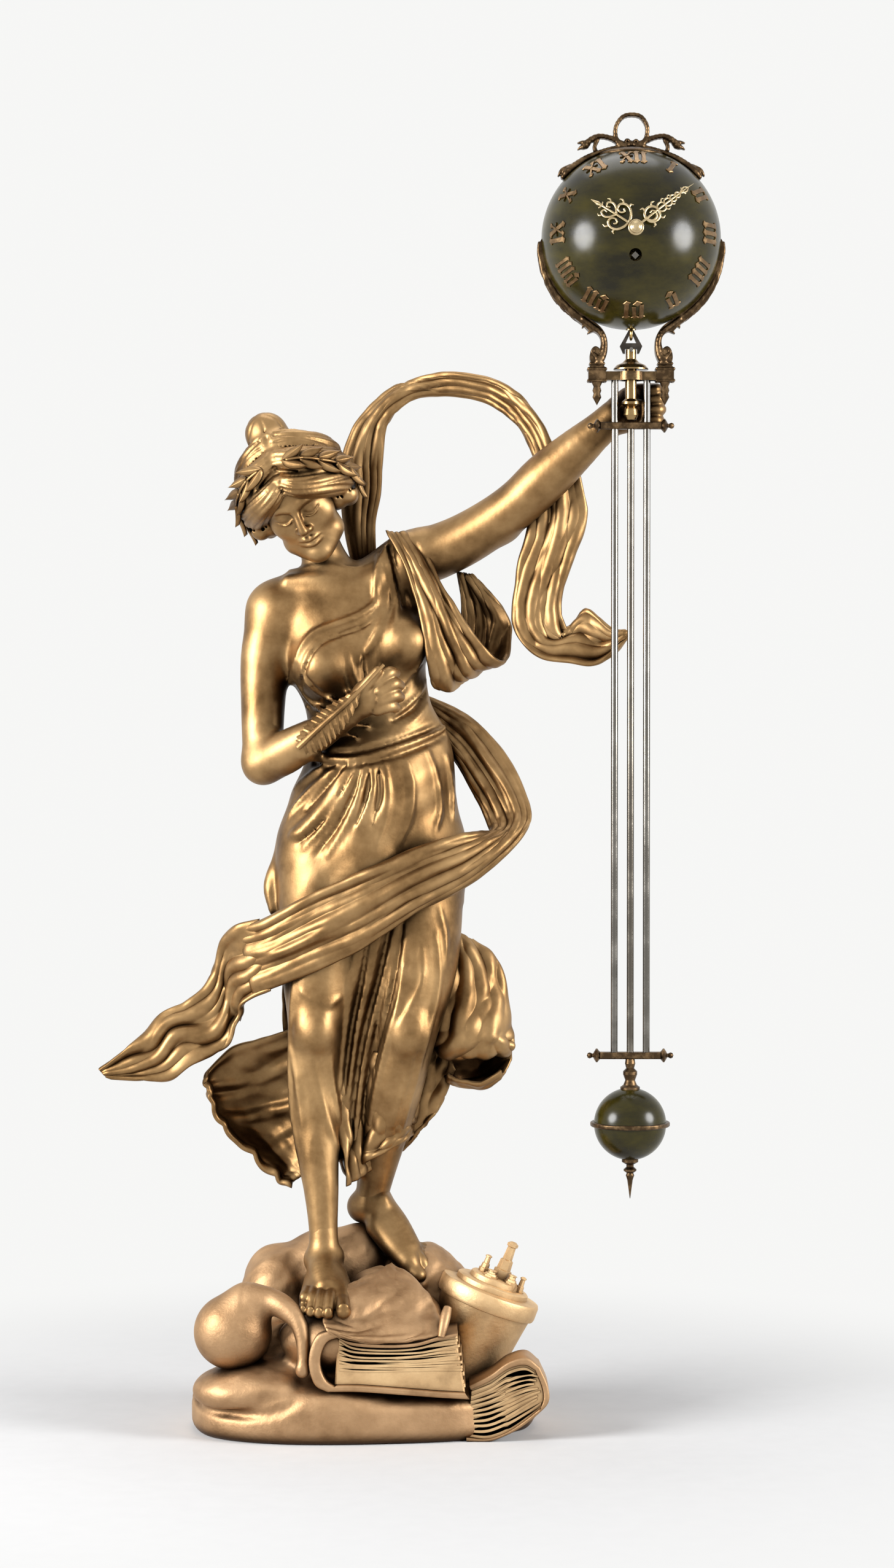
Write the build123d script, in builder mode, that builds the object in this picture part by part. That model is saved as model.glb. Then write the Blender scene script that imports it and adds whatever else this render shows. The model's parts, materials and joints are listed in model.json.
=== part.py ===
from build123d import *
from math import atan2, cos, degrees, pi, radians, sin, sqrt
import os

# Mystery clock: a draped figure on a rocky base holds a post from which a ball clock with a long
# gridiron pendulum swings. Millimetres, Z up, front towards -Y, origin at the centre of the base's underside.

# Swinging frame
SWING_X = 170.0
SWING_Y = -60.0
PIVOT_Z = 709.0
PIVOT_PIN_RADIUS = 1.2
PIVOT_PIN_LENGTH = 11.0
RUNNING_CLEARANCE = 0.3
FIT_CLEARANCE = 0.05

# Globe and dial
GLOBE_GAP = 13.0
GLOBE_RADIUS = 58.0
GLOBE_WALL = 1.2
NUMERAL_ANGLE = 57.5
NUMERAL_HEIGHT = 15.0
NUMERAL_STROKE = 2.2
NUMERAL_RELIEF = 0.9
WINDING_DROP = 16.5
WINDING_HOLE_RADIUS = 4.0

# Hands
HOUR_HAND_LENGTH = 34.0
HOUR_HAND_ANGLE = 304.25
HOUR_HAND_LIFT = 1.6
MINUTE_HAND_LENGTH = 49.0
MINUTE_HAND_ANGLE = 51.0
MINUTE_HAND_LIFT = 3.4
HAND_THICKNESS = 0.9
HAND_HUB_RADIUS = 5.0
HAND_NUT_HEIGHT = 3.4

# Rods and crossbars
ROD_DIAMETER = 4.6
ROD_OFFSET = 10.4
CROSSHEAD_DROP = 17.0
CROSSHEAD_HEIGHT = 5.6
CROSSHEAD_DEPTH = 9.0
CROSSHEAD_HALF_SPAN = 16.5
CROSSHEAD_RING_RADIUS = 8.4
CROSSHEAD_RING_BORE = 6.4
UPPER_BAR_DROP = 49.0
LOWER_BAR_DROP = 457.4
BAR_HEIGHT = 4.6
BAR_DEPTH = 6.4
BAR_HALF_LENGTH = 19.6
KNOB_RADIUS = 4.5
KNOB_BALL_RADIUS = 2.0
KNOB_LENGTH = 8.6

# Bob
BOB_DROP = 502.0
BOB_RADIUS = 23.5
BOB_WALL = 1.5
BOB_RING_RADIUS = 25.9
BOB_RING_HEIGHT = 3.0
SPIKE_LENGTH = 25.0

# Brackets and bow
BRACKET_DEPTH = 10.0
BRACKET_LEAF = 4.2
BRACKET_FOOT_X = 22.0
BOW_DEPTH = 9.0
BOW_LOOP_RADIUS = 11.5
BOW_LOOP_RISE = 13.2
BOW_BAND = 2.8

# Post in the hand
POST_RADIUS = 3.8
POST_FLANGE_RADIUS = 6.0
POST_DOME_RADIUS = 11.3
POST_NECK_RADIUS = 3.4
POST_TANG_RADIUS = 3.2
POST_TANG_LENGTH = 12.0

# Movement
PLATE_THICKNESS = 2.0
FRONT_PLATE_DEPTH = 20.0
BACK_PLATE_DEPTH = -12.0
BACK_PLATE_RADIUS = 38.0
PILLAR_RADIUS = 2.6
PILLAR_CIRCLE = 32.0
ARBOR_RADIUS = 0.9
CENTRE_ARBOR_RADIUS = 1.4
HOUR_PIPE_WALL = 0.8
WINDING_ARBOR_RADIUS = 1.6
WINDING_SQUARE = 3.4
BARREL_TEETH = 48
CENTRE_TEETH = 64
THIRD_TEETH = 60
PINION_LEAVES = 8
ESCAPE_TEETH = 30
ESCAPE_RADIUS = 8.0
CENTRE_MODULE = 0.42
THIRD_MODULE = 0.40
ESCAPE_RISE = 18.0
ANCHOR_RISE = 30.0
BARREL_WALL = 1.0
BARREL_DEPTH = 10.0
WHEEL_THICKNESS = 1.5
MAINSPRING_STRIP = 0.6
MAINSPRING_PITCH = 1.5
INNER_PENDULUM_LENGTH = 46.0
INNER_BOB_RADIUS = 9.0

# Figure
HAND_SETBACK = 15.0
HAND_DROP = 36.0
FOLD_PATTERN = ((-1.0, 0.1), (-0.62, 1.0), (-0.25, -0.8), (0.15, 0.9), (0.58, -1.0), (1.0, 0.2))

# Places worked out from the sizes above
GLOBE_RISE = GLOBE_RADIUS + GLOBE_GAP
GLOBE_Z = PIVOT_Z + GLOBE_RISE
GLOBE_CENTRE = (SWING_X, SWING_Y, GLOBE_Z)
CROSSHEAD_Z = PIVOT_Z - CROSSHEAD_DROP
UPPER_BAR_Z = PIVOT_Z - UPPER_BAR_DROP
LOWER_BAR_Z = PIVOT_Z - LOWER_BAR_DROP
BOB_Z = PIVOT_Z - BOB_DROP
BOB_CENTRE = (SWING_X, SWING_Y, BOB_Z)
HAND_Z = PIVOT_Z - HAND_DROP
HAND_Y = SWING_Y + HAND_SETBACK
SWING_AXIS = Axis((SWING_X, SWING_Y, 0), (0, 0, 1))
DIAL = Plane(origin=GLOBE_CENTRE, x_dir=(1, 0, 0), z_dir=(0, -1, 0))
HOUR_PIPE_BORE = CENTRE_ARBOR_RADIUS + RUNNING_CLEARANCE
HOUR_PIPE_RADIUS = HOUR_PIPE_BORE + HOUR_PIPE_WALL

os.makedirs("parts", exist_ok=True)


def finish(piece, label):
    """Label a finished piece and write it."""
    piece.label = label
    export_step(piece, f"parts/{label}.step")


def front_plane(y):
    """Sketch plane that faces the viewer at depth y, with X to the right and Z up."""
    return Plane(origin=(0, y, 0), x_dir=(1, 0, 0), z_dir=(0, -1, 0))


def turned(profile, x=SWING_X, y=SWING_Y):
    """Solid turned about a vertical axis at x, y, from (radius, height) corners."""
    with BuildPart() as piece:
        with BuildSketch(Plane(origin=(x, y, 0), x_dir=(1, 0, 0), z_dir=(0, -1, 0))):
            with BuildLine():
                Polyline(*profile, close=True)
            make_face()
        revolve(axis=Axis((x, y, 0), (0, 0, 1)))
    return piece.part


def limb(stations, across=(1, 0, 0)):
    """Rounded form through oval sections: centre, direction of run, half width and half depth of each."""
    with BuildPart() as piece:
        for centre, run, half_width, half_depth in stations:
            with BuildSketch(Plane(origin=centre, x_dir=across, z_dir=run)):
                Ellipse(half_width, half_depth)
        loft()
    return piece.part


def ribbon(stations):
    """Folded sheet through sections: centre, run, across direction, half width, thickness and fold depth."""
    with BuildPart() as piece:
        for centre, run, across, half_width, thickness, fold in stations:
            front = [(half_width * u, fold * wave + thickness / 2) for u, wave in FOLD_PATTERN]
            back = [(half_width * u, fold * wave - thickness / 2) for u, wave in FOLD_PATTERN]
            with BuildSketch(Plane(origin=centre, x_dir=across, z_dir=run)):
                with BuildLine():
                    Spline(*front)
                    Line(front[-1], back[-1])
                    Spline(*back)
                    Line(back[0], front[0])
                make_face()
        loft()
    return piece.part


def mound(levels):
    """Rock form through closed level curves: height and eight points of each."""
    with BuildPart() as piece:
        for height, points in levels:
            with BuildSketch(Plane.XY.offset(height)):
                with BuildLine():
                    Spline(*points, periodic=True)
                make_face()
        loft()
    return piece.part


def boulder(centre, radii):
    """Ellipsoid at centre with a radius for each axis."""
    with BuildPart() as piece:
        Sphere(1)
        scale(by=radii)
    return piece.part.moved(Location(centre))


def gear_outline(teeth, module, root_share, tip_share, first_angle):
    """Corners of a toothed wheel, four to a tooth, with one tooth centred on first_angle."""
    pitch_radius = module * teeth / 2
    radii_and_shares = (
        (pitch_radius - 1.25 * module, -root_share),
        (pitch_radius + 0.85 * module, -tip_share),
        (pitch_radius + 0.85 * module, tip_share),
        (pitch_radius - 1.25 * module, root_share),
    )
    step = 360 / teeth
    corners = []
    for tooth in range(teeth):
        for radius, share in radii_and_shares:
            angle = radians(first_angle + step * (tooth + share / 2))
            corners.append((radius * cos(angle), radius * sin(angle)))
    return corners


def dial_plane(place, depth):
    """Plane facing the viewer at a place on the dial and a depth from its middle."""
    x, z = place
    return Plane(origin=DIAL.from_local_coords((x, z, depth)), x_dir=(1, 0, 0), z_dir=(0, -1, 0))


def wheel_blank(place, depth, thickness, corners):
    """Toothed disc on the dial plane at place, from depth towards the viewer."""
    with BuildPart() as piece:
        with BuildSketch(dial_plane(place, depth)):
            with BuildLine():
                Polyline(*corners, close=True)
            make_face()
        extrude(amount=thickness)
    return piece.part


def rod_forward(place, depth, length, radius, bore=0.0):
    """Round bar along the dial axis at place, from depth towards the viewer."""
    with BuildPart() as piece:
        with BuildSketch(dial_plane(place, depth)):
            Circle(radius)
            if bore > 0:
                Circle(bore, mode=Mode.SUBTRACT)
        extrude(amount=length)
    return piece.part


# Base casting: plinth with soft edge, a sack, the ledge under the front foot and rocks up to the back foot

BOULDERS = (
    ((-82, -40, 30), (34, 33, 17)),
    ((-10, 4, 42), (86, 60, 42)),
    ((-21, -36, 64), (40, 38, 23)),
    ((-64, 16, 84), (25, 30, 34)),
    ((-30, 22, 96), (34, 26, 32)),
    ((-8, 22, 106), (18, 20, 25)),
    ((36, 20, 86), (28, 30, 32)),
    ((52, 14, 72), (20, 28, 34)),
    ((8, -16, 82), (26, 24, 26)),
)
with BuildPart() as base_casting:
    add(mound((
        (0, ((100, 8), (74, -51), (16, -68), (-60, -69), (-102, -44), (-107, 12), (-66, 61), (40, 63))),
        (9, ((108, 8), (79, -55), (16, -75), (-61, -76), (-110, -48), (-115, 12), (-70, 67), (44, 69))),
        (19, ((106, 9), (77, -53), (15, -73), (-60, -74), (-109, -47), (-114, 13), (-69, 66), (43, 68))),
        (29, ((92, 10), (70, -48), (14, -66), (-56, -68), (-103, -44), (-108, 14), (-66, 62), (40, 64))),
    )))
    for centre, radii in BOULDERS:
        add(boulder(centre, radii))
    split(bisect_by=Plane.XY, keep=Keep.TOP)
finish(base_casting.part, "base_casting")

with BuildPart() as retort_flask:
    add(limb((
        ((-91, -40, 44), (0, 0, 1), 16, 15),
        ((-92, -40, 55), (0, 0, 1), 25, 24),
        ((-91, -41, 68), (0.15, 0, 1), 26, 25),
        ((-86, -42, 81), (0.5, 0, 0.9), 20, 19),
        ((-73, -44, 86), (1, 0, 0.2), 10, 9.5),
        ((-60, -50, 85), (1, -0.4, -0.35), 8, 7.5),
        ((-50, -60, 76), (0.55, -0.5, -0.8), 6.5, 6),
        ((-45.5, -67, 62), (0.15, -0.2, -1), 4.8, 4.5),
        ((-44, -68, 47), (0, -0.05, -1), 3.9, 3.7),
    ), across=(0, 1, 0)))
    add(base_casting.part, mode=Mode.SUBTRACT)
finish(retort_flask.part, "retort_flask")

# Thick book at the front: rounded spine at the left, sagging page block, cover boards

BOOK_FRONT_Y = -76.0
BOOK_DEPTH = 44.0
with BuildPart() as front_book:
    with BuildSketch(front_plane(BOOK_FRONT_Y + BOOK_DEPTH)):
        with BuildLine():
            Spline((-27.8, 71.6), (-13, 65), (11, 63), (30.6, 64), (45, 67.7), (57.8, 69.7))
            Polyline((57.8, 69.7), (62.6, 47.3), (66.5, 25))
            Spline((66.5, 25), (30.6, 29), (1.4, 32.7), (-25.8, 34.7))
            Spline((-25.8, 34.7), (-37, 43), (-38.5, 57), (-34, 68), (-27.8, 71.6))
        make_face()
    extrude(amount=BOOK_DEPTH)
    add(base_casting.part, mode=Mode.SUBTRACT)
    add(retort_flask.part, mode=Mode.SUBTRACT)
finish(front_book.part, "front_book")

# Lower book at the right, standing on the floor, with fanned pages towards the front

with BuildPart() as lower_book:
    for depth, grow in ((-58, 0.0), (-20, 3.0), (12, 0.0)):
        with BuildSketch(front_plane(depth)):
            with BuildLine():
                Polyline((66, 3), (67, 31), (84, 41 + grow))
                Spline((84, 41 + grow), (98, 49 + grow), (111, 44 + grow), (116 + grow, 26), (107, 9))
                Polyline((107, 9), (94, 3), (66, 3))
            make_face()
    loft()
    add(base_casting.part, mode=Mode.SUBTRACT)
    add(front_book.part, mode=Mode.SUBTRACT)
finish(lower_book.part, "lower_book")

# Tilted drum: tapered tub with a rim band, stepped tiers and two small towers

DRUM_FOOT = (68.0, -8.0, 44.0)
DRUM_LEAN = 15.0
DRUM_LENGTH = 38.0
DRUM_FOOT_RADIUS = 20.0
DRUM_TOP_RADIUS = 32.0
DRUM_BAND = 11.0
DRUM_AXIS = Plane(origin=DRUM_FOOT, x_dir=(cos(radians(DRUM_LEAN)), 0, -sin(radians(DRUM_LEAN))),
                  z_dir=(sin(radians(DRUM_LEAN)), 0, cos(radians(DRUM_LEAN))))
DRUM_TIER = 4.0
DRUM_TIER_RADII = (24.0, 16.0)
DRUM_TOP = DRUM_AXIS.offset(DRUM_LENGTH + DRUM_BAND + DRUM_TIER * len(DRUM_TIER_RADII))
DRUM_TOWERS = ((3.0, 6.0, 26.0), (-9.0, 3.6, 10.0))
with BuildPart() as tilted_drum:
    with BuildSketch(DRUM_AXIS):
        Circle(DRUM_FOOT_RADIUS)
    with BuildSketch(DRUM_AXIS.offset(DRUM_LENGTH)):
        Circle(DRUM_TOP_RADIUS)
    loft()
    with BuildSketch(DRUM_AXIS.offset(DRUM_LENGTH)):
        Circle(DRUM_TOP_RADIUS + 1.5)
    extrude(amount=DRUM_BAND)
    for tier, radius in enumerate(DRUM_TIER_RADII):
        with BuildSketch(DRUM_AXIS.offset(DRUM_LENGTH + DRUM_BAND + DRUM_TIER * tier)):
            Circle(radius)
        extrude(amount=DRUM_TIER)
    for x, foot, height in DRUM_TOWERS:
        with BuildSketch(DRUM_TOP):
            with Locations((x, 0)):
                Circle(foot)
        with BuildSketch(DRUM_TOP.offset(height)):
            with Locations((x, 0)):
                Circle(foot / 3)
        loft()
    add(base_casting.part, mode=Mode.SUBTRACT)
    add(lower_book.part, mode=Mode.SUBTRACT)
    add(front_book.part, mode=Mode.SUBTRACT)
finish(tilted_drum.part, "tilted_drum")

# Legs with feet

with BuildPart() as right_leg:
    add(limb((
        ((-30, 8, 372), (0, 0, 1), 30, 29),
        ((-34, 2, 315), (0, 0, 1), 25, 24),
        ((-37, -7, 264), (0, 0, 1), 17, 16.5),
        ((-38, -7, 225), (0, 0, 1), 16.5, 16),
        ((-35, -12, 175), (0, 0, 1), 13, 12.5),
        ((-31, -16, 132), (0, 0, 1), 10, 9.8),
        ((-30, -17, 112), (0, 0, 1), 11, 10.5),
        ((-29.5, -17, 84), (0, 0, 1), 12, 11.5),
    )))
    add(limb((
        ((-29.5, -6, 94), (0, -1, 0), 11, 10.5),
        ((-29.5, -24, 100), (0, -1, -0.2), 13, 12.5),
        ((-29.5, -44, 92), (0, -1, -0.3), 16, 9),
        ((-29, -62, 87), (0, -1, -0.2), 15, 6),
        ((-28.5, -68, 85.5), (0, -1, 0), 11, 3.5),
    )))
    add(base_casting.part, mode=Mode.SUBTRACT)
finish(right_leg.part, "right_leg")

with BuildPart() as left_leg:
    add(limb((
        ((28, 10, 372), (0, 0, 1), 30, 29),
        ((29, 2, 315), (0, 0, 1), 25, 24),
        ((24, -6, 262), (-0.15, 0.05, 1), 18, 17.5),
        ((16, 2, 225), (0.2, -0.2, 1), 17, 16.5),
        ((7, 15, 180), (0.2, -0.3, 1), 13.5, 13),
        ((0, 22, 150), (0.1, -0.1, 1), 11, 10.8),
    )))
    add(limb((
        ((-8, 28, 141), (1, -0.4, -0.6), 10, 9),
        ((4, 21, 139), (1, -0.5, -0.7), 12, 11.5),
        ((20, 10, 122), (1, -0.6, -0.8), 14, 11),
        ((34, 0, 108), (1, -0.6, -0.7), 15, 7.5),
        ((44, -7, 102), (1, -0.6, -0.4), 12, 5),
    ), across=(0.5, 1, 0)))
    add(base_casting.part, mode=Mode.SUBTRACT)
    add(right_leg.part, mode=Mode.SUBTRACT)
    add(tilted_drum.part, mode=Mode.SUBTRACT)
finish(left_leg.part, "left_leg")

# Torso, hips down to the thighs' roots, with the swell of chest, belly and seat

TORSO_FORMS = (
    ((-31, -17, 505), (20, 20, 19)),
    ((24, -16, 521), (19, 19, 18)),
    ((4, -12, 424), (38, 25, 41)),
    ((-26, 33, 388), (31, 22, 33)),
    ((28, 33, 390), (31, 22, 33)),
)
with BuildPart() as torso_casting:
    add(limb((
        ((0, 12, 338), (0, 0, 1), 55, 35),
        ((0, 12, 358), (0, 0, 1), 59, 38),
        ((1, 12, 384), (0, 0, 1), 60, 40),
        ((3, 10, 420), (0, 0, 1), 55, 37),
        ((6, 8, 450), (0, 0, 1), 46, 32),
        ((-4, 6, 480), (0, 0, 1), 42, 30),
        ((-10, 4, 510), (0, 0, 1), 47, 34),
        ((-13, 5, 540), (0, 0, 1), 52, 31),
        ((-18, 8, 562), (0, 0, 1), 44, 23),
        ((-24, 9, 578), (0, 0, 1), 22, 17),
    )))
    for centre, radii in TORSO_FORMS:
        add(boulder(centre, radii))
    add(right_leg.part, mode=Mode.SUBTRACT)
    add(left_leg.part, mode=Mode.SUBTRACT)
finish(torso_casting.part, "torso_casting")

# Head with neck, hair cap, bun and wreath

BUN_RADIUS = 15.0
with BuildPart() as head_casting:
    add(limb((
        ((-26, 9, 568), (-0.25, -0.2, 1), 17, 16.5),
        ((-30, 4, 584), (-0.25, -0.2, 1), 14.5, 14),
        ((-37, 0, 598), (-0.25, -0.2, 1), 17, 16),
    ), across=(0, 1, 0)))
    add(limb((
        ((-41, -20, 580), (-0.1, 0.3, 1), 8, 7),
        ((-42, -15, 590), (-0.1, 0.3, 1), 20, 16),
        ((-43, -9, 604), (-0.1, 0.2, 1), 28, 22.5),
        ((-44, -5, 620), (-0.1, 0.1, 1), 31, 25),
        ((-46, -3, 636), (-0.1, 0, 1), 26, 22),
        ((-47, -2, 647), (-0.1, 0, 1), 12, 10),
    ), across=(0, 1, 0)))
    add(torso_casting.part, mode=Mode.SUBTRACT)
finish(head_casting.part, "head_casting")

with BuildPart() as hair_casting:
    add(limb((
        ((-52, 12, 596), (0, 0, 1), 22, 18),
        ((-52, 8, 606), (0, 0, 1), 38, 25),
        ((-51, 4, 622), (0, 0, 1), 41, 33),
        ((-50, 2, 638), (0, 0, 1), 38, 33),
        ((-52, 3, 651), (0, 0, 1), 24, 22),
        ((-54, 4, 656), (0, 0, 1), 10, 9),
    )))
    with Locations((-38, -42, 597)):
        Box(52, 44, 46, mode=Mode.SUBTRACT)
    with Locations((-66, 6, 660)):
        Sphere(BUN_RADIUS)
    add(head_casting.part, mode=Mode.SUBTRACT)
    add(torso_casting.part, mode=Mode.SUBTRACT)
finish(hair_casting.part, "hair_casting")

WREATH_LEAVES = 10
WREATH_Z = 640.0
WREATH_HALF_WIDTH = 37.5
WREATH_HALF_DEPTH = 33.0
LEAF_HALF_LENGTH = 10.0
LEAF_HALF_WIDTH = 4.5
LEAF_THICKNESS = 3.0
with BuildPart() as laurel_wreath:
    for leaf in range(WREATH_LEAVES):
        turn = 2 * pi * leaf / WREATH_LEAVES
        outward = (cos(turn) / WREATH_HALF_WIDTH, sin(turn) / WREATH_HALF_DEPTH, 0.008)
        along = (-sin(turn) * WREATH_HALF_WIDTH, cos(turn) * WREATH_HALF_DEPTH, 8)
        place = (-50 + WREATH_HALF_WIDTH * cos(turn), 2 + WREATH_HALF_DEPTH * sin(turn), WREATH_Z)
        with BuildSketch(Plane(origin=place, x_dir=along, z_dir=outward)):
            with BuildLine():
                ThreePointArc((-LEAF_HALF_LENGTH, 0), (0, LEAF_HALF_WIDTH), (LEAF_HALF_LENGTH, 0))
                ThreePointArc((LEAF_HALF_LENGTH, 0), (0, -LEAF_HALF_WIDTH), (-LEAF_HALF_LENGTH, 0))
            make_face()
        extrude(amount=LEAF_THICKNESS)
    add(hair_casting.part, mode=Mode.SUBTRACT)
    add(head_casting.part, mode=Mode.SUBTRACT)
finish(laurel_wreath.part, "laurel_wreath")

# Bent arm with its hand, and the quill

with BuildPart() as bent_arm:
    add(limb((
        ((-60, 8, 554), (-0.3, 0, -1), 15, 14.5),
        ((-67, 7, 530), (-0.15, -0.1, -1), 16, 15.5),
        ((-72, 2, 482), (0, -0.1, -1), 13.5, 13),
        ((-73, -4, 442), (0, -0.1, -1), 12.5, 12),
    )))
    with Locations((-57, 8, 546)):
        Sphere(18)
    with Locations((-72, -5, 441)):
        Sphere(13)
    add(limb((
        ((-72, -6, 441), (1, -0.6, 0.3), 12.5, 12),
        ((-50, -20, 450), (1, -0.6, 0.45), 12, 11.5),
        ((-30, -33, 461), (1, -0.6, 0.5), 10, 9.5),
        ((-14, -42, 471), (1, -0.4, 0.6), 8.5, 7.5),
        ((-3, -44, 483), (0.7, 0, 1), 12, 8.5),
        ((6, -42, 497), (0.5, 0.2, 1), 9, 6),
    ), across=(0, 0, 1)))
    add(torso_casting.part, mode=Mode.SUBTRACT)
finish(bent_arm.part, "bent_arm")

QUILL_LENGTH = 70.0
QUILL_SLOPE = 41.0
QUILL_THICKNESS = 2.0
QUILL_MIDDLE = (-19.0, 484.0)
with BuildPart() as quill_feather:
    with BuildSketch(front_plane(-50.5)):
        with Locations(Location((*QUILL_MIDDLE, 0), (0, 0, QUILL_SLOPE))):
            Rectangle(QUILL_LENGTH, 2.2)
            with Locations((-QUILL_LENGTH * 0.2, 0)):
                Ellipse(QUILL_LENGTH * 0.3, 7)
    extrude(amount=QUILL_THICKNESS)
    add(bent_arm.part, mode=Mode.SUBTRACT)
finish(quill_feather.part, "quill_feather")

# Raised arm, post and the hand that holds it

with BuildPart() as raised_arm:
    add(limb((
        ((8, 9, 566), (1, 0, 0.15), 20, 19.5),
        ((30, 9, 577), (1, -0.2, 0.25), 18, 17.5),
        ((60, 0, 588), (1, -0.35, 0.45), 16.5, 16),
        ((90, -13, 606), (1, -0.4, 0.6), 16, 15.5),
        ((112, -23, 624), (1, -0.4, 0.68), 16, 15.5),
        ((135, -33, 644), (1, -0.4, 0.75), 14, 13.5),
        ((SWING_X - 14, HAND_Y + 4, HAND_Z - 10), (1, -0.3, 0.9), 11, 10.5),
    ), across=(0, 1, 0)))
    add(torso_casting.part, mode=Mode.SUBTRACT)
finish(raised_arm.part, "raised_arm")

POST_FOOT_Z = UPPER_BAR_Z + BAR_HEIGHT / 2 + 5 * RUNNING_CLEARANCE
POST_DOME_Z = CROSSHEAD_Z + CROSSHEAD_HEIGHT / 2 + 4 * RUNNING_CLEARANCE
with BuildPart() as pivot_post:
    add(turned((
        (0, POST_FOOT_Z),
        (3.4, POST_FOOT_Z),
        (5.0, POST_FOOT_Z + 3),
        (4.4, POST_FOOT_Z + 7),
        (3.6, POST_FOOT_Z + 8.5),
        (POST_FLANGE_RADIUS, POST_FOOT_Z + 10),
        (POST_FLANGE_RADIUS, POST_FOOT_Z + 11.5),
        (POST_RADIUS, POST_FOOT_Z + 13.5),
        (POST_RADIUS, POST_DOME_Z),
        (POST_DOME_RADIUS, POST_DOME_Z),
        (POST_DOME_RADIUS, POST_DOME_Z + 0.8),
        (POST_DOME_RADIUS - 2.0, POST_DOME_Z + 3.0),
        (POST_NECK_RADIUS + 2.0, POST_DOME_Z + 4.8),
        (POST_NECK_RADIUS, POST_DOME_Z + 7.0),
        (POST_NECK_RADIUS, PIVOT_Z),
        (0, PIVOT_Z),
    )))
    with BuildSketch(Plane(origin=(SWING_X, SWING_Y, POST_FOOT_Z + 4), x_dir=(1, 0, 0), z_dir=(0, 1, 0))):
        Circle(POST_TANG_RADIUS)
    extrude(amount=POST_TANG_LENGTH)
    with BuildSketch(Plane(origin=(SWING_X, SWING_Y, PIVOT_Z), x_dir=(1, 0, 0), z_dir=(0, -1, 0))):
        Circle(PIVOT_PIN_RADIUS + RUNNING_CLEARANCE)
    extrude(amount=2 * POST_NECK_RADIUS, both=True, mode=Mode.SUBTRACT)
finish(pivot_post.part, "pivot_post")

FINGER_RADIUS = 4.0
FINGER_STEP = 6.2
with BuildPart() as raised_hand:
    add(limb((
        ((SWING_X - 12, HAND_Y + 3, HAND_Z - 8), (0.8, 0, 1), 11, 10),
        ((SWING_X - 5, HAND_Y + 1, HAND_Z + 1), (0.4, 0, 1), 13, 10),
        ((SWING_X - 1, HAND_Y + 3, HAND_Z + 10), (0.1, 0, 1), 12, 8),
        ((SWING_X, HAND_Y + 5, HAND_Z + 17), (0, 0, 1), 9, 5),
    )))
    for finger in range(4):
        level = HAND_Z - 7 + FINGER_STEP * finger
        add(limb((
            ((SWING_X + 4, HAND_Y + 2, level), (1, -0.2, 0), FINGER_RADIUS, FINGER_RADIUS - 0.1),
            ((SWING_X + 12, HAND_Y + 1, level), (1, -0.3, 0), FINGER_RADIUS, FINGER_RADIUS - 0.1),
            ((SWING_X + 19, HAND_Y - 2, level), (1, -0.6, 0), FINGER_RADIUS - 0.4, FINGER_RADIUS - 0.5),
        ), across=(0, 0, 1)))
    add(raised_arm.part, mode=Mode.SUBTRACT)
    add(pivot_post.part, mode=Mode.SUBTRACT)
finish(raised_hand.part, "raised_hand")

# Drapery: skirt, capes, sash with its tail, sleeve and scarf

UP = (0, 0, 1)
RIGHT = (1, 0, 0)
with BuildPart() as skirt_drape:
    add(ribbon((
        ((-4, 22, 172), UP, RIGHT, 12, 7, 2),
        ((-8, 24, 195), UP, RIGHT, 17, 7, 3),
        ((-15, 26, 230), UP, RIGHT, 31, 8, 4),
        ((-6, 27, 285), UP, RIGHT, 46, 8, 4),
        ((-2, 28, 345), UP, RIGHT, 54, 8, 3),
    )))
    add(ribbon((
        ((2, 3, 168), UP, RIGHT, 17, 6, 2),
        ((-2, 3, 192), UP, RIGHT, 20, 7, 3),
        ((-4, 1, 225), UP, RIGHT, 20, 7, 3.5),
        ((-4, -3, 262), UP, RIGHT, 20, 7, 3.5),
        ((-1, -10, 306), UP, RIGHT, 22, 7, 3),
    )))
    add(right_leg.part, mode=Mode.SUBTRACT)
    add(left_leg.part, mode=Mode.SUBTRACT)
    add(torso_casting.part, mode=Mode.SUBTRACT)
finish(skirt_drape.part, "skirt_drape")

with BuildPart() as left_cape:
    add(ribbon((
        ((-52, 20, 162), UP, RIGHT, 6, 6, 1),
        ((-64, 22, 185), UP, RIGHT, 20, 6, 2.5),
        ((-73, 24, 206), UP, RIGHT, 28, 6, 3.5),
        ((-78, 24, 228), UP, RIGHT, 34, 6, 4),
        ((-72, 22, 246), UP, RIGHT, 28, 6, 3),
        ((-64, 20, 259), UP, RIGHT, 18, 6, 2),
    )))
    add(right_leg.part, mode=Mode.SUBTRACT)
    add(skirt_drape.part, mode=Mode.SUBTRACT)
finish(left_cape.part, "left_cape")

with BuildPart() as right_cape:
    add(ribbon((
        ((14, 22, 178), UP, RIGHT, 10, 6, 1),
        ((24, 22, 200), UP, RIGHT, 14, 6, 2),
        ((42, 22, 226), UP, RIGHT, 24, 7, 3),
        ((62, 18, 252), UP, RIGHT, 33, 8, 4),
        ((65, 16, 278), UP, RIGHT, 30, 8, 4),
        ((64, 18, 302), UP, RIGHT, 25, 7, 3),
        ((52, 18, 326), UP, RIGHT, 12, 6, 1),
    )))
    add(left_leg.part, mode=Mode.SUBTRACT)
    add(skirt_drape.part, mode=Mode.SUBTRACT)
    add(torso_casting.part, mode=Mode.SUBTRACT)
finish(right_cape.part, "right_cape")

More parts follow.
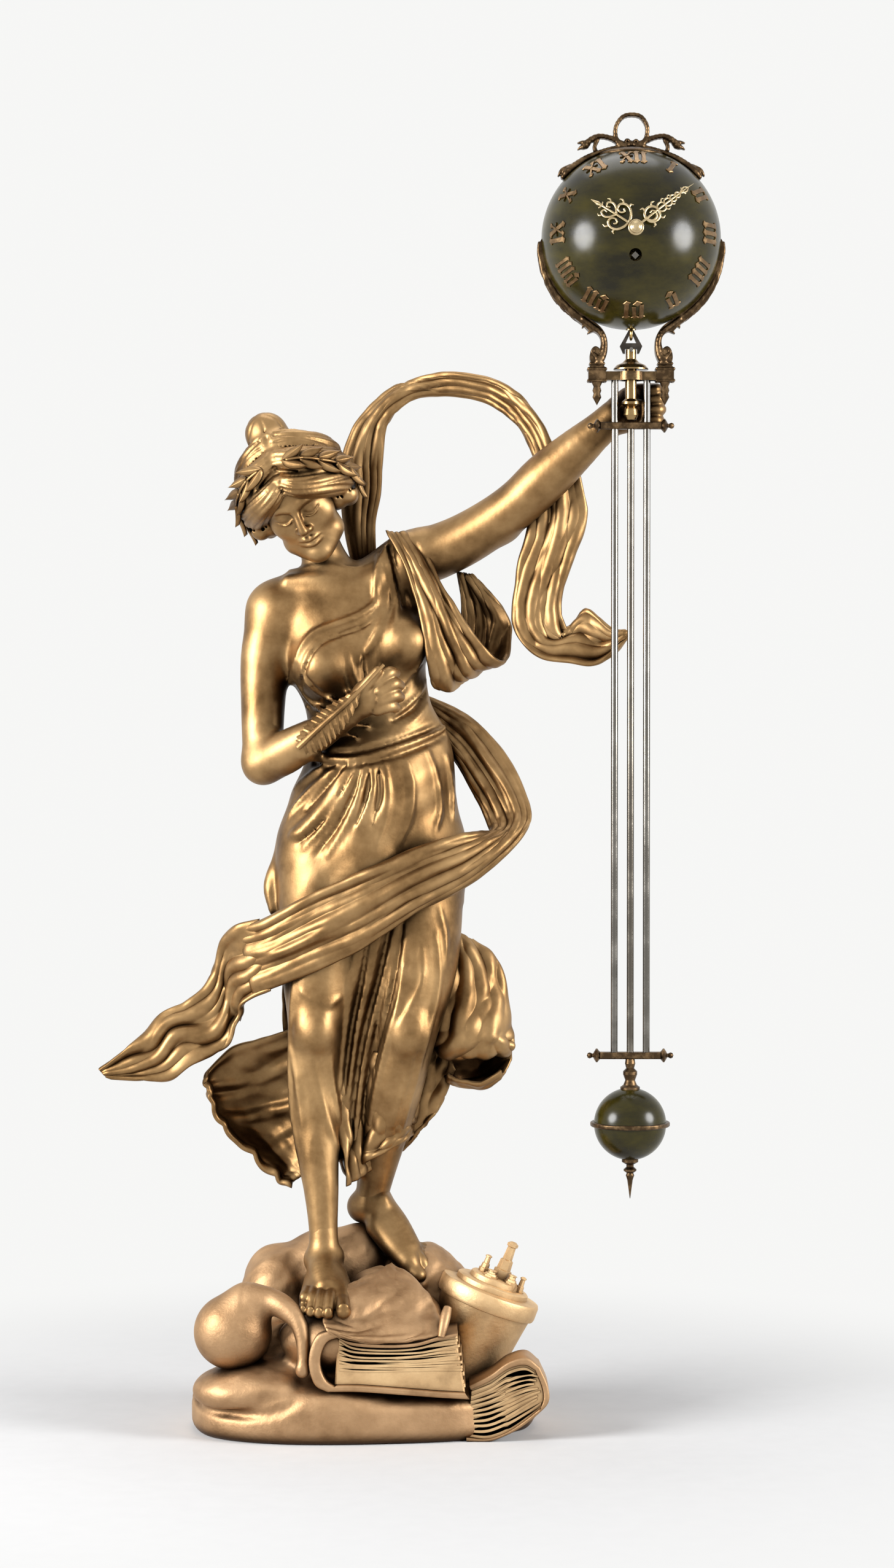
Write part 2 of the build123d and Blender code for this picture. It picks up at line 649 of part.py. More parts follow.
SASH_JOIN = ((-80, -14, 308), (-1, 0.4, -0.3), (0.3, 0, -0.95), 23, 6, 3)
with BuildPart() as hip_sash:
    add(ribbon((
        ((36, 20, 484), (1, 0, -0.4), (0.3, 0.2, 1), 7, 5, 1),
        ((62, 18, 470), (1, -0.1, -0.7), (0.6, 0.2, 0.8), 9, 5, 1.5),
        ((82, 10, 446), (0.7, -0.3, -1), (0.9, 0.2, 0.4), 11, 5, 2),
        ((93, -4, 416), (0.2, -0.7, -1), (1, 0.2, -0.1), 12, 5, 2),
        ((84, -18, 393), (-0.7, -0.6, -0.5), (0.55, -0.1, -0.8), 13, 5, 2),
        ((60, -29, 377), (-1, -0.3, -0.45), (0.4, 0, -0.9), 18, 5, 2.5),
        ((30, -35, 362), (-1, -0.1, -0.5), (0.45, 0, -0.9), 22, 6, 3),
        ((0, -36, 346), (-1, 0, -0.5), (0.45, 0, -0.9), 25, 6, 3),
        ((-30, -33, 331), (-1, 0.15, -0.45), (0.4, 0, -0.9), 26, 6, 3),
        ((-58, -24, 318), (-1, 0.4, -0.35), (0.3, 0, -0.95), 25, 6, 3),
        SASH_JOIN,
    )))
    add(torso_casting.part, mode=Mode.SUBTRACT)
    add(right_leg.part, mode=Mode.SUBTRACT)
    add(left_leg.part, mode=Mode.SUBTRACT)
    add(skirt_drape.part, mode=Mode.SUBTRACT)
finish(hip_sash.part, "hip_sash")

with BuildPart() as sash_tail:
    add(ribbon((
        SASH_JOIN,
        ((-96, -8, 290), (-0.6, 0.2, -0.8), (0.8, 0, -0.6), 13, 6, 3),
        ((-112, -6, 265), (-0.8, 0.1, -0.6), (0.6, 0, -0.8), 18, 6, 3.5),
        ((-140, -8, 248), (-1, 0, -0.45), (0.4, 0, -0.9), 17, 5, 3),
        ((-172, -10, 236), (-1, 0, -0.4), (0.4, 0, -0.9), 4, 4, 1),
    )))
finish(sash_tail.part, "sash_tail")

with BuildPart() as sleeve_drape:
    add(ribbon((
        ((10, -8, 586), (0.5, -0.5, -0.8), (0.85, 0.2, 0.45), 9, 5, 1),
        ((32, -22, 560), (0.55, -0.2, -0.8), (0.85, 0, 0.55), 14, 5, 2.5),
        ((52, -27, 532), (0.6, 0, -0.8), (0.8, 0, 0.6), 17, 5, 3),
        ((72, -16, 514), (0.85, 0.5, -0.1), (0.1, 0, 1), 11, 5, 2),
        ((86, 2, 528), (0.3, 0.5, 0.8), (-0.8, 0, 0.6), 9, 5, 1.5),
        ((79, 10, 552), (-0.4, 0.2, 0.9), (-0.9, 0, -0.4), 9, 5, 1),
        ((62, 8, 576), (-0.6, 0, 0.8), (-0.8, 0, -0.6), 8, 5, 1),
    )))
    add(torso_casting.part, mode=Mode.SUBTRACT)
    add(raised_arm.part, mode=Mode.SUBTRACT)
finish(sleeve_drape.part, "sleeve_drape")

with BuildPart() as scarf_arch:
    add(ribbon((
        ((0, 29, 564), (-0.1, 0, 1), (-1, 0, 0), 8, 5, 1),
        ((-6, 34, 600), (-0.05, 0, 1), (-1, -0.1, 0), 11, 5, 2),
        ((-4, 34, 640), (0.25, 0, 1), (-1, -0.2, 0.25), 12, 5, 2),
        ((8, 31, 670), (0.7, 0, 0.7), (-0.7, -0.4, 0.7), 11, 5, 2),
        ((45, 24, 691), (1, -0.15, 0), (0, -0.6, 0.8), 9, 5, 1.5),
        ((80, 12, 686), (0.9, -0.3, -0.35), (0.3, -0.4, 0.85), 9, 5, 1.5),
        ((104, -2, 669), (0.7, -0.35, -0.7), (0.65, -0.2, 0.7), 9, 5, 1.5),
        ((118, -13, 645), (0.35, -0.3, -0.85), (0.85, 0, 0.4), 8, 5, 1),
    )))
    add(raised_arm.part, mode=Mode.SUBTRACT)
    add(torso_casting.part, mode=Mode.SUBTRACT)
    add(hair_casting.part, mode=Mode.SUBTRACT)
    add(laurel_wreath.part, mode=Mode.SUBTRACT)
finish(scarf_arch.part, "scarf_arch")

with BuildPart() as scarf_tail:
    add(ribbon((
        ((125, -19, 636), (0, 0, -1), (1, 0, 0), 9, 6, 1),
        ((124, -15, 604), (-0.2, 0, -1), (1, 0, -0.2), 17, 6, 3),
        ((116, -13, 572), (-0.2, 0, -1), (1, 0, -0.2), 17, 6, 3.5),
        ((111, -13, 546), (0, 0, -1), (1, 0, 0), 16, 6, 3.5),
        ((119, -14, 524), (0.5, 0, -0.85), (0.85, 0, 0.5), 15, 6, 3),
        ((141, -16, 517), (1, 0, 0.15), (-0.15, 0, 1), 12, 6, 2.5),
        ((168, -18, 527), (1, 0, 0.3), (-0.3, 0, 1), 4, 5, 1),
    )))
    add(raised_arm.part, mode=Mode.SUBTRACT)
    add(scarf_arch.part, mode=Mode.SUBTRACT)
finish(scarf_tail.part, "scarf_tail")

# Swinging frame: pin, stirrup and eye

with BuildPart() as pivot_pin:
    with BuildSketch(Plane(origin=(SWING_X, SWING_Y, PIVOT_Z), x_dir=(1, 0, 0), z_dir=(0, -1, 0))):
        Circle(PIVOT_PIN_RADIUS)
    extrude(amount=PIVOT_PIN_LENGTH / 2, both=True)
finish(pivot_pin.part, "pivot_pin")

STIRRUP_THICKNESS = 3.0
STIRRUP_HALF_WIDTH = 7.3
STIRRUP_HEIGHT = 12.5
STIRRUP_LEG = 2.6
STIRRUP_SLOT = POST_NECK_RADIUS + 0.5
EYE_RADIUS = 3.6
EYE_WIRE = 1.0
EYE_RISE = STIRRUP_HEIGHT + FIT_CLEARANCE - sqrt((EYE_RADIUS - EYE_WIRE)**2 - (STIRRUP_THICKNESS / 2)**2)
with BuildPart() as suspension_stirrup:
    with BuildSketch(Plane(origin=(SWING_X, SWING_Y, PIVOT_Z), x_dir=(1, 0, 0), z_dir=(0, -1, 0))):
        with BuildLine():
            Polyline(
                (-1.6, STIRRUP_HEIGHT),
                (1.6, STIRRUP_HEIGHT),
                (STIRRUP_HALF_WIDTH, 2.2),
                (STIRRUP_HALF_WIDTH - 2.1, -STIRRUP_LEG),
                (STIRRUP_SLOT, -STIRRUP_LEG),
                (STIRRUP_SLOT, RUNNING_CLEARANCE),
                (-STIRRUP_SLOT, RUNNING_CLEARANCE),
                (-STIRRUP_SLOT, -STIRRUP_LEG),
                (-STIRRUP_HALF_WIDTH + 2.1, -STIRRUP_LEG),
                (-STIRRUP_HALF_WIDTH, 2.2),
                close=True,
            )
        make_face()
        with BuildLine():
            Polyline((-3.4, 4.2), (3.4, 4.2), (0.8, STIRRUP_HEIGHT - 2.6), (-0.8, STIRRUP_HEIGHT - 2.6),
                     close=True)
        make_face(mode=Mode.SUBTRACT)
        Circle(PIVOT_PIN_RADIUS, mode=Mode.SUBTRACT)
    extrude(amount=STIRRUP_THICKNESS / 2, both=True)
finish(suspension_stirrup.part, "suspension_stirrup")

with BuildPart() as suspension_eye:
    with Locations(Location((SWING_X, SWING_Y, PIVOT_Z + EYE_RISE), (0, 90, 0))):
        Torus(EYE_RADIUS, EYE_WIRE)
    with Locations((SWING_X, SWING_Y, GLOBE_Z - GLOBE_RADIUS)):
        Cylinder(3.4, 0.8)
    with Locations(GLOBE_CENTRE):
        Sphere(GLOBE_RADIUS, mode=Mode.SUBTRACT)
finish(suspension_eye.part, "suspension_eye")

# Crosshead, rods and crossbars

ROD_BORE = ROD_DIAMETER / 2 + FIT_CLEARANCE
with BuildPart() as crosshead:
    with Locations((SWING_X, SWING_Y, CROSSHEAD_Z)):
        Box(2 * CROSSHEAD_HALF_SPAN, CROSSHEAD_DEPTH, CROSSHEAD_HEIGHT)
        Cylinder(CROSSHEAD_RING_RADIUS, CROSSHEAD_HEIGHT)
        Cylinder(CROSSHEAD_RING_BORE, CROSSHEAD_HEIGHT, mode=Mode.SUBTRACT)
        with GridLocations(2 * ROD_OFFSET, 1, 2, 1):
            Cylinder(ROD_BORE, CROSSHEAD_HEIGHT, mode=Mode.SUBTRACT)
finish(crosshead.part, "crosshead")

ROD_TOP = CROSSHEAD_Z + CROSSHEAD_HEIGHT / 2
ROD_FOOT = LOWER_BAR_Z - BAR_HEIGHT / 2
with BuildPart() as side_rods:
    with BuildSketch(Plane.XY.offset(ROD_FOOT)):
        with Locations((SWING_X - ROD_OFFSET, SWING_Y), (SWING_X + ROD_OFFSET, SWING_Y)):
            Circle(ROD_DIAMETER / 2)
    extrude(amount=ROD_TOP - ROD_FOOT)
finish(side_rods.part, "side_rods")

with BuildPart() as centre_rod:
    with BuildSketch(Plane.XY.offset(ROD_FOOT)):
        with Locations((SWING_X, SWING_Y)):
            Circle(ROD_DIAMETER / 2)
    extrude(amount=UPPER_BAR_Z + BAR_HEIGHT / 2 - ROD_FOOT)
finish(centre_rod.part, "centre_rod")


def crossbar(height):
    """Flat bar with rounded long edges and three bores for the rods."""
    with BuildPart() as piece:
        with Locations((SWING_X, SWING_Y, height)):
            Box(2 * BAR_HALF_LENGTH, BAR_DEPTH, BAR_HEIGHT)
        fillet(piece.edges().filter_by(Axis.X), BAR_HEIGHT / 4)
        with Locations((SWING_X, SWING_Y, height)):
            with GridLocations(ROD_OFFSET, 1, 3, 1):
                Cylinder(ROD_BORE, BAR_HEIGHT, mode=Mode.SUBTRACT)
    return piece.part


upper_crossbar = crossbar(UPPER_BAR_Z)
finish(upper_crossbar, "upper_crossbar")
lower_crossbar = crossbar(LOWER_BAR_Z)
finish(lower_crossbar, "lower_crossbar")

# Turned knob along X: share of the knob's length, and radius
KNOB_NECK = 1.3
KNOB_PROFILE = (
    (0.0, 0.0),
    (0.0, 0.55 * KNOB_RADIUS),
    (0.1, 0.75 * KNOB_RADIUS),
    (0.2, KNOB_RADIUS),
    (0.3, KNOB_RADIUS),
    (0.42, 0.65 * KNOB_RADIUS),
    (0.52, KNOB_NECK),
    (0.6, KNOB_NECK),
    (0.7, 0.9 * KNOB_BALL_RADIUS),
    (0.8, KNOB_BALL_RADIUS),
    (0.93, 0.75 * KNOB_BALL_RADIUS),
    (1.0, 0.0),
)
with BuildPart() as crossbar_knobs:
    for height in (UPPER_BAR_Z, LOWER_BAR_Z):
        for side in (-1, 1):
            with BuildSketch(Plane(origin=(SWING_X, SWING_Y, height), x_dir=(1, 0, 0), z_dir=(0, -1, 0))):
                with BuildLine():
                    Polyline(*[(side * (BAR_HALF_LENGTH + KNOB_LENGTH * share), radius)
                               for share, radius in KNOB_PROFILE], close=True)
                make_face()
            revolve(axis=Axis((SWING_X, SWING_Y, height), (1, 0, 0)))
finish(crossbar_knobs.part, "crossbar_knobs")

# Bob: neck, two shells parted by a ring, lead core and spike

BOB_TOP = BOB_Z + BOB_RADIUS
with BuildPart() as bob_neck:
    add(turned((
        (0, ROD_FOOT),
        (3.0, ROD_FOOT),
        (3.4, ROD_FOOT - 3),
        (2.6, ROD_FOOT - 6),
        (4.6, ROD_FOOT - 8),
        (4.6, ROD_FOOT - 10),
        (3.2, BOB_TOP + 5),
        (4.4, BOB_TOP + 2),
        (6.4, BOB_TOP + 0.6),
        (6.4, BOB_TOP - 1.5),
        (0, BOB_TOP - 1.5),
    )))
    with Locations(BOB_CENTRE):
        Sphere(BOB_RADIUS, mode=Mode.SUBTRACT)
finish(bob_neck.part, "bob_neck")


def bob_shell(keep, seam):
    """Half of the bob's hollow ball, cut at the height of the ring's face."""
    with BuildPart() as piece:
        with Locations(BOB_CENTRE):
            Sphere(BOB_RADIUS)
            Sphere(BOB_RADIUS - BOB_WALL, mode=Mode.SUBTRACT)
        split(bisect_by=Plane.XY.offset(seam), keep=keep)
    return piece.part


bob_upper_shell = bob_shell(Keep.TOP, BOB_Z + BOB_RING_HEIGHT / 2)
finish(bob_upper_shell, "bob_upper_shell")
bob_lower_shell = bob_shell(Keep.BOTTOM, BOB_Z - BOB_RING_HEIGHT / 2)
finish(bob_lower_shell, "bob_lower_shell")

with BuildPart() as bob_ring:
    with Locations(BOB_CENTRE):
        Cylinder(BOB_RING_RADIUS, BOB_RING_HEIGHT)
    fillet(bob_ring.edges(), BOB_RING_HEIGHT / 3)
    with Locations(BOB_CENTRE):
        Cylinder(BOB_RADIUS - BOB_WALL, BOB_RING_HEIGHT, mode=Mode.SUBTRACT)
finish(bob_ring.part, "bob_ring")

with BuildPart() as bob_weight:
    with Locations(BOB_CENTRE):
        Sphere(BOB_RADIUS - BOB_WALL - FIT_CLEARANCE)
finish(bob_weight.part, "bob_weight")

BOB_FOOT = BOB_Z - BOB_RADIUS
with BuildPart() as bob_spike:
    add(turned((
        (0, BOB_FOOT + 1),
        (5.4, BOB_FOOT + 1),
        (5.4, BOB_FOOT - 1.2),
        (2.4, BOB_FOOT - 3),
        (2.4, BOB_FOOT - 4.5),
        (4.2, BOB_FOOT - 6),
        (4.2, BOB_FOOT - 7),
        (2.2, BOB_FOOT - 8.5),
        (2.8, BOB_FOOT - 10),
        (1.8, BOB_FOOT - 13),
        (0.2, BOB_FOOT - SPIKE_LENGTH),
        (0, BOB_FOOT - SPIKE_LENGTH),
    )))
    with Locations(BOB_CENTRE):
        Sphere(BOB_RADIUS, mode=Mode.SUBTRACT)
finish(bob_spike.part, "bob_spike")

# Globe: two hemispheres, with the hands' hole and the winding hole in the front one


def globe_shell(keep):
    """Hollow half of the globe on one side of its seam plane."""
    with BuildPart() as piece:
        with Locations(GLOBE_CENTRE):
            Sphere(GLOBE_RADIUS)
            Sphere(GLOBE_RADIUS - GLOBE_WALL, mode=Mode.SUBTRACT)
        split(bisect_by=DIAL, keep=keep)
    return piece.part


WINDING_PLACE = (0.0, -WINDING_DROP)
with BuildPart() as globe_front_shell:
    add(globe_shell(Keep.TOP))
    add(rod_forward((0, 0), FRONT_PLATE_DEPTH, GLOBE_RADIUS, HOUR_PIPE_RADIUS + RUNNING_CLEARANCE),
        mode=Mode.SUBTRACT)
    add(rod_forward(WINDING_PLACE, FRONT_PLATE_DEPTH, GLOBE_RADIUS, WINDING_HOLE_RADIUS), mode=Mode.SUBTRACT)
finish(globe_front_shell.part, "globe_front_shell")
globe_rear_shell = globe_shell(Keep.BOTTOM)
finish(globe_rear_shell, "globe_rear_shell")

# Raised hour numerals, feet towards the middle of the dial

HOUR_NAMES = ("I", "II", "III", "IIII", "V", "VI", "VII", "VIII", "IX", "X", "XI", "XII")
LETTER_WIDTHS = {"I": 3.3, "V": 6.6, "X": 6.6}
LETTER_SLANTS = {"I": ((0.0, 0.0),), "V": ((-1.6, 13.0), (1.6, -13.0)), "X": ((0.0, 20.0), (0.0, -20.0))}


def numeral(hour, name):
    """One raised numeral, bars cut from a thin layer over the globe."""
    turn = radians(30 * hour)
    polar = radians(NUMERAL_ANGLE)
    outward = Vector(sin(polar) * sin(turn), -cos(polar), sin(polar) * cos(turn))
    plane = Plane(origin=Vector(*GLOBE_CENTRE) + outward * GLOBE_RADIUS,
                  x_dir=(cos(turn), 0, -sin(turn)), z_dir=outward)
    left = -sum(LETTER_WIDTHS[letter] for letter in name) / 2
    with BuildPart() as piece:
        with BuildSketch(plane):
            for letter in name:
                middle = left + LETTER_WIDTHS[letter] / 2
                for shift, slant in LETTER_SLANTS[letter]:
                    with Locations(Location((middle + shift, 0, 0), (0, 0, slant))):
                        Rectangle(NUMERAL_STROKE, NUMERAL_HEIGHT)
                left += LETTER_WIDTHS[letter]
        extrude(amount=2 * NUMERAL_RELIEF, both=True)
        with Locations(GLOBE_CENTRE):
            Sphere(GLOBE_RADIUS + NUMERAL_RELIEF, mode=Mode.INTERSECT)
            Sphere(GLOBE_RADIUS, mode=Mode.SUBTRACT)
    return piece.part


with BuildPart() as hour_numerals:
    for hour, name in enumerate(HOUR_NAMES, start=1):
        add(numeral(hour, name))
finish(hour_numerals.part, "hour_numerals")

# Bow on top of the globe: cap, loop, side bows and tails

BOW_CAP_ANGLE = 21.0
BOW_CAP = 1.4
BOW_TAIL = 3.4
BOW_TAIL_ANGLES = (20.0, 34.0, 48.0)


def on_globe(angle_from_top, lift):
    """Point beside the globe's middle plane, at an angle from its top and a lift above its surface."""
    radius = GLOBE_RADIUS + lift
    return (radius * sin(radians(angle_from_top)), radius * cos(radians(angle_from_top)))


with BuildPart() as bow_ornament:
    with BuildSketch(DIAL.offset(-BOW_DEPTH / 2)):
        with Locations((0, GLOBE_RADIUS + BOW_LOOP_RISE)):
            Ellipse(BOW_LOOP_RADIUS, BOW_LOOP_RADIUS - 0.7)
            Ellipse(BOW_LOOP_RADIUS - BOW_BAND, BOW_LOOP_RADIUS - 0.7 - BOW_BAND, mode=Mode.SUBTRACT)
        for side in (-1, 1):
            with Locations(Location((side * 23, GLOBE_RADIUS + 3.6, 0), (0, 0, -side * 12))):
                Ellipse(10.5, 5.2)
                Ellipse(10.5 - BOW_BAND, 5.2 - BOW_BAND, mode=Mode.SUBTRACT)
            first, middle, last = BOW_TAIL_ANGLES
            with BuildLine():
                ThreePointArc(on_globe(side * first, -0.5), on_globe(side * middle, -0.5),
                              on_globe(side * last, -0.5))
                Line(on_globe(side * last, -0.5), on_globe(side * last, BOW_TAIL))
                ThreePointArc(on_globe(side * last, BOW_TAIL), on_globe(side * middle, BOW_TAIL),
                              on_globe(side * first, BOW_TAIL))
                Line(on_globe(side * first, BOW_TAIL), on_globe(side * first, -0.5))
            make_face()
        with BuildLine():
            ThreePointArc(on_globe(-22, -0.5), on_globe(0, -0.5), on_globe(22, -0.5))
            Line(on_globe(22, -0.5), on_globe(22, BOW_BAND))
            ThreePointArc(on_globe(22, BOW_BAND), on_globe(0, BOW_BAND), on_globe(-22, BOW_BAND))
            Line(on_globe(-22, BOW_BAND), on_globe(-22, -0.5))
        make_face()
    extrude(amount=BOW_DEPTH)
    with BuildSketch(DIAL):
        with BuildLine():
            Polyline((0, GLOBE_RADIUS - 1), (0, GLOBE_RADIUS + BOW_CAP))
            ThreePointArc((0, GLOBE_RADIUS + BOW_CAP), on_globe(BOW_CAP_ANGLE / 2, BOW_CAP),
                          on_globe(BOW_CAP_ANGLE, BOW_CAP))
            Line(on_globe(BOW_CAP_ANGLE, BOW_CAP), on_globe(BOW_CAP_ANGLE, -1))
            ThreePointArc(on_globe(BOW_CAP_ANGLE, -1), on_globe(BOW_CAP_ANGLE / 2, -1), (0, GLOBE_RADIUS - 1))
        make_face()
    revolve(axis=SWING_AXIS)
    with Locations(GLOBE_CENTRE):
        Sphere(GLOBE_RADIUS, mode=Mode.SUBTRACT)
finish(bow_ornament.part, "bow_ornament")

# Brackets: leaf along the globe, scrolled stem, foot beside the crosshead, and a turned drop

FOOT_TOP = -9.0
FOOT_BOTTOM = -20.4
FOOT_OUTER = 27.6
DROP_LENGTH = 15.5


def bracket(side):
    """Bracket on one side; side is -1 for left and 1 for right."""
    middle = Plane(origin=(SWING_X, SWING_Y + BRACKET_DEPTH / 2, PIVOT_Z), x_dir=(1, 0, 0), z_dir=(0, -1, 0))

    def at(angle, lift):
        radius = GLOBE_RADIUS + lift
        return (side * radius * cos(radians(angle)), GLOBE_RISE + radius * sin(radians(angle)))

    def beside(points):
        return [(side * x, z) for x, z in points]

    with BuildPart() as piece:
        with BuildSketch(middle):
            with BuildLine():
                Spline(at(0, 0), at(-8, 2.6), at(-16, 2.2), at(-30, BRACKET_LEAF),
                       at(-46, BRACKET_LEAF + 0.4), at(-60, BRACKET_LEAF + 1.2))
                Line(at(-60, BRACKET_LEAF + 1.2), at(-60, -1))
                ThreePointArc(at(-60, -1), at(-30, -1), at(0, -1))
                Line(at(0, -1), at(0, 0))
            make_face()
            with BuildLine():
                Spline(*beside(((25.5, 18.5), (19.1, 13.5), (16, 7.8), (15.3, 2.5), (15.8, -3),
                                (18.5, FOOT_TOP))))
                Line(*beside(((18.5, FOOT_TOP), (25.5, FOOT_TOP))))
                Spline(*beside(((25.5, FOOT_TOP), (26.6, -3), (24.6, 0.6), (20.4, 0.2))))
                Spline(*beside(((20.4, 0.2), (19.5, 4), (20.2, 8), (22.3, 10.6), (27, 11.5))))
                Polyline(*beside(((27, 11.5),)), at(-57, BRACKET_LEAF), at(-60, -1), *beside(((25.5, 18.5),)))
            make_face()
            with BuildLine():
                Polyline(*beside(((CROSSHEAD_HALF_SPAN, FOOT_BOTTOM), (FOOT_OUTER, FOOT_BOTTOM),
                                  (FOOT_OUTER, FOOT_TOP - 3.5), (25.5, FOOT_TOP), (18.5, FOOT_TOP),
                                  (CROSSHEAD_HALF_SPAN, FOOT_TOP - 3.5))), close=True)
            make_face()
        extrude(amount=BRACKET_DEPTH)
        drop_top = PIVOT_Z + FOOT_BOTTOM
        add(turned((
            (0, drop_top + 1),
            (3.8, drop_top + 1),
            (3.8, drop_top),
            (2.2, drop_top - 0.22 * DROP_LENGTH),
            (2.9, drop_top - 0.38 * DROP_LENGTH),
            (2.2, drop_top - 0.5 * DROP_LENGTH),
            (2.9, drop_top - 0.66 * DROP_LENGTH),
            (0, drop_top - DROP_LENGTH),
        ), x=SWING_X + side * BRACKET_FOOT_X))
        with Locations(GLOBE_CENTRE):
            Sphere(GLOBE_RADIUS, mode=Mode.SUBTRACT)
    return piece.part


left_bracket = bracket(-1)
finish(left_bracket, "left_bracket")
right_bracket = bracket(1)
finish(right_bracket, "right_bracket")

# Movement: places of its arbors on the dial plane

CENTRE_PLACE = (0.0, 0.0)
ESCAPE_PLACE = (0.0, ESCAPE_RISE)
ANCHOR_PLACE = (0.0, ANCHOR_RISE)
BARREL_MODULE = 2 * WINDING_DROP / (BARREL_TEETH + PINION_LEAVES)
CENTRE_TO_THIRD = CENTRE_MODULE * (CENTRE_TEETH + PINION_LEAVES) / 2
THIRD_TO_ESCAPE = THIRD_MODULE * (THIRD_TEETH + PINION_LEAVES) / 2
THIRD_RISE = (CENTRE_TO_THIRD**2 - THIRD_TO_ESCAPE**2 + ESCAPE_RISE**2) / (2 * ESCAPE_RISE)
THIRD_PLACE = (sqrt(CENTRE_TO_THIRD**2 - THIRD_RISE**2), THIRD_RISE)
CANNON_LEAVES = 10
MINUTE_TEETH = 30
HOUR_TEETH = 32
MOTION_DISTANCE = CENTRE_MODULE * (CANNON_LEAVES + MINUTE_TEETH) / 2
MOTION_PLACE = (MOTION_DISTANCE, 0.0)
WHEEL_SHARES = (0.52, 0.2)
PINION_SHARES = (0.42, 0.18)

# Depths along the dial axis, towards the viewer
PLATES_GAP = FRONT_PLATE_DEPTH - BACK_PLATE_DEPTH - PLATE_THICKNESS
ARBOR_BACK = BACK_PLATE_DEPTH + RUNNING_CLEARANCE
ARBOR_SPAN = FRONT_PLATE_DEPTH + PLATE_THICKNESS - RUNNING_CLEARANCE - ARBOR_BACK
BARREL_BACK = -6.0
BARREL_TEETH_DEPTH = BARREL_BACK + BARREL_DEPTH
CENTRE_WHEEL_DEPTH = 10.0
THIRD_WHEEL_DEPTH = 0.0
ESCAPE_WHEEL_DEPTH = -5.0
CANNON_DEPTH = FRONT_PLATE_DEPTH + PLATE_THICKNESS + 1.0
HOUR_WHEEL_DEPTH = CANNON_DEPTH + 2 * WHEEL_THICKNESS
PINION_LENGTH = 2 * WHEEL_THICKNESS
PINION_LEAD = (PINION_LENGTH - WHEEL_THICKNESS) / 2


def mesh_angle(wheel_place, pinion_place):
    """Direction from a wheel to the pinion that it drives, in degrees on the dial plane."""
    return degrees(atan2(pinion_place[1] - wheel_place[1], pinion_place[0] - wheel_place[0]))


def wheel(place, teeth, module, depth, towards):
    """Wheel with a tooth pointing at the place it meshes towards."""
    return wheel_blank(place, depth, WHEEL_THICKNESS,
                       gear_outline(teeth, module, *WHEEL_SHARES, mesh_angle(place, towards)))


def pinion(place, leaves, module, wheel_depth, towards):
    """Pinion beside a wheel at wheel_depth, with a gap facing the wheel it meshes with."""
    facing = mesh_angle(place, towards) + 180 / leaves
    return wheel_blank(place, wheel_depth - PINION_LEAD, PINION_LENGTH,
                       gear_outline(leaves, module, *PINION_SHARES, facing))


def plate_holes(depth, places):
    """Pivot holes through a plate, one for each arbor place and radius."""
    with BuildPart() as piece:
        for place, radius in places:
            add(rod_forward(place, depth, PLATE_THICKNESS, radius + RUNNING_CLEARANCE))
    return piece.part


PIVOTS = ((CENTRE_PLACE, CENTRE_ARBOR_RADIUS), (THIRD_PLACE, ARBOR_RADIUS), (ESCAPE_PLACE, ARBOR_RADIUS),
          (ANCHOR_PLACE, ARBOR_RADIUS), (WINDING_PLACE, WINDING_ARBOR_RADIUS))
with BuildPart() as front_plate:
    add(rod_forward(CENTRE_PLACE, FRONT_PLATE_DEPTH, PLATE_THICKNESS, GLOBE_RADIUS))
    with Locations(GLOBE_CENTRE):
        Sphere(GLOBE_RADIUS - GLOBE_WALL - FIT_CLEARANCE, mode=Mode.INTERSECT)
    add(plate_holes(FRONT_PLATE_DEPTH, PIVOTS + ((MOTION_PLACE, ARBOR_RADIUS),)), mode=Mode.SUBTRACT)
finish(front_plate.part, "front_plate")

with BuildPart() as back_plate:
    add(rod_forward(CENTRE_PLACE, BACK_PLATE_DEPTH, PLATE_THICKNESS, BACK_PLATE_RADIUS))
    add(plate_holes(BACK_PLATE_DEPTH, PIVOTS), mode=Mode.SUBTRACT)
    for corner in range(4):
        turn = radians(45 + 90 * corner)
        place = (PILLAR_CIRCLE * cos(turn), PILLAR_CIRCLE * sin(turn))
        add(rod_forward(place, BACK_PLATE_DEPTH + PLATE_THICKNESS, PLATES_GAP, PILLAR_RADIUS))
finish(back_plate.part, "back_plate")

# Barrel with great wheel, mainspring and winding arbor

BARREL_RADIUS = BARREL_MODULE * BARREL_TEETH / 2 - 2.0
BARREL_BORE = BARREL_RADIUS - BARREL_WALL
with BuildPart() as mainspring_barrel:
    add(rod_forward(WINDING_PLACE, BARREL_BACK, BARREL_DEPTH, BARREL_RADIUS))
    add(rod_forward(WINDING_PLACE, BARREL_BACK + BARREL_WALL, BARREL_DEPTH - BARREL_WALL, BARREL_BORE),
        mode=Mode.SUBTRACT)
    add(wheel(WINDING_PLACE, BARREL_TEETH, BARREL_MODULE, BARREL_TEETH_DEPTH, CENTRE_PLACE))
    add(rod_forward(WINDING_PLACE, BARREL_BACK, BARREL_DEPTH + WHEEL_THICKNESS,
                    WINDING_ARBOR_RADIUS + RUNNING_CLEARANCE), mode=Mode.SUBTRACT)
finish(mainspring_barrel.part, "mainspring_barrel")

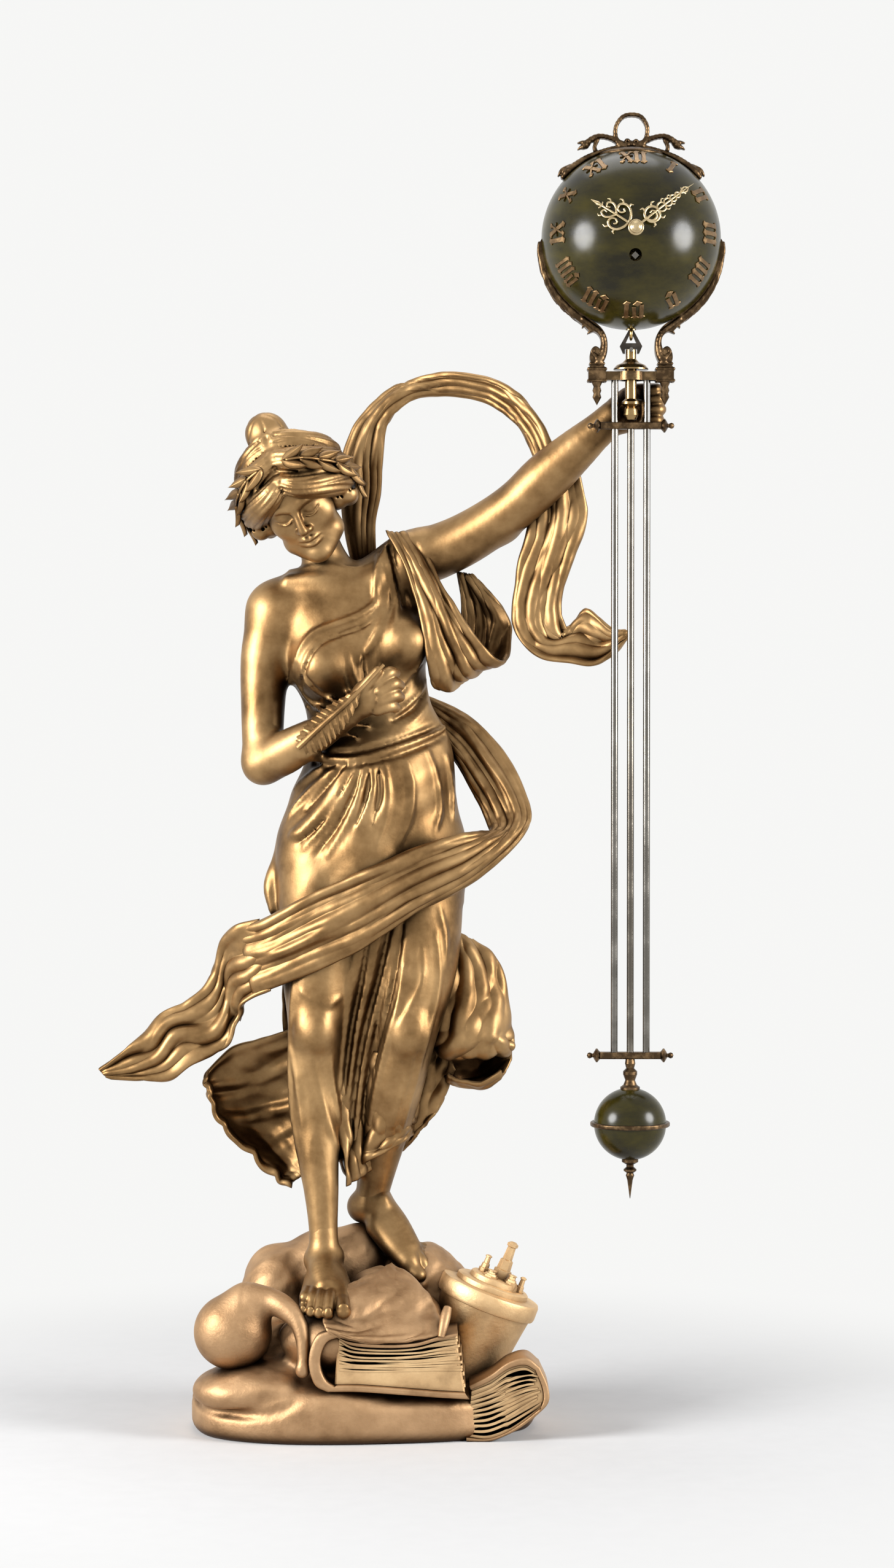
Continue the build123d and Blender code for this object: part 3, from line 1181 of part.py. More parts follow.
SPRING_OUTER = BARREL_BORE - MAINSPRING_STRIP / 2 - FIT_CLEARANCE
SPRING_HEIGHT = BARREL_DEPTH - BARREL_WALL - 2 * RUNNING_CLEARANCE
SPRING_HALF_TURNS = 2 * int((SPRING_OUTER - WINDING_ARBOR_RADIUS - MAINSPRING_PITCH) / MAINSPRING_PITCH)
with BuildPart() as mainspring:
    with BuildSketch(dial_plane(WINDING_PLACE, BARREL_BACK + BARREL_WALL + RUNNING_CLEARANCE)):
        with BuildLine():
            reach = SPRING_OUTER
            start = (reach, 0)
            for half_turn in range(SPRING_HALF_TURNS):
                side = 1 if half_turn % 2 == 0 else -1
                radius = reach - MAINSPRING_PITCH / 4
                end = (start[0] - 2 * side * radius, 0)
                ThreePointArc(start, ((start[0] + end[0]) / 2, side * radius), end)
                start = end
                reach -= MAINSPRING_PITCH / 2
        trace(line_width=MAINSPRING_STRIP)
    extrude(amount=SPRING_HEIGHT)
finish(mainspring.part, "mainspring")

SQUARE_BACK = CANNON_DEPTH + 6.0
SQUARE_FRONT = sqrt(GLOBE_RADIUS**2 - WINDING_DROP**2) - 3.0
with BuildPart() as winding_arbor:
    add(rod_forward(WINDING_PLACE, ARBOR_BACK, SQUARE_BACK - ARBOR_BACK, WINDING_ARBOR_RADIUS))
    with BuildSketch(dial_plane(WINDING_PLACE, SQUARE_BACK)):
        Rectangle(WINDING_SQUARE, WINDING_SQUARE, rotation=45)
    extrude(amount=SQUARE_FRONT - SQUARE_BACK)
finish(winding_arbor.part, "winding_arbor")

# Going train

MINUTE_HAND_RADIUS = GLOBE_RADIUS + MINUTE_HAND_LIFT
HOUR_HAND_RADIUS = GLOBE_RADIUS + HOUR_HAND_LIFT
with BuildPart() as centre_wheel:
    add(rod_forward(CENTRE_PLACE, ARBOR_BACK, MINUTE_HAND_RADIUS + HAND_THICKNESS - ARBOR_BACK,
                    CENTRE_ARBOR_RADIUS))
    add(pinion(CENTRE_PLACE, PINION_LEAVES, BARREL_MODULE, BARREL_TEETH_DEPTH, WINDING_PLACE))
    add(wheel(CENTRE_PLACE, CENTRE_TEETH, CENTRE_MODULE, CENTRE_WHEEL_DEPTH, THIRD_PLACE))
    add(pinion(CENTRE_PLACE, CANNON_LEAVES, CENTRE_MODULE, CANNON_DEPTH + PINION_LEAD, MOTION_PLACE))
finish(centre_wheel.part, "centre_wheel")

with BuildPart() as third_wheel:
    add(rod_forward(THIRD_PLACE, ARBOR_BACK, ARBOR_SPAN, ARBOR_RADIUS))
    add(pinion(THIRD_PLACE, PINION_LEAVES, CENTRE_MODULE, CENTRE_WHEEL_DEPTH, CENTRE_PLACE))
    add(wheel(THIRD_PLACE, THIRD_TEETH, THIRD_MODULE, THIRD_WHEEL_DEPTH, ESCAPE_PLACE))
finish(third_wheel.part, "third_wheel")

ESCAPE_ROOT = ESCAPE_RADIUS - 1.4
with BuildPart() as escape_wheel:
    add(rod_forward(ESCAPE_PLACE, ARBOR_BACK, ARBOR_SPAN, ARBOR_RADIUS))
    add(pinion(ESCAPE_PLACE, PINION_LEAVES, THIRD_MODULE, THIRD_WHEEL_DEPTH, THIRD_PLACE))
    saw = []
    for tooth in range(ESCAPE_TEETH):
        tip = radians(360 * tooth / ESCAPE_TEETH)
        root = radians(360 * (tooth + 0.25) / ESCAPE_TEETH)
        saw.append((ESCAPE_RADIUS * cos(tip), ESCAPE_RADIUS * sin(tip)))
        saw.append((ESCAPE_ROOT * cos(root), ESCAPE_ROOT * sin(root)))
    add(wheel_blank(ESCAPE_PLACE, ESCAPE_WHEEL_DEPTH, WHEEL_THICKNESS, saw))
finish(escape_wheel.part, "escape_wheel")

# Anchor over the escape wheel, and the small pendulum behind the back plate

INNER_PENDULUM_DEPTH = BACK_PLATE_DEPTH - 6.0
INNER_BOB_THICKNESS = 5.0
with BuildPart() as pallet_anchor:
    add(rod_forward(ANCHOR_PLACE, INNER_PENDULUM_DEPTH, ARBOR_BACK + ARBOR_SPAN - INNER_PENDULUM_DEPTH,
                    ARBOR_RADIUS))
    add(wheel_blank(ANCHOR_PLACE, ESCAPE_WHEEL_DEPTH - 0.5, WHEEL_THICKNESS + 1.0, (
        (-7.7, -5.0), (-6.55, -6.05), (-5.6, -4.4), (-4.4, -1.9), (-2.0, -1.6), (2.0, -1.6), (4.4, -1.9),
        (5.6, -4.4), (6.55, -6.05), (7.7, -5.0), (6.6, -0.8), (2.4, 2.2), (-2.4, 2.2), (-6.6, -0.8))))
finish(pallet_anchor.part, "pallet_anchor")

with BuildPart() as inner_pendulum:
    hanger = dial_plane(ANCHOR_PLACE, INNER_PENDULUM_DEPTH)
    with BuildSketch(hanger):
        Circle(2.6)
        with Locations((0, -INNER_PENDULUM_LENGTH / 2)):
            Rectangle(2.0, INNER_PENDULUM_LENGTH)
        Circle(ARBOR_RADIUS, mode=Mode.SUBTRACT)
    extrude(amount=WHEEL_THICKNESS)
    with BuildSketch(hanger.offset((WHEEL_THICKNESS - INNER_BOB_THICKNESS) / 2)):
        with Locations((0, -INNER_PENDULUM_LENGTH)):
            Circle(INNER_BOB_RADIUS)
    extrude(amount=INNER_BOB_THICKNESS)
finish(inner_pendulum.part, "inner_pendulum")

# Motion work and hands

with BuildPart() as motion_wheel:
    add(rod_forward(MOTION_PLACE, FRONT_PLATE_DEPTH, HOUR_WHEEL_DEPTH + PINION_LENGTH - FRONT_PLATE_DEPTH,
                    ARBOR_RADIUS))
    add(wheel(MOTION_PLACE, MINUTE_TEETH, CENTRE_MODULE, CANNON_DEPTH + PINION_LEAD, CENTRE_PLACE))
    add(pinion(MOTION_PLACE, PINION_LEAVES, CENTRE_MODULE, HOUR_WHEEL_DEPTH, CENTRE_PLACE))
finish(motion_wheel.part, "motion_wheel")

with BuildPart() as hour_wheel:
    add(wheel(CENTRE_PLACE, HOUR_TEETH, CENTRE_MODULE, HOUR_WHEEL_DEPTH, MOTION_PLACE))
    add(rod_forward(CENTRE_PLACE, HOUR_WHEEL_DEPTH, HOUR_HAND_RADIUS + HAND_THICKNESS - HOUR_WHEEL_DEPTH,
                    HOUR_PIPE_RADIUS))
    add(rod_forward(CENTRE_PLACE, HOUR_WHEEL_DEPTH, GLOBE_RADIUS, HOUR_PIPE_BORE), mode=Mode.SUBTRACT)
finish(hour_wheel.part, "hour_wheel")

# Ring pairs along each hand: distance from the hub, sideways shift, outer radius and band
HOUR_RINGS = ((13.5, 6.2, 5.0, 1.7), (13.5, -6.2, 5.0, 1.7), (20.5, 0, 4.8, 1.6))
MINUTE_RINGS = ((13.0, 0, 5.4, 1.6), (20.5, 0, 3.4, 1.3), (25.8, 0, 2.8, 1.2), (30.2, 0, 2.3, 1.1),
                (34.0, 0, 1.9, 1.0))


def curved_hand(angle, length, rings, radius, bore):
    """Pierced hand bent to the globe: hub, tapered stem, rings and a barbed point."""
    turn = radians(angle)
    along_hand = Plane(origin=GLOBE_CENTRE, x_dir=(cos(turn), 0, -sin(turn)), z_dir=(0, -1, 0))
    with BuildPart() as piece:
        with BuildSketch(along_hand):
            Circle(HAND_HUB_RADIUS)
            with BuildLine():
                Polyline((-1.3, 0), (1.3, 0), (0.9, length * 0.7), (0.3, length), (-0.3, length),
                         (-0.9, length * 0.7), close=True)
            make_face()
            for along, sideways, outer, _ in rings:
                with Locations((sideways, along)):
                    Circle(outer)
            for along, sideways, outer, band in rings:
                with Locations((sideways, along)):
                    Circle(outer - band, mode=Mode.SUBTRACT)
            with Locations((0, length * 0.8)):
                Rectangle(4.4, 1.4)
            with BuildLine():
                Polyline((-1.0, HAND_HUB_RADIUS - 1), (1.0, HAND_HUB_RADIUS - 1), (0.8, length * 0.75),
                         (-0.8, length * 0.75), close=True)
            make_face()
            Circle(bore, mode=Mode.SUBTRACT)
        extrude(amount=radius + 2 * HAND_THICKNESS)
        with Locations(GLOBE_CENTRE):
            Sphere(radius + HAND_THICKNESS, mode=Mode.INTERSECT)
            Sphere(radius, mode=Mode.SUBTRACT)
    return piece.part


hour_hand = curved_hand(HOUR_HAND_ANGLE, HOUR_HAND_LENGTH, HOUR_RINGS, HOUR_HAND_RADIUS, HOUR_PIPE_RADIUS)
finish(hour_hand, "hour_hand")
minute_hand = curved_hand(MINUTE_HAND_ANGLE, MINUTE_HAND_LENGTH, MINUTE_RINGS, MINUTE_HAND_RADIUS,
                          CENTRE_ARBOR_RADIUS)
finish(minute_hand, "minute_hand")

with BuildPart() as hand_nut:
    with BuildSketch(DIAL.offset(MINUTE_HAND_RADIUS + HAND_THICKNESS)):
        Circle(HAND_HUB_RADIUS - 0.4)
    extrude(amount=HAND_NUT_HEIGHT)
    fillet(hand_nut.edges().group_by(Axis.Y)[0], HAND_NUT_HEIGHT / 2)
finish(hand_nut.part, "hand_nut")
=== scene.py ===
import json
from math import cos, pi, radians, sin

import bpy
import numpy as np
from mathutils import Matrix, Vector


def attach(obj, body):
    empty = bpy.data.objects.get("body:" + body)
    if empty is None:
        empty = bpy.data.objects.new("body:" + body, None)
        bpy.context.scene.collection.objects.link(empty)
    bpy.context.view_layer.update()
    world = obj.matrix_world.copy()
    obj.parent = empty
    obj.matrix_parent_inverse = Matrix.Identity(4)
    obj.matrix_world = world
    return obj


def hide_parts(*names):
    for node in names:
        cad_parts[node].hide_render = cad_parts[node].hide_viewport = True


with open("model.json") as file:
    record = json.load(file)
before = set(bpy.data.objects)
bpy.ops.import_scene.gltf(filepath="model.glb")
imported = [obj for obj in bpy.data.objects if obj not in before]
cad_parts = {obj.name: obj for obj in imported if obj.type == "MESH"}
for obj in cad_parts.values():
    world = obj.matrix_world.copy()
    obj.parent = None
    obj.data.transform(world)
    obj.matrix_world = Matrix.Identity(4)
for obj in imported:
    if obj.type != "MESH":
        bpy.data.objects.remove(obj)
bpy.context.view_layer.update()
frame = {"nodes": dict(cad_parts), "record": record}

NODES = frame["nodes"]
MM = 0.001

# The figure's points were read on a plane through the middle of the base, seen from the photo's station.
EYE = np.array((51.0, -2373.0, 479.0))
# Middle and radius of the ball, and the pin it swings on.
BALL = np.array((170.0, -60.0, 780.0))
BALL_RADIUS = 58.0
PIVOT = np.array((170.0, -60.0, 709.0))


def seen(x, z, y):
    """Point at depth y on the sight line through x, z of the middle plane, in millimetres."""
    k = (y - EYE[1]) / -EYE[1]
    return (EYE[0] + (x - EYE[0]) * k, y, EYE[2] + (z - EYE[2]) * k)


def sighted(readings):
    """Points from readings of (x, z, y)."""
    return [seen(*reading) for reading in readings]


# Materials


def node_maker(tree):
    """Function that adds a node to a tree and sets its values."""
    def node(kind, **values):
        made = tree.nodes.new(kind)
        for key, value in values.items():
            setattr(made, key, value)
        return made

    return node


def new_material(name):
    """Material with a bare principled shader: itself, its tree, the shader and the tree's node maker."""
    material = bpy.data.materials.new(name)
    material.use_nodes = True
    tree = material.node_tree
    return material, tree, tree.nodes["Principled BSDF"], node_maker(tree)


def ramp(node, tree, source, stops):
    """Colour ramp fed by a socket; stops are (position, colour)."""
    made = node("ShaderNodeValToRGB")
    while len(made.color_ramp.elements) < len(stops):
        made.color_ramp.elements.new(0.5)
    for element, (position, colour) in zip(made.color_ramp.elements, stops):
        element.position = position
        element.color = (*colour, 1.0)
    tree.links.new(source, made.inputs["Fac"])
    return made.outputs["Color"]


def noise(node, tree, coords, scale, detail=4.0, roughness=0.55, stretch=None):
    """Noise texture in object space; scale is per metre, stretch scales each axis first."""
    made = node("ShaderNodeTexNoise")
    made.inputs["Scale"].default_value = scale
    made.inputs["Detail"].default_value = detail
    made.inputs["Roughness"].default_value = roughness
    source = coords
    if stretch:
        mapping = node("ShaderNodeMapping")
        mapping.inputs["Scale"].default_value = stretch
        tree.links.new(coords, mapping.inputs["Vector"])
        source = mapping.outputs["Vector"]
    tree.links.new(source, made.inputs["Vector"])
    return made.outputs["Fac"]


def mix(node, tree, factor, first, second):
    """Mix of two colours or colour sockets by a factor socket."""
    made = node("ShaderNodeMix", data_type="RGBA")
    colours = [socket for socket in made.inputs if socket.type == "RGBA"]
    for value, socket in ((factor, made.inputs[0]), (first, colours[0]), (second, colours[1])):
        if isinstance(value, bpy.types.NodeSocket):
            tree.links.new(value, socket)
        else:
            socket.default_value = (*value, 1.0)
    return [socket for socket in made.outputs if socket.type == "RGBA"][0]


GRAIN_DEPTH = 0.0004
# Painted shade: share of the dark colour mixed in, by how open a point is to its surroundings
PAINTED_SHADE_RAMP = ((0.28, 1.0), (0.58, 0.42), (0.92, 0.0))


def metal(name, painted_shade_colour, mid, bright, shade=None, rough=(0.3, 0.5), grain=900.0, bump=0.15, reach=0.03,
          mottling=26.0):
    """Cast metal: mottled colour, painted shade darkening it where other walls lie within reach, and fine
    grain.
    """
    material, tree, shader, node = new_material(name)
    coords = node("ShaderNodeTexCoord").outputs["Object"]
    blotch = noise(node, tree, coords, mottling, 5.0, 0.6)
    colour = ramp(node, tree, blotch, ((0.30, shade or mid), (0.46, mid), (0.68, bright)))
    # Painted shade: the colour turns dark where other surfaces lie within reach
    if reach:
        occlusion = node("ShaderNodeAmbientOcclusion", samples=8)
        occlusion.inputs["Distance"].default_value = reach
        painted_shade = ramp(node, tree, occlusion.outputs["AO"], [(stop, (level,) * 3) for stop, level in PAINTED_SHADE_RAMP])
        colour = mix(node, tree, painted_shade, colour, painted_shade_colour)
    tree.links.new(colour, shader.inputs["Base Color"])
    fine = noise(node, tree, coords, grain, 3.0, 0.6)
    rough_ramp = ramp(node, tree, blotch, ((0.3, (rough[0],) * 3), (0.7, (rough[1],) * 3)))
    tree.links.new(rough_ramp, shader.inputs["Roughness"])
    shader.inputs["Metallic"].default_value = 1.0
    relief = node("ShaderNodeBump")
    relief.inputs["Strength"].default_value = bump
    relief.inputs["Distance"].default_value = GRAIN_DEPTH
    tree.links.new(fine, relief.inputs["Height"])
    tree.links.new(relief.outputs["Normal"], shader.inputs["Normal"])
    return material


# The first colour of each metal is the painted shade laid into its recesses
GILT = metal("gilt_bronze", (0.020, 0.009, 0.0035), (0.265, 0.154, 0.064), (0.430, 0.270, 0.122),
             (0.130, 0.070, 0.027), rough=(0.38, 0.48), grain=700.0, bump=0.12, reach=0.055)
BROWN = metal("brown_bronze", (0.070, 0.036, 0.017), (0.400, 0.246, 0.128), (0.500, 0.322, 0.176),
              (0.270, 0.158, 0.078), rough=(0.48, 0.60), grain=420.0, bump=0.5, mottling=34.0, reach=0.018)
# Paler copy of the brown bronze with less painted shade: painted light on the drum and the books
PAINTED_LIGHT_BRONZE = metal("painted_light_bronze", (0.150, 0.086, 0.040), (0.640, 0.430, 0.225), (0.760, 0.545, 0.300),
             (0.440, 0.285, 0.145), rough=(0.46, 0.58), grain=420.0, bump=0.5, mottling=34.0, reach=0.010)
AGED = metal("aged_brass", (0.008, 0.005, 0.003), (0.070, 0.043, 0.022), (0.210, 0.132, 0.066),
             rough=(0.28, 0.44), grain=1200.0, bump=0.22, mottling=190.0, reach=0.006)
BRASS = metal("polished_brass", (0.13, 0.068, 0.018), (0.60, 0.41, 0.155), (0.70, 0.51, 0.23),
              rough=(0.13, 0.22), grain=1500.0, bump=0.05, mottling=90.0, reach=0.006)
PALE_BRASS = metal("pale_brass", (0.14, 0.088, 0.036), (0.52, 0.40, 0.225), (0.66, 0.53, 0.32),
    rough=(0.22, 0.34), grain=2200.0, bump=0.10, mottling=200.0, reach=0.003)
COPPER = metal("copper_gold", (0.05, 0.028, 0.013), (0.185, 0.113, 0.054), (0.320, 0.205, 0.102),
               rough=(0.28, 0.44), grain=1800.0, bump=0.12, mottling=150.0, reach=0.003)
STEEL = metal("bright_steel", (0.10, 0.093, 0.082), (0.155, 0.144, 0.127), (0.235, 0.220, 0.197),
              rough=(0.14, 0.22), grain=2600.0, bump=0.04, reach=0.0, mottling=60.0)
DARK_STEEL = metal("blued_steel", (0.012, 0.011, 0.010), (0.050, 0.043, 0.036), (0.085, 0.073, 0.060),
                   rough=(0.22, 0.34), grain=2000.0, bump=0.06, mottling=120.0, reach=0.006)
LEAD = metal("lead_fill", (0.05, 0.05, 0.06), (0.16, 0.16, 0.18), (0.22, 0.22, 0.25), rough=(0.5, 0.62),
             grain=700.0)


def lacquer(name, deep, light):
    """Glossy olive lacquer with cloudy depth and faint rubs."""
    material, tree, shader, node = new_material(name)
    coords = node("ShaderNodeTexCoord").outputs["Object"]
    cloud = noise(node, tree, coords, 30.0, 5.0, 0.62, (1.0, 1.0, 1.9))
    colour = ramp(node, tree, cloud, ((0.34, deep), (0.70, light)))
    tree.links.new(colour, shader.inputs["Base Color"])
    rub = noise(node, tree, coords, 140.0, 6.0, 0.7)
    gloss = ramp(node, tree, rub, ((0.35, (0.19,) * 3), (0.75, (0.27,) * 3)))
    tree.links.new(gloss, shader.inputs["Roughness"])
    shader.inputs["Specular IOR Level"].default_value = 0.30
    return material


GREEN = lacquer("green_lacquer", (0.0090, 0.0072, 0.0004), (0.0440, 0.0350, 0.0022))


def two_tone(name, lower, upper, height):
    """Aged metal below a height in metres, polished metal above it."""
    material = metal(name, *lower, rough=(0.24, 0.36), grain=1200.0, bump=0.12, reach=0.006, mottling=150.0)
    tree = material.node_tree
    node = node_maker(tree)
    base = tree.nodes["Principled BSDF"].inputs["Base Color"]
    spot = node("ShaderNodeSeparateXYZ")
    tree.links.new(tree.nodes["Texture Coordinate"].outputs["Object"], spot.inputs[0])
    above = node("ShaderNodeMath", operation="GREATER_THAN")
    above.inputs[1].default_value = height
    tree.links.new(spot.outputs["Z"], above.inputs[0])
    tree.links.new(mix(node, tree, above.outputs["Value"], base.links[0].from_socket, upper), base)
    return material


CROSSHEAD_SHELF = 0.6952
CROSSHEAD = two_tone("crosshead_metal", ((0.012, 0.008, 0.004), (0.105, 0.066, 0.032), (0.290, 0.185, 0.088)),
    (0.52, 0.35, 0.13), CROSSHEAD_SHELF)
POST_BRASS = metal("post_brass", (0.045, 0.025, 0.009), (0.270, 0.172, 0.072), (0.420, 0.285, 0.135),
    rough=(0.18, 0.28), grain=1500.0, bump=0.05, mottling=70.0, reach=0.01)
DARK_ROD = metal("dark_rod", (0.05, 0.04, 0.03), (0.13, 0.115, 0.095), (0.20, 0.18, 0.15), rough=(0.16, 0.26),
    grain=2600.0, bump=0.04, reach=0.0, mottling=60.0)

# Meshes


def add_mesh(name, verts, faces, material, body="statue", smooth=True, normals=None, replaces=()):
    """Mesh object from millimetre points, riding on a body and standing for the CAD nodes it replaces."""
    mesh = bpy.data.meshes.new(name)
    verts = np.asarray(verts, dtype=np.float64) * MM
    if isinstance(faces, np.ndarray) and faces.ndim == 2:
        mesh.vertices.add(len(verts))
        mesh.vertices.foreach_set("co", verts.astype(np.float32).ravel())
        sides = faces.shape[1]
        mesh.loops.add(faces.size)
        mesh.loops.foreach_set("vertex_index", faces.astype(np.int32).ravel())
        mesh.polygons.add(len(faces))
        mesh.polygons.foreach_set("loop_start", np.arange(len(faces), dtype=np.int32) * sides)
        mesh.update(calc_edges=True)
    else:
        mesh.from_pydata([tuple(v) for v in verts], [], [tuple(int(i) for i in f) for f in faces])
    mesh.validate()
    mesh.polygons.foreach_set("use_smooth", np.full(len(mesh.polygons), smooth))
    if normals is not None:
        mesh.normals_split_custom_set_from_vertices([tuple(n) for n in normals])
    mesh.materials.append(material)
    piece = bpy.data.objects.new(name, mesh)
    bpy.context.scene.collection.objects.link(piece)
    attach(piece, body)
    if replaces:
        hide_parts(*replaces)
    return piece


def spline(points, count):
    """Even samples of a Catmull-Rom curve through rows of numbers."""
    p = np.asarray(points, dtype=float)
    if len(p) == 2:
        t = np.linspace(0, 1, count)[:, None]
        return p[0] * (1 - t) + p[1] * t
    ends = np.vstack((2 * p[0] - p[1], p, 2 * p[-1] - p[-2]))
    t = np.linspace(0, len(p) - 1, count)
    i = np.minimum(t.astype(int), len(p) - 2)
    f = (t - i)[:, None]
    a, b, c, d = ends[i], ends[i + 1], ends[i + 2], ends[i + 3]
    return 0.5 * (2 * b + (c - a) * f + (2 * a - 5 * b + 4 * c - d) * f**2 + (3 * b - a - 3 * c + d) * f**3)


def unit(v):
    """Vectors scaled to length one."""
    v = np.asarray(v, dtype=float)
    return v / np.maximum(np.linalg.norm(v, axis=-1, keepdims=True), 1e-9)


def grid_faces(rows, columns, wrap_columns=False):
    """Quads of a grid of points, rows by columns."""
    last = columns if wrap_columns else columns - 1
    r, c = np.meshgrid(np.arange(rows - 1), np.arange(last), indexing="ij")
    n = (c + 1) % columns
    quads = np.stack((r * columns + c, r * columns + n, (r + 1) * columns + n, (r + 1) * columns + c), -1)
    return quads.reshape(-1, 4)


def vertex_normals(verts, faces):
    """Area-weighted normals of a quad mesh."""
    a, b, c, d = (verts[faces[:, i]] for i in range(4))
    flat = np.cross(c - a, d - b)
    out = np.zeros_like(verts)
    for i in range(4):
        np.add.at(out, faces[:, i], flat)
    return unit(out)


def lathe(profile, centre, axis, segments):
    """Turned form: (radius, height) profile about an axis through centre."""
    p = np.asarray(profile, dtype=float)
    axis = unit(axis)
    side = unit(np.cross(axis, (0.0, 1.0, 0.0) if abs(axis[1]) < 0.9 else (1.0, 0.0, 0.0)))
    other = np.cross(axis, side)
    turn = np.linspace(0, 2 * pi, segments, endpoint=False)
    ring = np.cos(turn)[:, None] * side + np.sin(turn)[:, None] * other
    verts = np.asarray(centre) + p[:, 1][:, None, None] * axis + p[:, 0][:, None, None] * ring[None]
    return verts.reshape(-1, 3), grid_faces(len(p), segments, True)


def tube(points, radii, count, sides, flat=1.0):
    """Tube with closed ends along a smooth path; flat squeezes it from front to back."""
    path = spline(points, count)
    r = spline(np.asarray(radii, dtype=float)[:, None], count)[:, 0]
    run = unit(np.gradient(path, axis=0))
    across = unit(np.cross(run, (0.0, -1.0, 0.0)))
    lift = np.cross(across, run)
    turn = np.linspace(0, 2 * pi, sides, endpoint=False)[None, :, None]
    ring = np.cos(turn) * across[:, None] + flat * np.sin(turn) * lift[:, None]
    verts = (path[:, None] + r[:, None, None] * ring).reshape(-1, 3)
    faces = [tuple(f) for f in grid_faces(count, sides, True)]
    faces.append(tuple(range(sides))[::-1])
    faces.append(tuple((count - 1) * sides + i for i in range(sides)))
    return verts, faces


def two_sided(rows, columns):
    """Faces of two grids of points, the second numbered on from the first, and of the rim between them."""
    size = rows * columns
    faces = grid_faces(rows, columns)
    ring = np.concatenate((np.arange(columns - 1), np.arange(columns - 1, size - 1, columns),
                           np.arange(size - 1, size - columns, -1), np.arange(size - columns, 0, -columns)))
    after = np.roll(ring, -1)
    return np.vstack((faces, faces[:, ::-1] + size, np.stack((ring, ring + size, after + size, after), 1)))


def join(parts):
    """Several (verts, faces) as one."""
    verts, faces, start = [], [], 0
    for v, f in parts:
        verts.append(np.asarray(v))
        faces.extend(tuple(int(i) + start for i in face) for face in f)
        start += len(v)
    return np.vstack(verts), faces


# Sculpting on a distance grid


FAR = 14.0
SIDE_MARGIN, END_MARGIN = 12, 14
SMOOTHING = (0.5, -0.45, 0.5, -0.45)


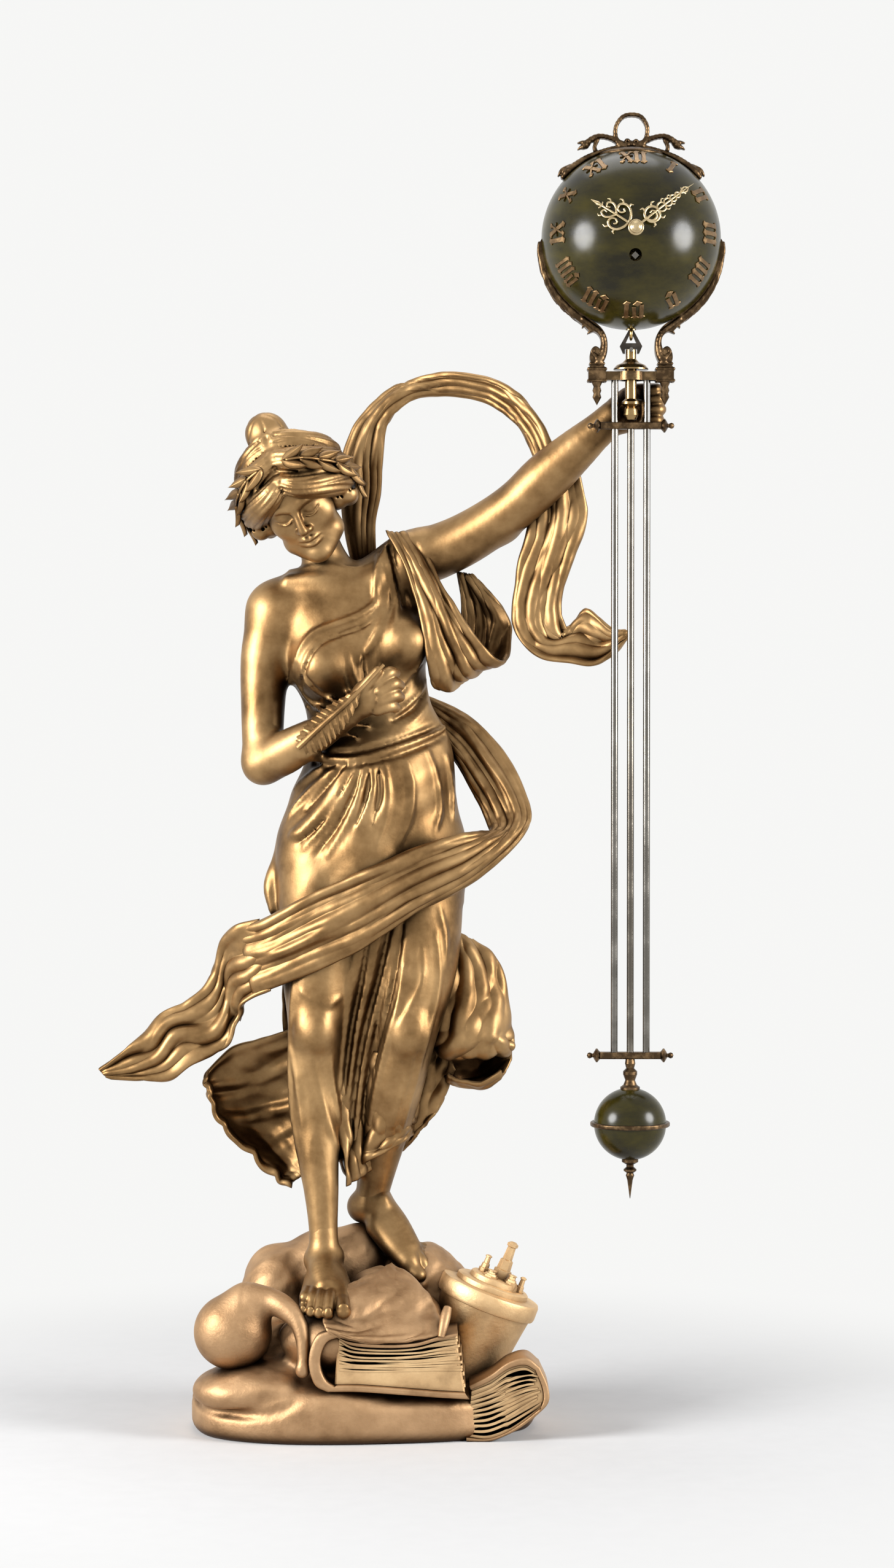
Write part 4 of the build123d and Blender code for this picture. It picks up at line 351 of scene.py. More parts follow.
class Clay:
    """Distance grid in millimetres: forms are pressed in and on, then skinned."""

    def __init__(self, low, high, voxel):
        self.low = np.asarray(low, dtype=float)
        self.voxel = voxel
        self.count = np.ceil((np.asarray(high) - self.low) / voxel).astype(int) + 1
        self.axes = [(self.low[i] + voxel * np.arange(self.count[i])).astype(np.float32) for i in range(3)]
        self.field = np.full(self.count, FAR, dtype=np.float32)

    def part(self, low, high):
        """Slices of the grid over a box, and the coordinates there."""
        cuts = []
        for i in range(3):
            first = int(np.clip(np.floor((low[i] - self.low[i]) / self.voxel), 0, self.count[i] - 1))
            last = int(np.clip(np.ceil((high[i] - self.low[i]) / self.voxel) + 1, first + 1, self.count[i]))
            cuts.append(slice(first, last))
        x, y, z = (self.axes[i][cuts[i]] for i in range(3))
        return tuple(cuts), x[:, None, None], y[None, :, None], z[None, None, :]

    def blend(self, cuts, distance, soft, carve=False):
        """Smooth union, or smooth cut, of a distance into the grid."""
        old = self.field[cuts]
        if carve:
            distance = -distance
            h = np.clip(0.5 - 0.5 * (old - distance) / soft, 0, 1)
            self.field[cuts] = old * (1 - h) + distance * h + soft * h * (1 - h)
        else:
            h = np.clip(0.5 + 0.5 * (old - distance) / soft, 0, 1)
            self.field[cuts] = old * (1 - h) + distance * h - soft * h * (1 - h)

    def limb(self, points, radii, soft, carve=False, samples=0):
        """Round form along a path with changing radius."""
        rows = np.column_stack((np.asarray(points, dtype=float), radii))
        rows = spline(rows, samples or 4 * len(rows))
        margin = rows[:, 3].max() + 2 * soft + 2
        cuts, x, y, z = self.part(rows[:, :3].min(0) - margin, rows[:, :3].max(0) + margin)
        best = None
        for a, b in zip(rows[:-1], rows[1:]):
            run = b[:3] - a[:3]
            length = max(float(run @ run), 1e-6)
            px, py, pz = x - a[0], y - a[1], z - a[2]
            t = np.clip((px * run[0] + py * run[1] + pz * run[2]) / length, 0, 1)
            thick = a[3] + t * (b[3] - a[3])
            d = np.sqrt((px - t * run[0])**2 + (py - t * run[1])**2 + (pz - t * run[2])**2) - thick
            best = d if best is None else np.minimum(best, d)
        self.blend(cuts, best, soft, carve)

    def ball(self, centre, radii, soft, carve=False):
        """Ellipsoid along the axes."""
        r = np.asarray(radii, dtype=float)
        margin = r.max() + 2 * soft + 2
        cuts, x, y, z = self.part(np.asarray(centre) - margin, np.asarray(centre) + margin)
        px, py, pz = x - centre[0], y - centre[1], z - centre[2]
        k0 = np.sqrt((px / r[0])**2 + (py / r[1])**2 + (pz / r[2])**2)
        k1 = np.sqrt((px / r[0]**2)**2 + (py / r[1]**2)**2 + (pz / r[2]**2)**2)
        self.blend(cuts, k0 * (k0 - 1) / np.maximum(k1, 1e-6), soft, carve)

    def stack(self, stations, soft):
        """Upright form through ovals: height, middle x, middle y, half width, half depth."""
        rows = np.asarray(stations, dtype=float)
        reach = rows[:, 3:].max(0) + SIDE_MARGIN
        low = (*(rows[:, 1:3].min(0) - reach), rows[0, 0] - END_MARGIN)
        high = (*(rows[:, 1:3].max(0) + reach), rows[-1, 0] + END_MARGIN)
        cuts, x, y, z = self.part(low, high)
        fine = spline(rows, 160)
        levels = z[0, 0]
        cx, cy, rx, ry = (np.interp(levels, fine[:, 0], fine[:, i])[None, None] for i in (1, 2, 3, 4))
        d = (np.sqrt(((x - cx) / rx)**2 + ((y - cy) / ry)**2) - 1) * np.minimum(rx, ry)
        ends = np.maximum(rows[0, 0] - z, z - rows[-1, 0])
        self.blend(cuts, np.maximum(d, ends), soft)

    def front(self, x, z, side=-1):
        """Depth of the first surface met at x, z from the front (side -1) or the back (side 1)."""
        i, k = (int(round((v - self.low[n]) / self.voxel)) for v, n in ((x, 0), (z, 2)))
        i, k = min(max(i, 0), self.count[0] - 1), min(max(k, 0), self.count[2] - 1)
        solid = np.nonzero(self.field[i, :, k] < 0)[0]
        if not len(solid):
            return None
        return self.axes[1][solid[0] if side < 0 else solid[-1]]

    def strokes(self, lines, *size, **options):
        """Several ridges or grooves of one size."""
        for points in lines:
            self.stroke(points, *size, **options)

    def stroke(self, points, radius, rise, soft, carve=False, side=-1, taper=True):
        """Ridge or groove drawn on the surface along x, z points as seen from the front or the back."""
        path = spline(points, max(6, 5 * len(points)))
        depth = [self.front(x, z, side) for x, z in path]
        known = [i for i, d in enumerate(depth) if d is not None]
        if len(known) < 4:
            return
        path = path[known[0]:known[-1] + 1]
        depth = np.interp(np.arange(known[0], known[-1] + 1), known, [depth[i] for i in known])
        depth = np.convolve(np.pad(depth, 2, mode="edge"), np.ones(5) / 5, mode="valid")
        share = np.linspace(0, 1, len(path))
        size = radius * (0.35 + 0.65 * np.sin(pi * share)**0.6) if taper else np.full(len(path), radius)
        offset = (size - rise * size / radius) * (-1 if carve else 1)
        rows = np.column_stack((path[:, 0], depth - side * offset, path[:, 1]))
        self.limb(rows, size, soft, carve, samples=len(rows))

    def ripple(self, low, high, wave):
        """Adds a height function of x, y, z to the surface inside a box, faded at its faces."""
        cuts, x, y, z = self.part(low, high)
        fade = 1.0
        for axis, a, b in ((x, low[0], high[0]), (y, low[1], high[1]), (z, low[2], high[2])):
            edge = 0.18 * (b - a)
            fade = fade * np.clip((axis - a) / edge, 0, 1) * np.clip((b - axis) / edge, 0, 1)
        self.field[cuts] -= (fade * wave(x, y, z)).astype(np.float32)

    def trim(self, low, high, outside):
        """Cuts away what a function of x, y, z puts above zero inside a box."""
        cuts, x, y, z = self.part(low, high)
        self.field[cuts] = np.maximum(self.field[cuts], outside(x, y, z))

    def skin(self):
        """Surface net of the zero level, smoothed without shrinking: points, quads and normals."""
        v = self.field
        shape = np.array(v.shape) - 1
        inside = v < 0
        total = np.zeros(shape, dtype=np.int8)
        corners = [(i, j, k) for i in (0, 1) for j in (0, 1) for k in (0, 1)]
        for i, j, k in corners:
            total += inside[i:shape[0] + i, j:shape[1] + j, k:shape[2] + k]
        cells = np.argwhere((total > 0) & (total < 8))
        index = np.full(shape, -1, dtype=np.int32)
        index[tuple(cells.T)] = np.arange(len(cells))
        values = np.stack([v[tuple((cells + c).T)] for c in corners], 1)
        sums = np.zeros((len(cells), 3))
        hits = np.zeros(len(cells))
        for a, ca in enumerate(corners):
            for b, cb in enumerate(corners):
                if b > a and sum(abs(p - q) for p, q in zip(ca, cb)) == 1:
                    cross = (values[:, a] < 0) != (values[:, b] < 0)
                    gap = np.where(cross, values[:, a] - values[:, b], 1)
                    t = np.where(cross, values[:, a] / gap, 0)
                    step = np.array(cb) - np.array(ca)
                    sums += cross[:, None] * (np.array(ca) + t[:, None] * step)
                    hits += cross
        verts = self.low + (cells + sums / hits[:, None]) * self.voxel
        quads = []
        for axis in range(3):
            u, w = (axis + 1) % 3, (axis + 2) % 3
            lo = [slice(None)] * 3
            hi = [slice(None)] * 3
            lo[axis], hi[axis] = slice(0, -1), slice(1, None)
            change = inside[tuple(lo)] != inside[tuple(hi)]
            edge = np.argwhere(change)
            good = (edge[:, u] > 0) & (edge[:, w] > 0) & (edge[:, u] < shape[u]) & (edge[:, w] < shape[w])
            edge = edge[good]
            ring = []
            for du, dw in ((-1, -1), (0, -1), (0, 0), (-1, 0)):
                cell = edge.copy()
                cell[:, u] += du
                cell[:, w] += dw
                ring.append(index[tuple(cell.T)])
            quad = np.stack(ring, 1)
            flip = inside[tuple(edge.T)]
            quad[~flip] = quad[~flip][:, ::-1]
            quads.append(quad[(quad >= 0).all(1)])
        faces = np.vstack(quads)
        for amount in SMOOTHING:
            verts = relax(verts, faces, amount)
        return verts, faces, vertex_normals(verts, faces)


def relax(verts, faces, amount):
    """One step of smoothing, each point towards the mean of its neighbours."""
    sums = np.zeros_like(verts)
    count = np.zeros(len(verts))
    for i in range(4):
        a, b = faces[:, i], faces[:, (i + 1) % 4]
        for n in range(3):
            sums[:, n] += np.bincount(a, verts[b, n], len(verts)) + np.bincount(b, verts[a, n], len(verts))
        count += np.bincount(a, minlength=len(verts)) + np.bincount(b, minlength=len(verts))
    return verts + amount * (sums / np.maximum(count, 1)[:, None] - verts)


def cast(clay, name, material, **options):
    """Skinned clay as a piece."""
    verts, faces, normals = clay.skin()
    return add_mesh(name, verts, faces, material, normals=normals, **options)


def split_skin(name, verts, faces, normals, material, keep, **options):
    """Mesh object from the faces whose middles pass a test, with the whole skin's normals."""
    middle = verts[faces].mean(1)
    chosen = faces[keep(middle)]
    used = np.unique(chosen)
    back = np.full(len(verts), -1)
    back[used] = np.arange(len(used))
    return add_mesh(name, verts[used], back[chosen], material, normals=normals[used], **options)


def hills(x, y, z, size, seed):
    """Smooth pseudo-random height built from a few turned waves, about -1 to 1."""
    value = 0.0
    for i in range(4):
        a, b, c = (sin(seed * 1.7 + 2.1 * i + n * 1.3) for n in range(3))
        wave = np.sin((a * x + b * y + c * z) * (2.2 + 0.9 * i) / size + seed + 1.9 * i)
        value = value + wave / (1.4 + 0.5 * i)
    return value / 1.6


# Cloth sheets


# Waves that bend the folds of a sheet: size, turns down and across it, share of the fold's phase
FOLD_WANDER = ((0.62, 1.2, 0.5, 1.0), (0.42, 2.6, -0.8, 2.3), (0.26, 4.7, 0.4, 5.1))
CRUMPLE = 0.55
ROLL_WIDTH = 0.045


def sheet(rows, across, along, thickness, folds, edge_roll=0.0):
    """Closed thin sheet through rows of points; folds are (count, height, drift, fullness, phase)."""
    rows = np.asarray(rows, dtype=float)
    lines = np.stack([spline(row, across) for row in rows])
    net = np.stack([spline(lines[:, i], along) for i in range(across)], 1)
    u = np.linspace(0, 1, across)[None, :]
    v = np.linspace(0, 1, along)[:, None]
    normal = unit(np.cross(np.gradient(net, axis=0), np.gradient(net, axis=1)))
    height = np.zeros((along, across))
    for count, amount, drift, sharp, phase in folds:
        bend = sum(size * np.sin(2 * pi * (down * v + over * u + shift * phase))
                   for size, down, over, shift in FOLD_WANDER)
        crest = 2 * np.sqrt(np.sin(pi * (count * u + drift * v + phase) + bend)**2 + 0.03) - 1.27
        swell = 0.66 + 0.34 * np.sin(2 * pi * (1.4 * v + 0.9 * u + 3.7 * phase))
        height += 1.7 * amount * sharp * swell * crest * np.minimum(1, 4 * np.minimum(v + 0.12, 1.12 - v))
    wide = np.linalg.norm(net[along // 2, 0] - net[along // 2, -1])
    tall = np.linalg.norm(np.diff(net[:, across // 2], axis=0), axis=1).sum()
    fine = hills(u * wide, 0.7 * v * tall, 0.0 * u, 4.5, 6.0)
    height += CRUMPLE * (hills(u * wide, 0.4 * v * tall, 0.0 * u, 9.0, 2.0) + 0.5 * fine)
    if edge_roll:
        height += edge_roll * (np.exp(-(u / ROLL_WIDTH)**2) + np.exp(-((1 - u) / ROLL_WIDTH)**2))
    net = net + height[..., None] * normal
    normal = unit(np.cross(np.gradient(net, axis=0), np.gradient(net, axis=1)))
    half = thickness / 2 * np.ones((along, across))
    rim = np.minimum(np.minimum(u, 1 - u) * across, np.minimum(v, 1 - v) * along)
    half = half * np.clip(0.45 + 0.25 * rim, 0, 1)
    front = (net + half[..., None] * normal).reshape(-1, 3)
    back = (net - half[..., None] * normal).reshape(-1, 3)
    return np.vstack((front, back)), two_sided(along, across)[:, ::-1]


# Base: plinth and rocks in one casting

clay = Clay((-122, -84, -6), (122, 82, 136), 1.5)
CORNERS = ((108, 8), (79, -55), (16, -75), (-61, -76), (-110, -48), (-115, 12), (-70, 67), (44, 69))
FOOTPRINT = spline(CORNERS * 3, 300)[100:200]


def footprint_distance(x, y, points):
    """Distance from x, y to a closed outline, negative inside."""
    best = np.full(np.broadcast(x, y).shape, 1e9)
    inside = np.zeros(best.shape, dtype=bool)
    for a, b in zip(points, np.roll(points, -1, axis=0)):
        run = b - a
        t = np.clip(((x - a[0]) * run[0] + (y - a[1]) * run[1]) / max(run @ run, 1e-9), 0, 1)
        best = np.minimum(best, (x - a[0] - t * run[0])**2 + (y - a[1] - t * run[1])**2)
        if a[1] != b[1]:
            inside ^= ((a[1] > y) != (b[1] > y)) & (x < (b[0] - a[0]) * (y - a[1]) / (b[1] - a[1]) + a[0])
    return np.where(inside, -1, 1) * np.sqrt(best)


cuts, x, y, z = clay.part((-122, -84, -6), (122, 82, 40))
flat = footprint_distance(x[:, :, 0], y[:, :, 0], FOOTPRINT)[:, :, None] + 9.4
side = np.abs(z - 14.0) - 6.0
rounded = np.sqrt(np.maximum(flat, 0)**2 + np.maximum(side, 0)**2)
clay.blend(cuts, rounded + np.minimum(np.maximum(flat, side), 0) - 9.0, 1.0)
# Rocks: middle, half sizes, softness of the joint
ROCKS = (((-82, -40, 30), (34, 33, 16.5), 5), ((-66, -46, 34), (28, 27, 13), 6),
         ((-28, -56, 27), (46, 20, 10), 6), ((-10, 4, 42), (85, 59, 41), 12),
         ((-21, -36, 64), (39, 37, 22), 7), ((-64, 16, 84), (24, 29, 33), 9),
         ((-30, 22, 96), (33, 25, 31), 8), ((-8, 22, 106), (18, 20, 24.5), 9),
         ((36, 20, 86), (28, 29, 31), 8), ((52, 14, 72), (19, 27, 33), 8), ((8, -16, 82), (26, 24, 25.5), 7),
         ((78, -6, 26), (27, 30, 20), 8), ((88, -18, 16), (18, 24, 20), 6), ((98, -16, 13), (12, 22, 13), 5),
         ((22, -26, 70), (28, 26, 28), 7))
for rock in ROCKS:
    clay.ball(*rock)
clay.limb(((-90, -26, 92), (-50, -22, 74), (-66, -44, 58)), (6, 6, 6), 6, carve=True)
clay.limb(((-44, 0, 122), (-40, -16, 104), (-46, -34, 86)), (4, 5, 4), 7, carve=True)
clay.limb(((16, 0, 118), (16, -22, 100), (0, -50, 88)), (3, 5, 4), 7, carve=True)
clay.limb(((-115, -14, 23), (-109, -48, 20), (-92, -62, 19), (-72, -73, 19.5), (-56, -77, 23), (-46, -78, 31),
           (-41, -75, 41)), (1.8, 2.2, 2.4, 2.4, 2.4, 2.2, 2.0), 5, carve=True)
clay.ripple((-122, -84, 8), (122, 82, 136), lambda x, y, z: 1.5 * hills(x, y, z, 26.0, 1.0)
            + 0.8 * hills(x, y, z, 11.0, 4.0) + 0.35 * hills(x, y, z, 5.0, 7.0))
clay.trim((-122, -84, -6), (122, 82, 4), lambda x, y, z: -z)
verts, faces, normals = clay.skin()
verts[:, 2] = np.maximum(verts[:, 2], 0.0)
add_mesh("rock_base", verts, faces, BROWN, normals=normals, replaces=["base_casting"])

# Retort flask: bulb and bent neck swept as one form, with a lip

clay = Clay((-124, -84, 24), (-28, -2, 108), 1.1)
flask_path = sighted(((-82, 80, -46), (-68, 81, -51), (-58, 77, -57), (-49, 68, -63), (-45.6, 56, -67),
    (-45, 44, -69), (-45.4, 36, -70)))
clay.ball(seen(-92, 61, -44), (25.6, 23, 25), 4)
clay.limb(flask_path, (14, 9.2, 7.8, 6.0, 4.7, 3.9, 3.9), 9, samples=40)
clay.limb((flask_path[-1], np.asarray(flask_path[-1]) - (0, 0, 1.4)), (4.8, 4.8), 1.2)
cast(clay, "retort_flask_cast", BROWN, replaces=["retort_flask"])

# Books: page blocks with separate leaves of uneven edge, and cover boards


def slab(outline, front, back):
    """Closed block: x, z outline drawn from front to back depth, rounded a little at both faces."""
    outline = np.asarray(outline, dtype=float)
    middle = outline.mean(0)
    depths = (front, front, front + 1.2, back - 1.2, back, back)
    scale = (0.001, 0.975, 1.0, 1.0, 0.975, 0.001)
    verts = np.concatenate([np.insert(middle + (outline - middle) * s, 1, d, axis=1)
                            for d, s in zip(depths, scale)])
    return verts, grid_faces(len(depths), len(outline), True)


def leaves(upper, lower, front, back, count, seed, spread=1.0):
    """Stack of thin leaves between two lines of x, z points; edges of single leaves stand out by turns."""
    made = []
    upper, lower = spline(upper, 40), spline(lower, 40)
    for i in range(count):
        a, b = i / count, (i + 0.96) / count
        top = upper * (1 - a) + lower * a
        bottom = upper * (1 - b) + lower * b
        wander = 0.5 * np.sin(np.linspace(0, 7, 40) + 1.7 * i + seed)[:, None] * np.array((0, 1.0)) * spread
        end = 1.6 * sin(2.3 * i + seed)
        outline = np.vstack((top + 0.6 * wander, (bottom + 0.6 * wander)[::-1]))
        outline[:, 0] += np.where(outline[:, 0] > outline[:, 0].mean(), end, 0)
        made.append(slab(outline, front + 0.6 * sin(3.1 * i + seed) + 0.8, back))
    return made


def at_front(points, y):
    """x, z pairs of the middle plane moved to depth y."""
    return [(seen(x, z, y)[0], seen(x, z, y)[2]) for x, z in points]


BOOK_Y, BOOK_BACK = -74.0, -34.0
cover_top = at_front(((-28, 61.5), (-15, 54.5), (10, 52.5), (30, 53.5), (45, 57.5), (58, 60)), BOOK_Y)
page_top = at_front(((-22, 57), (-12, 51.6), (10, 50), (30, 51), (45, 55), (57, 57.5)), BOOK_Y)
page_mid = at_front(((-22, 34), (-8, 33.5), (20, 34), (45, 34), (61, 34)), BOOK_Y)
page_low = at_front(((-24, 25), (-8, 25), (20, 23), (45, 21), (63, 20)), BOOK_Y)
spine = at_front(((-28, 61.5), (-36, 58), (-40.5, 48), (-41, 36), (-37, 25), (-29, 20.5)), BOOK_Y)
spine_in = at_front(((-22, 57), (-29, 54), (-33, 46), (-33.4, 37), (-30, 28.5), (-24, 24)), BOOK_Y)
board_low = at_front(((-29, 20.5), (-8, 20.5), (20, 18.6), (45, 16.8), (66, 15.6)), BOOK_Y)
parts = leaves(page_top, page_mid, BOOK_Y, BOOK_BACK, 13, 0.4)
parts += leaves(np.asarray(page_mid) - (0, 0.8), page_low, BOOK_Y + 1.5, BOOK_BACK, 5, 2.0)
inner = slab(np.vstack((spline(page_top, 30), spline(page_low, 30)[::-1])), BOOK_Y + 1.1, BOOK_BACK)
verts, faces = join(parts + [inner])
# Pages in the paler bronze: painted light
add_mesh("front_book_pages", verts, faces, PAINTED_LIGHT_BRONZE, smooth=False, replaces=["front_book"])
strip_out = np.vstack((spline(cover_top, 40)[::-1], spline(spine, 30)[1:], spline(board_low, 40)[1:]))
strip_in = np.vstack((spline(page_top, 40)[::-1], spline(spine_in, 30)[1:], spline(page_low, 40)[1:]))


def wrapped(outer, inner, front, back):
    """Cover board bent round a page block, from two matching lines."""
    middle = 0.5 * (outer + inner)
    steps = ((front, 0.25), (front, 0.8), (front + 1.0, 1.0), (back, 1.0))
    rings = [(outer, *step) for step in steps] + [(inner, *step) for step in steps[::-1]]
    verts = [np.insert(middle + (line - middle) * grow, 1, depth, axis=1) for line, depth, grow in rings]
    verts.append(verts[0])
    return np.concatenate(verts), [tuple(f)[::-1] for f in grid_faces(len(verts), len(outer))]


verts, faces = wrapped(strip_out, strip_in, BOOK_Y - 2.0, BOOK_BACK)
add_mesh("front_book_cover", verts, faces, BROWN)

LOW_Y, LOW_BACK = -62.0, -34.0
fan_top = at_front(((67, 22), (80, 28), (92, 36), (103, 38.5), (110, 35)), LOW_Y)
fan_low = at_front(((64, -10), (78, -11), (92, -6), (104, 2), (114, 10)), LOW_Y)
parts = leaves(fan_top, fan_low, LOW_Y, LOW_BACK, 20, 1.1, 0.7)
fan_end = at_front(((110, 35), (114.5, 24), (115.5, 16), (114, 10)), LOW_Y)
inner = slab(np.vstack((spline(fan_top, 30), spline(fan_end, 20)[1:-1], spline(fan_low, 30)[::-1])),
             LOW_Y + 1.0, LOW_BACK)
verts, faces = join(parts + [inner])
# Pages in the paler bronze: painted light
add_mesh("lower_book_pages", verts, faces, PAINTED_LIGHT_BRONZE, smooth=False, replaces=["lower_book"])
outer = np.vstack((spline(at_front(((66, 25), (80, 32), (92, 40.5), (104, 43.5), (113, 37)), LOW_Y), 40),
                   spline(at_front(((113, 37), (118.5, 24), (118.5, 13), (109, 3)), LOW_Y), 30)[1:],
                   spline(at_front(((109, 3), (96, -6), (78, -13.2), (64, -13.2)), LOW_Y), 40)[1:]))
inner = np.vstack((spline(fan_top, 40), spline(fan_end, 30)[1:],
                   spline(fan_low, 40)[::-1][1:]))
outer[:, 1] = np.maximum(outer[:, 1], 0.2)
inner[:, 1] = np.maximum(inner[:, 1], 0.8)
verts, faces = wrapped(outer, inner, LOW_Y - 2.0, LOW_BACK)
add_mesh("lower_book_cover", verts, faces, BROWN)

# Parchment sheet over the rock, with a curled end on the book

parchment_rows = [sighted(row) for row in (((-24, 88, -50), (-8, 96, -40), (6, 103, -30), (14, 107, -22)),
    ((-30, 78, -62), (-8, 82, -56), (14, 92, -46), (28, 97, -36)),
    ((-32, 68, -69), (-6, 66, -67), (22, 76, -58), (40, 84, -47)),
    ((-30, 62.5, -74), (-6, 57.5, -74), (26, 58, -73), (48, 67, -64)),
    ((-29, 60.8, -76), (-6, 54, -76.5), (26, 54, -76.5), (50, 60, -74)))]
verts, faces = sheet(parchment_rows, 60, 60, 2.4, ((1.3, 1.0, 0.5, 1.0, 0.2), (2.6, 0.5, -0.4, 1.0, 0.6)))
add_mesh("parchment_sheet", verts, faces, BROWN)
roll = sighted(((47, 57, -76), (48.5, 64, -74), (50, 71, -70), (51.5, 77, -66)))
verts, faces = tube(roll, (2.2, 3.0, 3.4, 2.6), 30, 14)
add_mesh("parchment_curl", verts, faces, BROWN)

# Drum with rim band, steps and little towers

LEAN = radians(21)
DRUM_UP = np.array((sin(LEAN), 0.0, cos(LEAN)))
DRUM_FOOT = np.array((63.0, -8.0, 45.6))
drum_profile = ((0, -16), (22, -16), (25.0, -13), (26.0, 0), (27.6, 12), (29.6, 26), (31.0, 35), (31.4, 37.2),
                (33.4, 37.8), (34.0, 39.5), (34.0, 47), (33.2, 48.8), (31.2, 49.2), (25.0, 49.4),
                (24.6, 52.4), (23.6, 53.2), (17.2, 53.4), (16.6, 56.4), (15.6, 57.2), (0, 57.6))
drum = [lathe(drum_profile, DRUM_FOOT, DRUM_UP, 96)]
DRUM_HEIGHT = 57
top = DRUM_FOOT + DRUM_HEIGHT * DRUM_UP
slant = np.array((cos(LEAN), 0.0, -sin(LEAN)))
# Steps of a tower: share of its foot, share of its height
TOWER = ((1, 0.24), (0.8, 0.26), (0.72, 0.5), (0.55, 0.53), (0.46, 0.86), (0.62, 0.88), (0.62, 0.95),
         (0.3, 1), (0, 1))
# Towers: shift along the slant, depth, foot radius, height
TOWERS = ((3.0, 0.0, 6.0, 26.0), (-9.0, 2.0, 3.6, 12.0), (17.5, -3.0, 3.4, 13.0), (-4.0, -9.0, 5.5, 5.0),
          (10.0, -8.0, 4.6, 6.5))
for shift, depth, foot, tall in TOWERS:
    place = top + shift * slant + np.array((0, depth, 0)) - DRUM_UP * (6 if shift > 12 else 0)
    profile = [(0, -3), (foot, -3)] + [(foot * share, tall * height) for share, height in TOWER]
    drum.append(lathe(profile, place, DRUM_UP, 6 if tall > 20 else 8))
verts, faces = join(drum)
# Drum in the paler bronze: painted light
piece = add_mesh("tilted_drum_cast", verts, faces, PAINTED_LIGHT_BRONZE, replaces=["tilted_drum"])
piece.modifiers.new("edges", "EDGE_SPLIT").split_angle = radians(40)

# Figure: body, limbs and clinging dress in one casting

WAIST = 430
clay = Clay((-96, -66, 112), (178, 62, 690), 1.55)
clay.stack(((352, 0, 12, 57, 38), (366, 0.5, 12, 60.5, 40), (382, 0.5, 12, 61.5, 41),
            (400, 0.5, 11, 58.5, 40), (420, 2, 10, 55, 37), (440, 6, 8, 50, 34), (460, 5, 7, 46.5, 31),
            (480, -2, 6, 42.5, 29), (500, -9, 5, 46, 30), (520, -12, 5, 48.5, 30), (540, -16, 6, 50, 27),
            (556, -20, 8, 45, 23), (570, -24, 9, 30, 18)), 6)
# legs
clay.limb(((-28, 8, 384), (-31, 2, 345), (-34, -5, 305), (-36, -11, 268), (-37, -8, 244), (-37, -4, 220),
           (-35.5, -8, 190), (-32.5, -13, 158), (-31, -16, 132), (-30.5, -17, 112)),
          (33, 30.5, 25, 18.5, 17.5, 17.5, 15, 11.6, 9.6, 10.4), 9, samples=90)
clay.ball((-36, -24, 264), (11, 9, 13), 8)
clay.limb(((29, 10, 384), (31, 2, 345), (31, -6, 305), (26, -13, 266), (20, -7, 240), (14, 3, 214),
           (8, 12, 186), (3, 19, 160), (0, 22, 146)), (33, 30.5, 26.5, 19.5, 18.5, 17.5, 14.5, 11.5, 10.6), 9,
          samples=80)
clay.ball((26, -27, 264), (12, 9, 14), 8)
clay.ball((-26, 34, 388), (31, 20, 32), 10)
clay.ball((28, 34, 390), (31, 20, 32), 10)
# cloth between the thighs, falling in front of the hanging folds
clay.limb(((-2, -6, 412), (-2, -9, 382), (-2, -9, 350), (-3, -8, 322), (-4, -5, 290), (-7, -1, 255),
           (-11, 3, 220), (-13, 6, 190), (-13, 8, 170)), (28, 29, 26, 20, 15, 12.5, 11, 9, 7), 8, samples=60)
# chest, belly and shoulders
clay.ball((-30, -14.5, 505), (18.5, 18.5, 18.5), 11)
clay.ball((23, -13.5, 521), (17.5, 17.5, 17.5), 11)
clay.ball((4, -12, 424), (38, 24, 40), 12)
clay.ball((-62, 8, 541), (19.5, 18, 20), 10)
clay.limb(((-22, 8, 560), (-30, 6, 576), (-36.5, 3, 592), (-39.5, 1, 604)), (17, 14.5, 14, 14), 9)
clay.limb(((-14, -7, 556), (-34, -9, 562), (-54, -5, 562)), (3.5, 3.6, 3), 7)
clay.limb(((-12, -8, 556), (2, -8, 562), (16, -4, 573)), (3.5, 3.5, 3), 7)
# bent arm
clay.limb(((-63, 8, 541), (-70, 6, 512), (-71.5, 2, 478), (-71.5, -3, 446), (-71, -5, 440)),
          (18.5, 16.4, 14.6, 13.2, 12.6), 8)
clay.limb(((-71, -5, 441), (-58, -15, 447), (-40, -28, 457), (-24, -37, 466), (-13, -42, 473)),
          (13, 14.2, 12.2, 9.6, 8.2), 7)
# raised arm
clay.limb(((10, 10, 562), (28, 9, 576), (46, 6, 582), (64, 0, 590), (84, -9, 602), (100, -17, 614),
           (116, -25, 629), (134, -34, 645), (150, -41, 659), (160, -45, 668)),
          (21, 20, 18.2, 17.2, 16.2, 15.8, 16.2, 14.0, 11.2, 10.2), 9)
clay.ball((88, -4, 596), (10, 9, 8), 7)
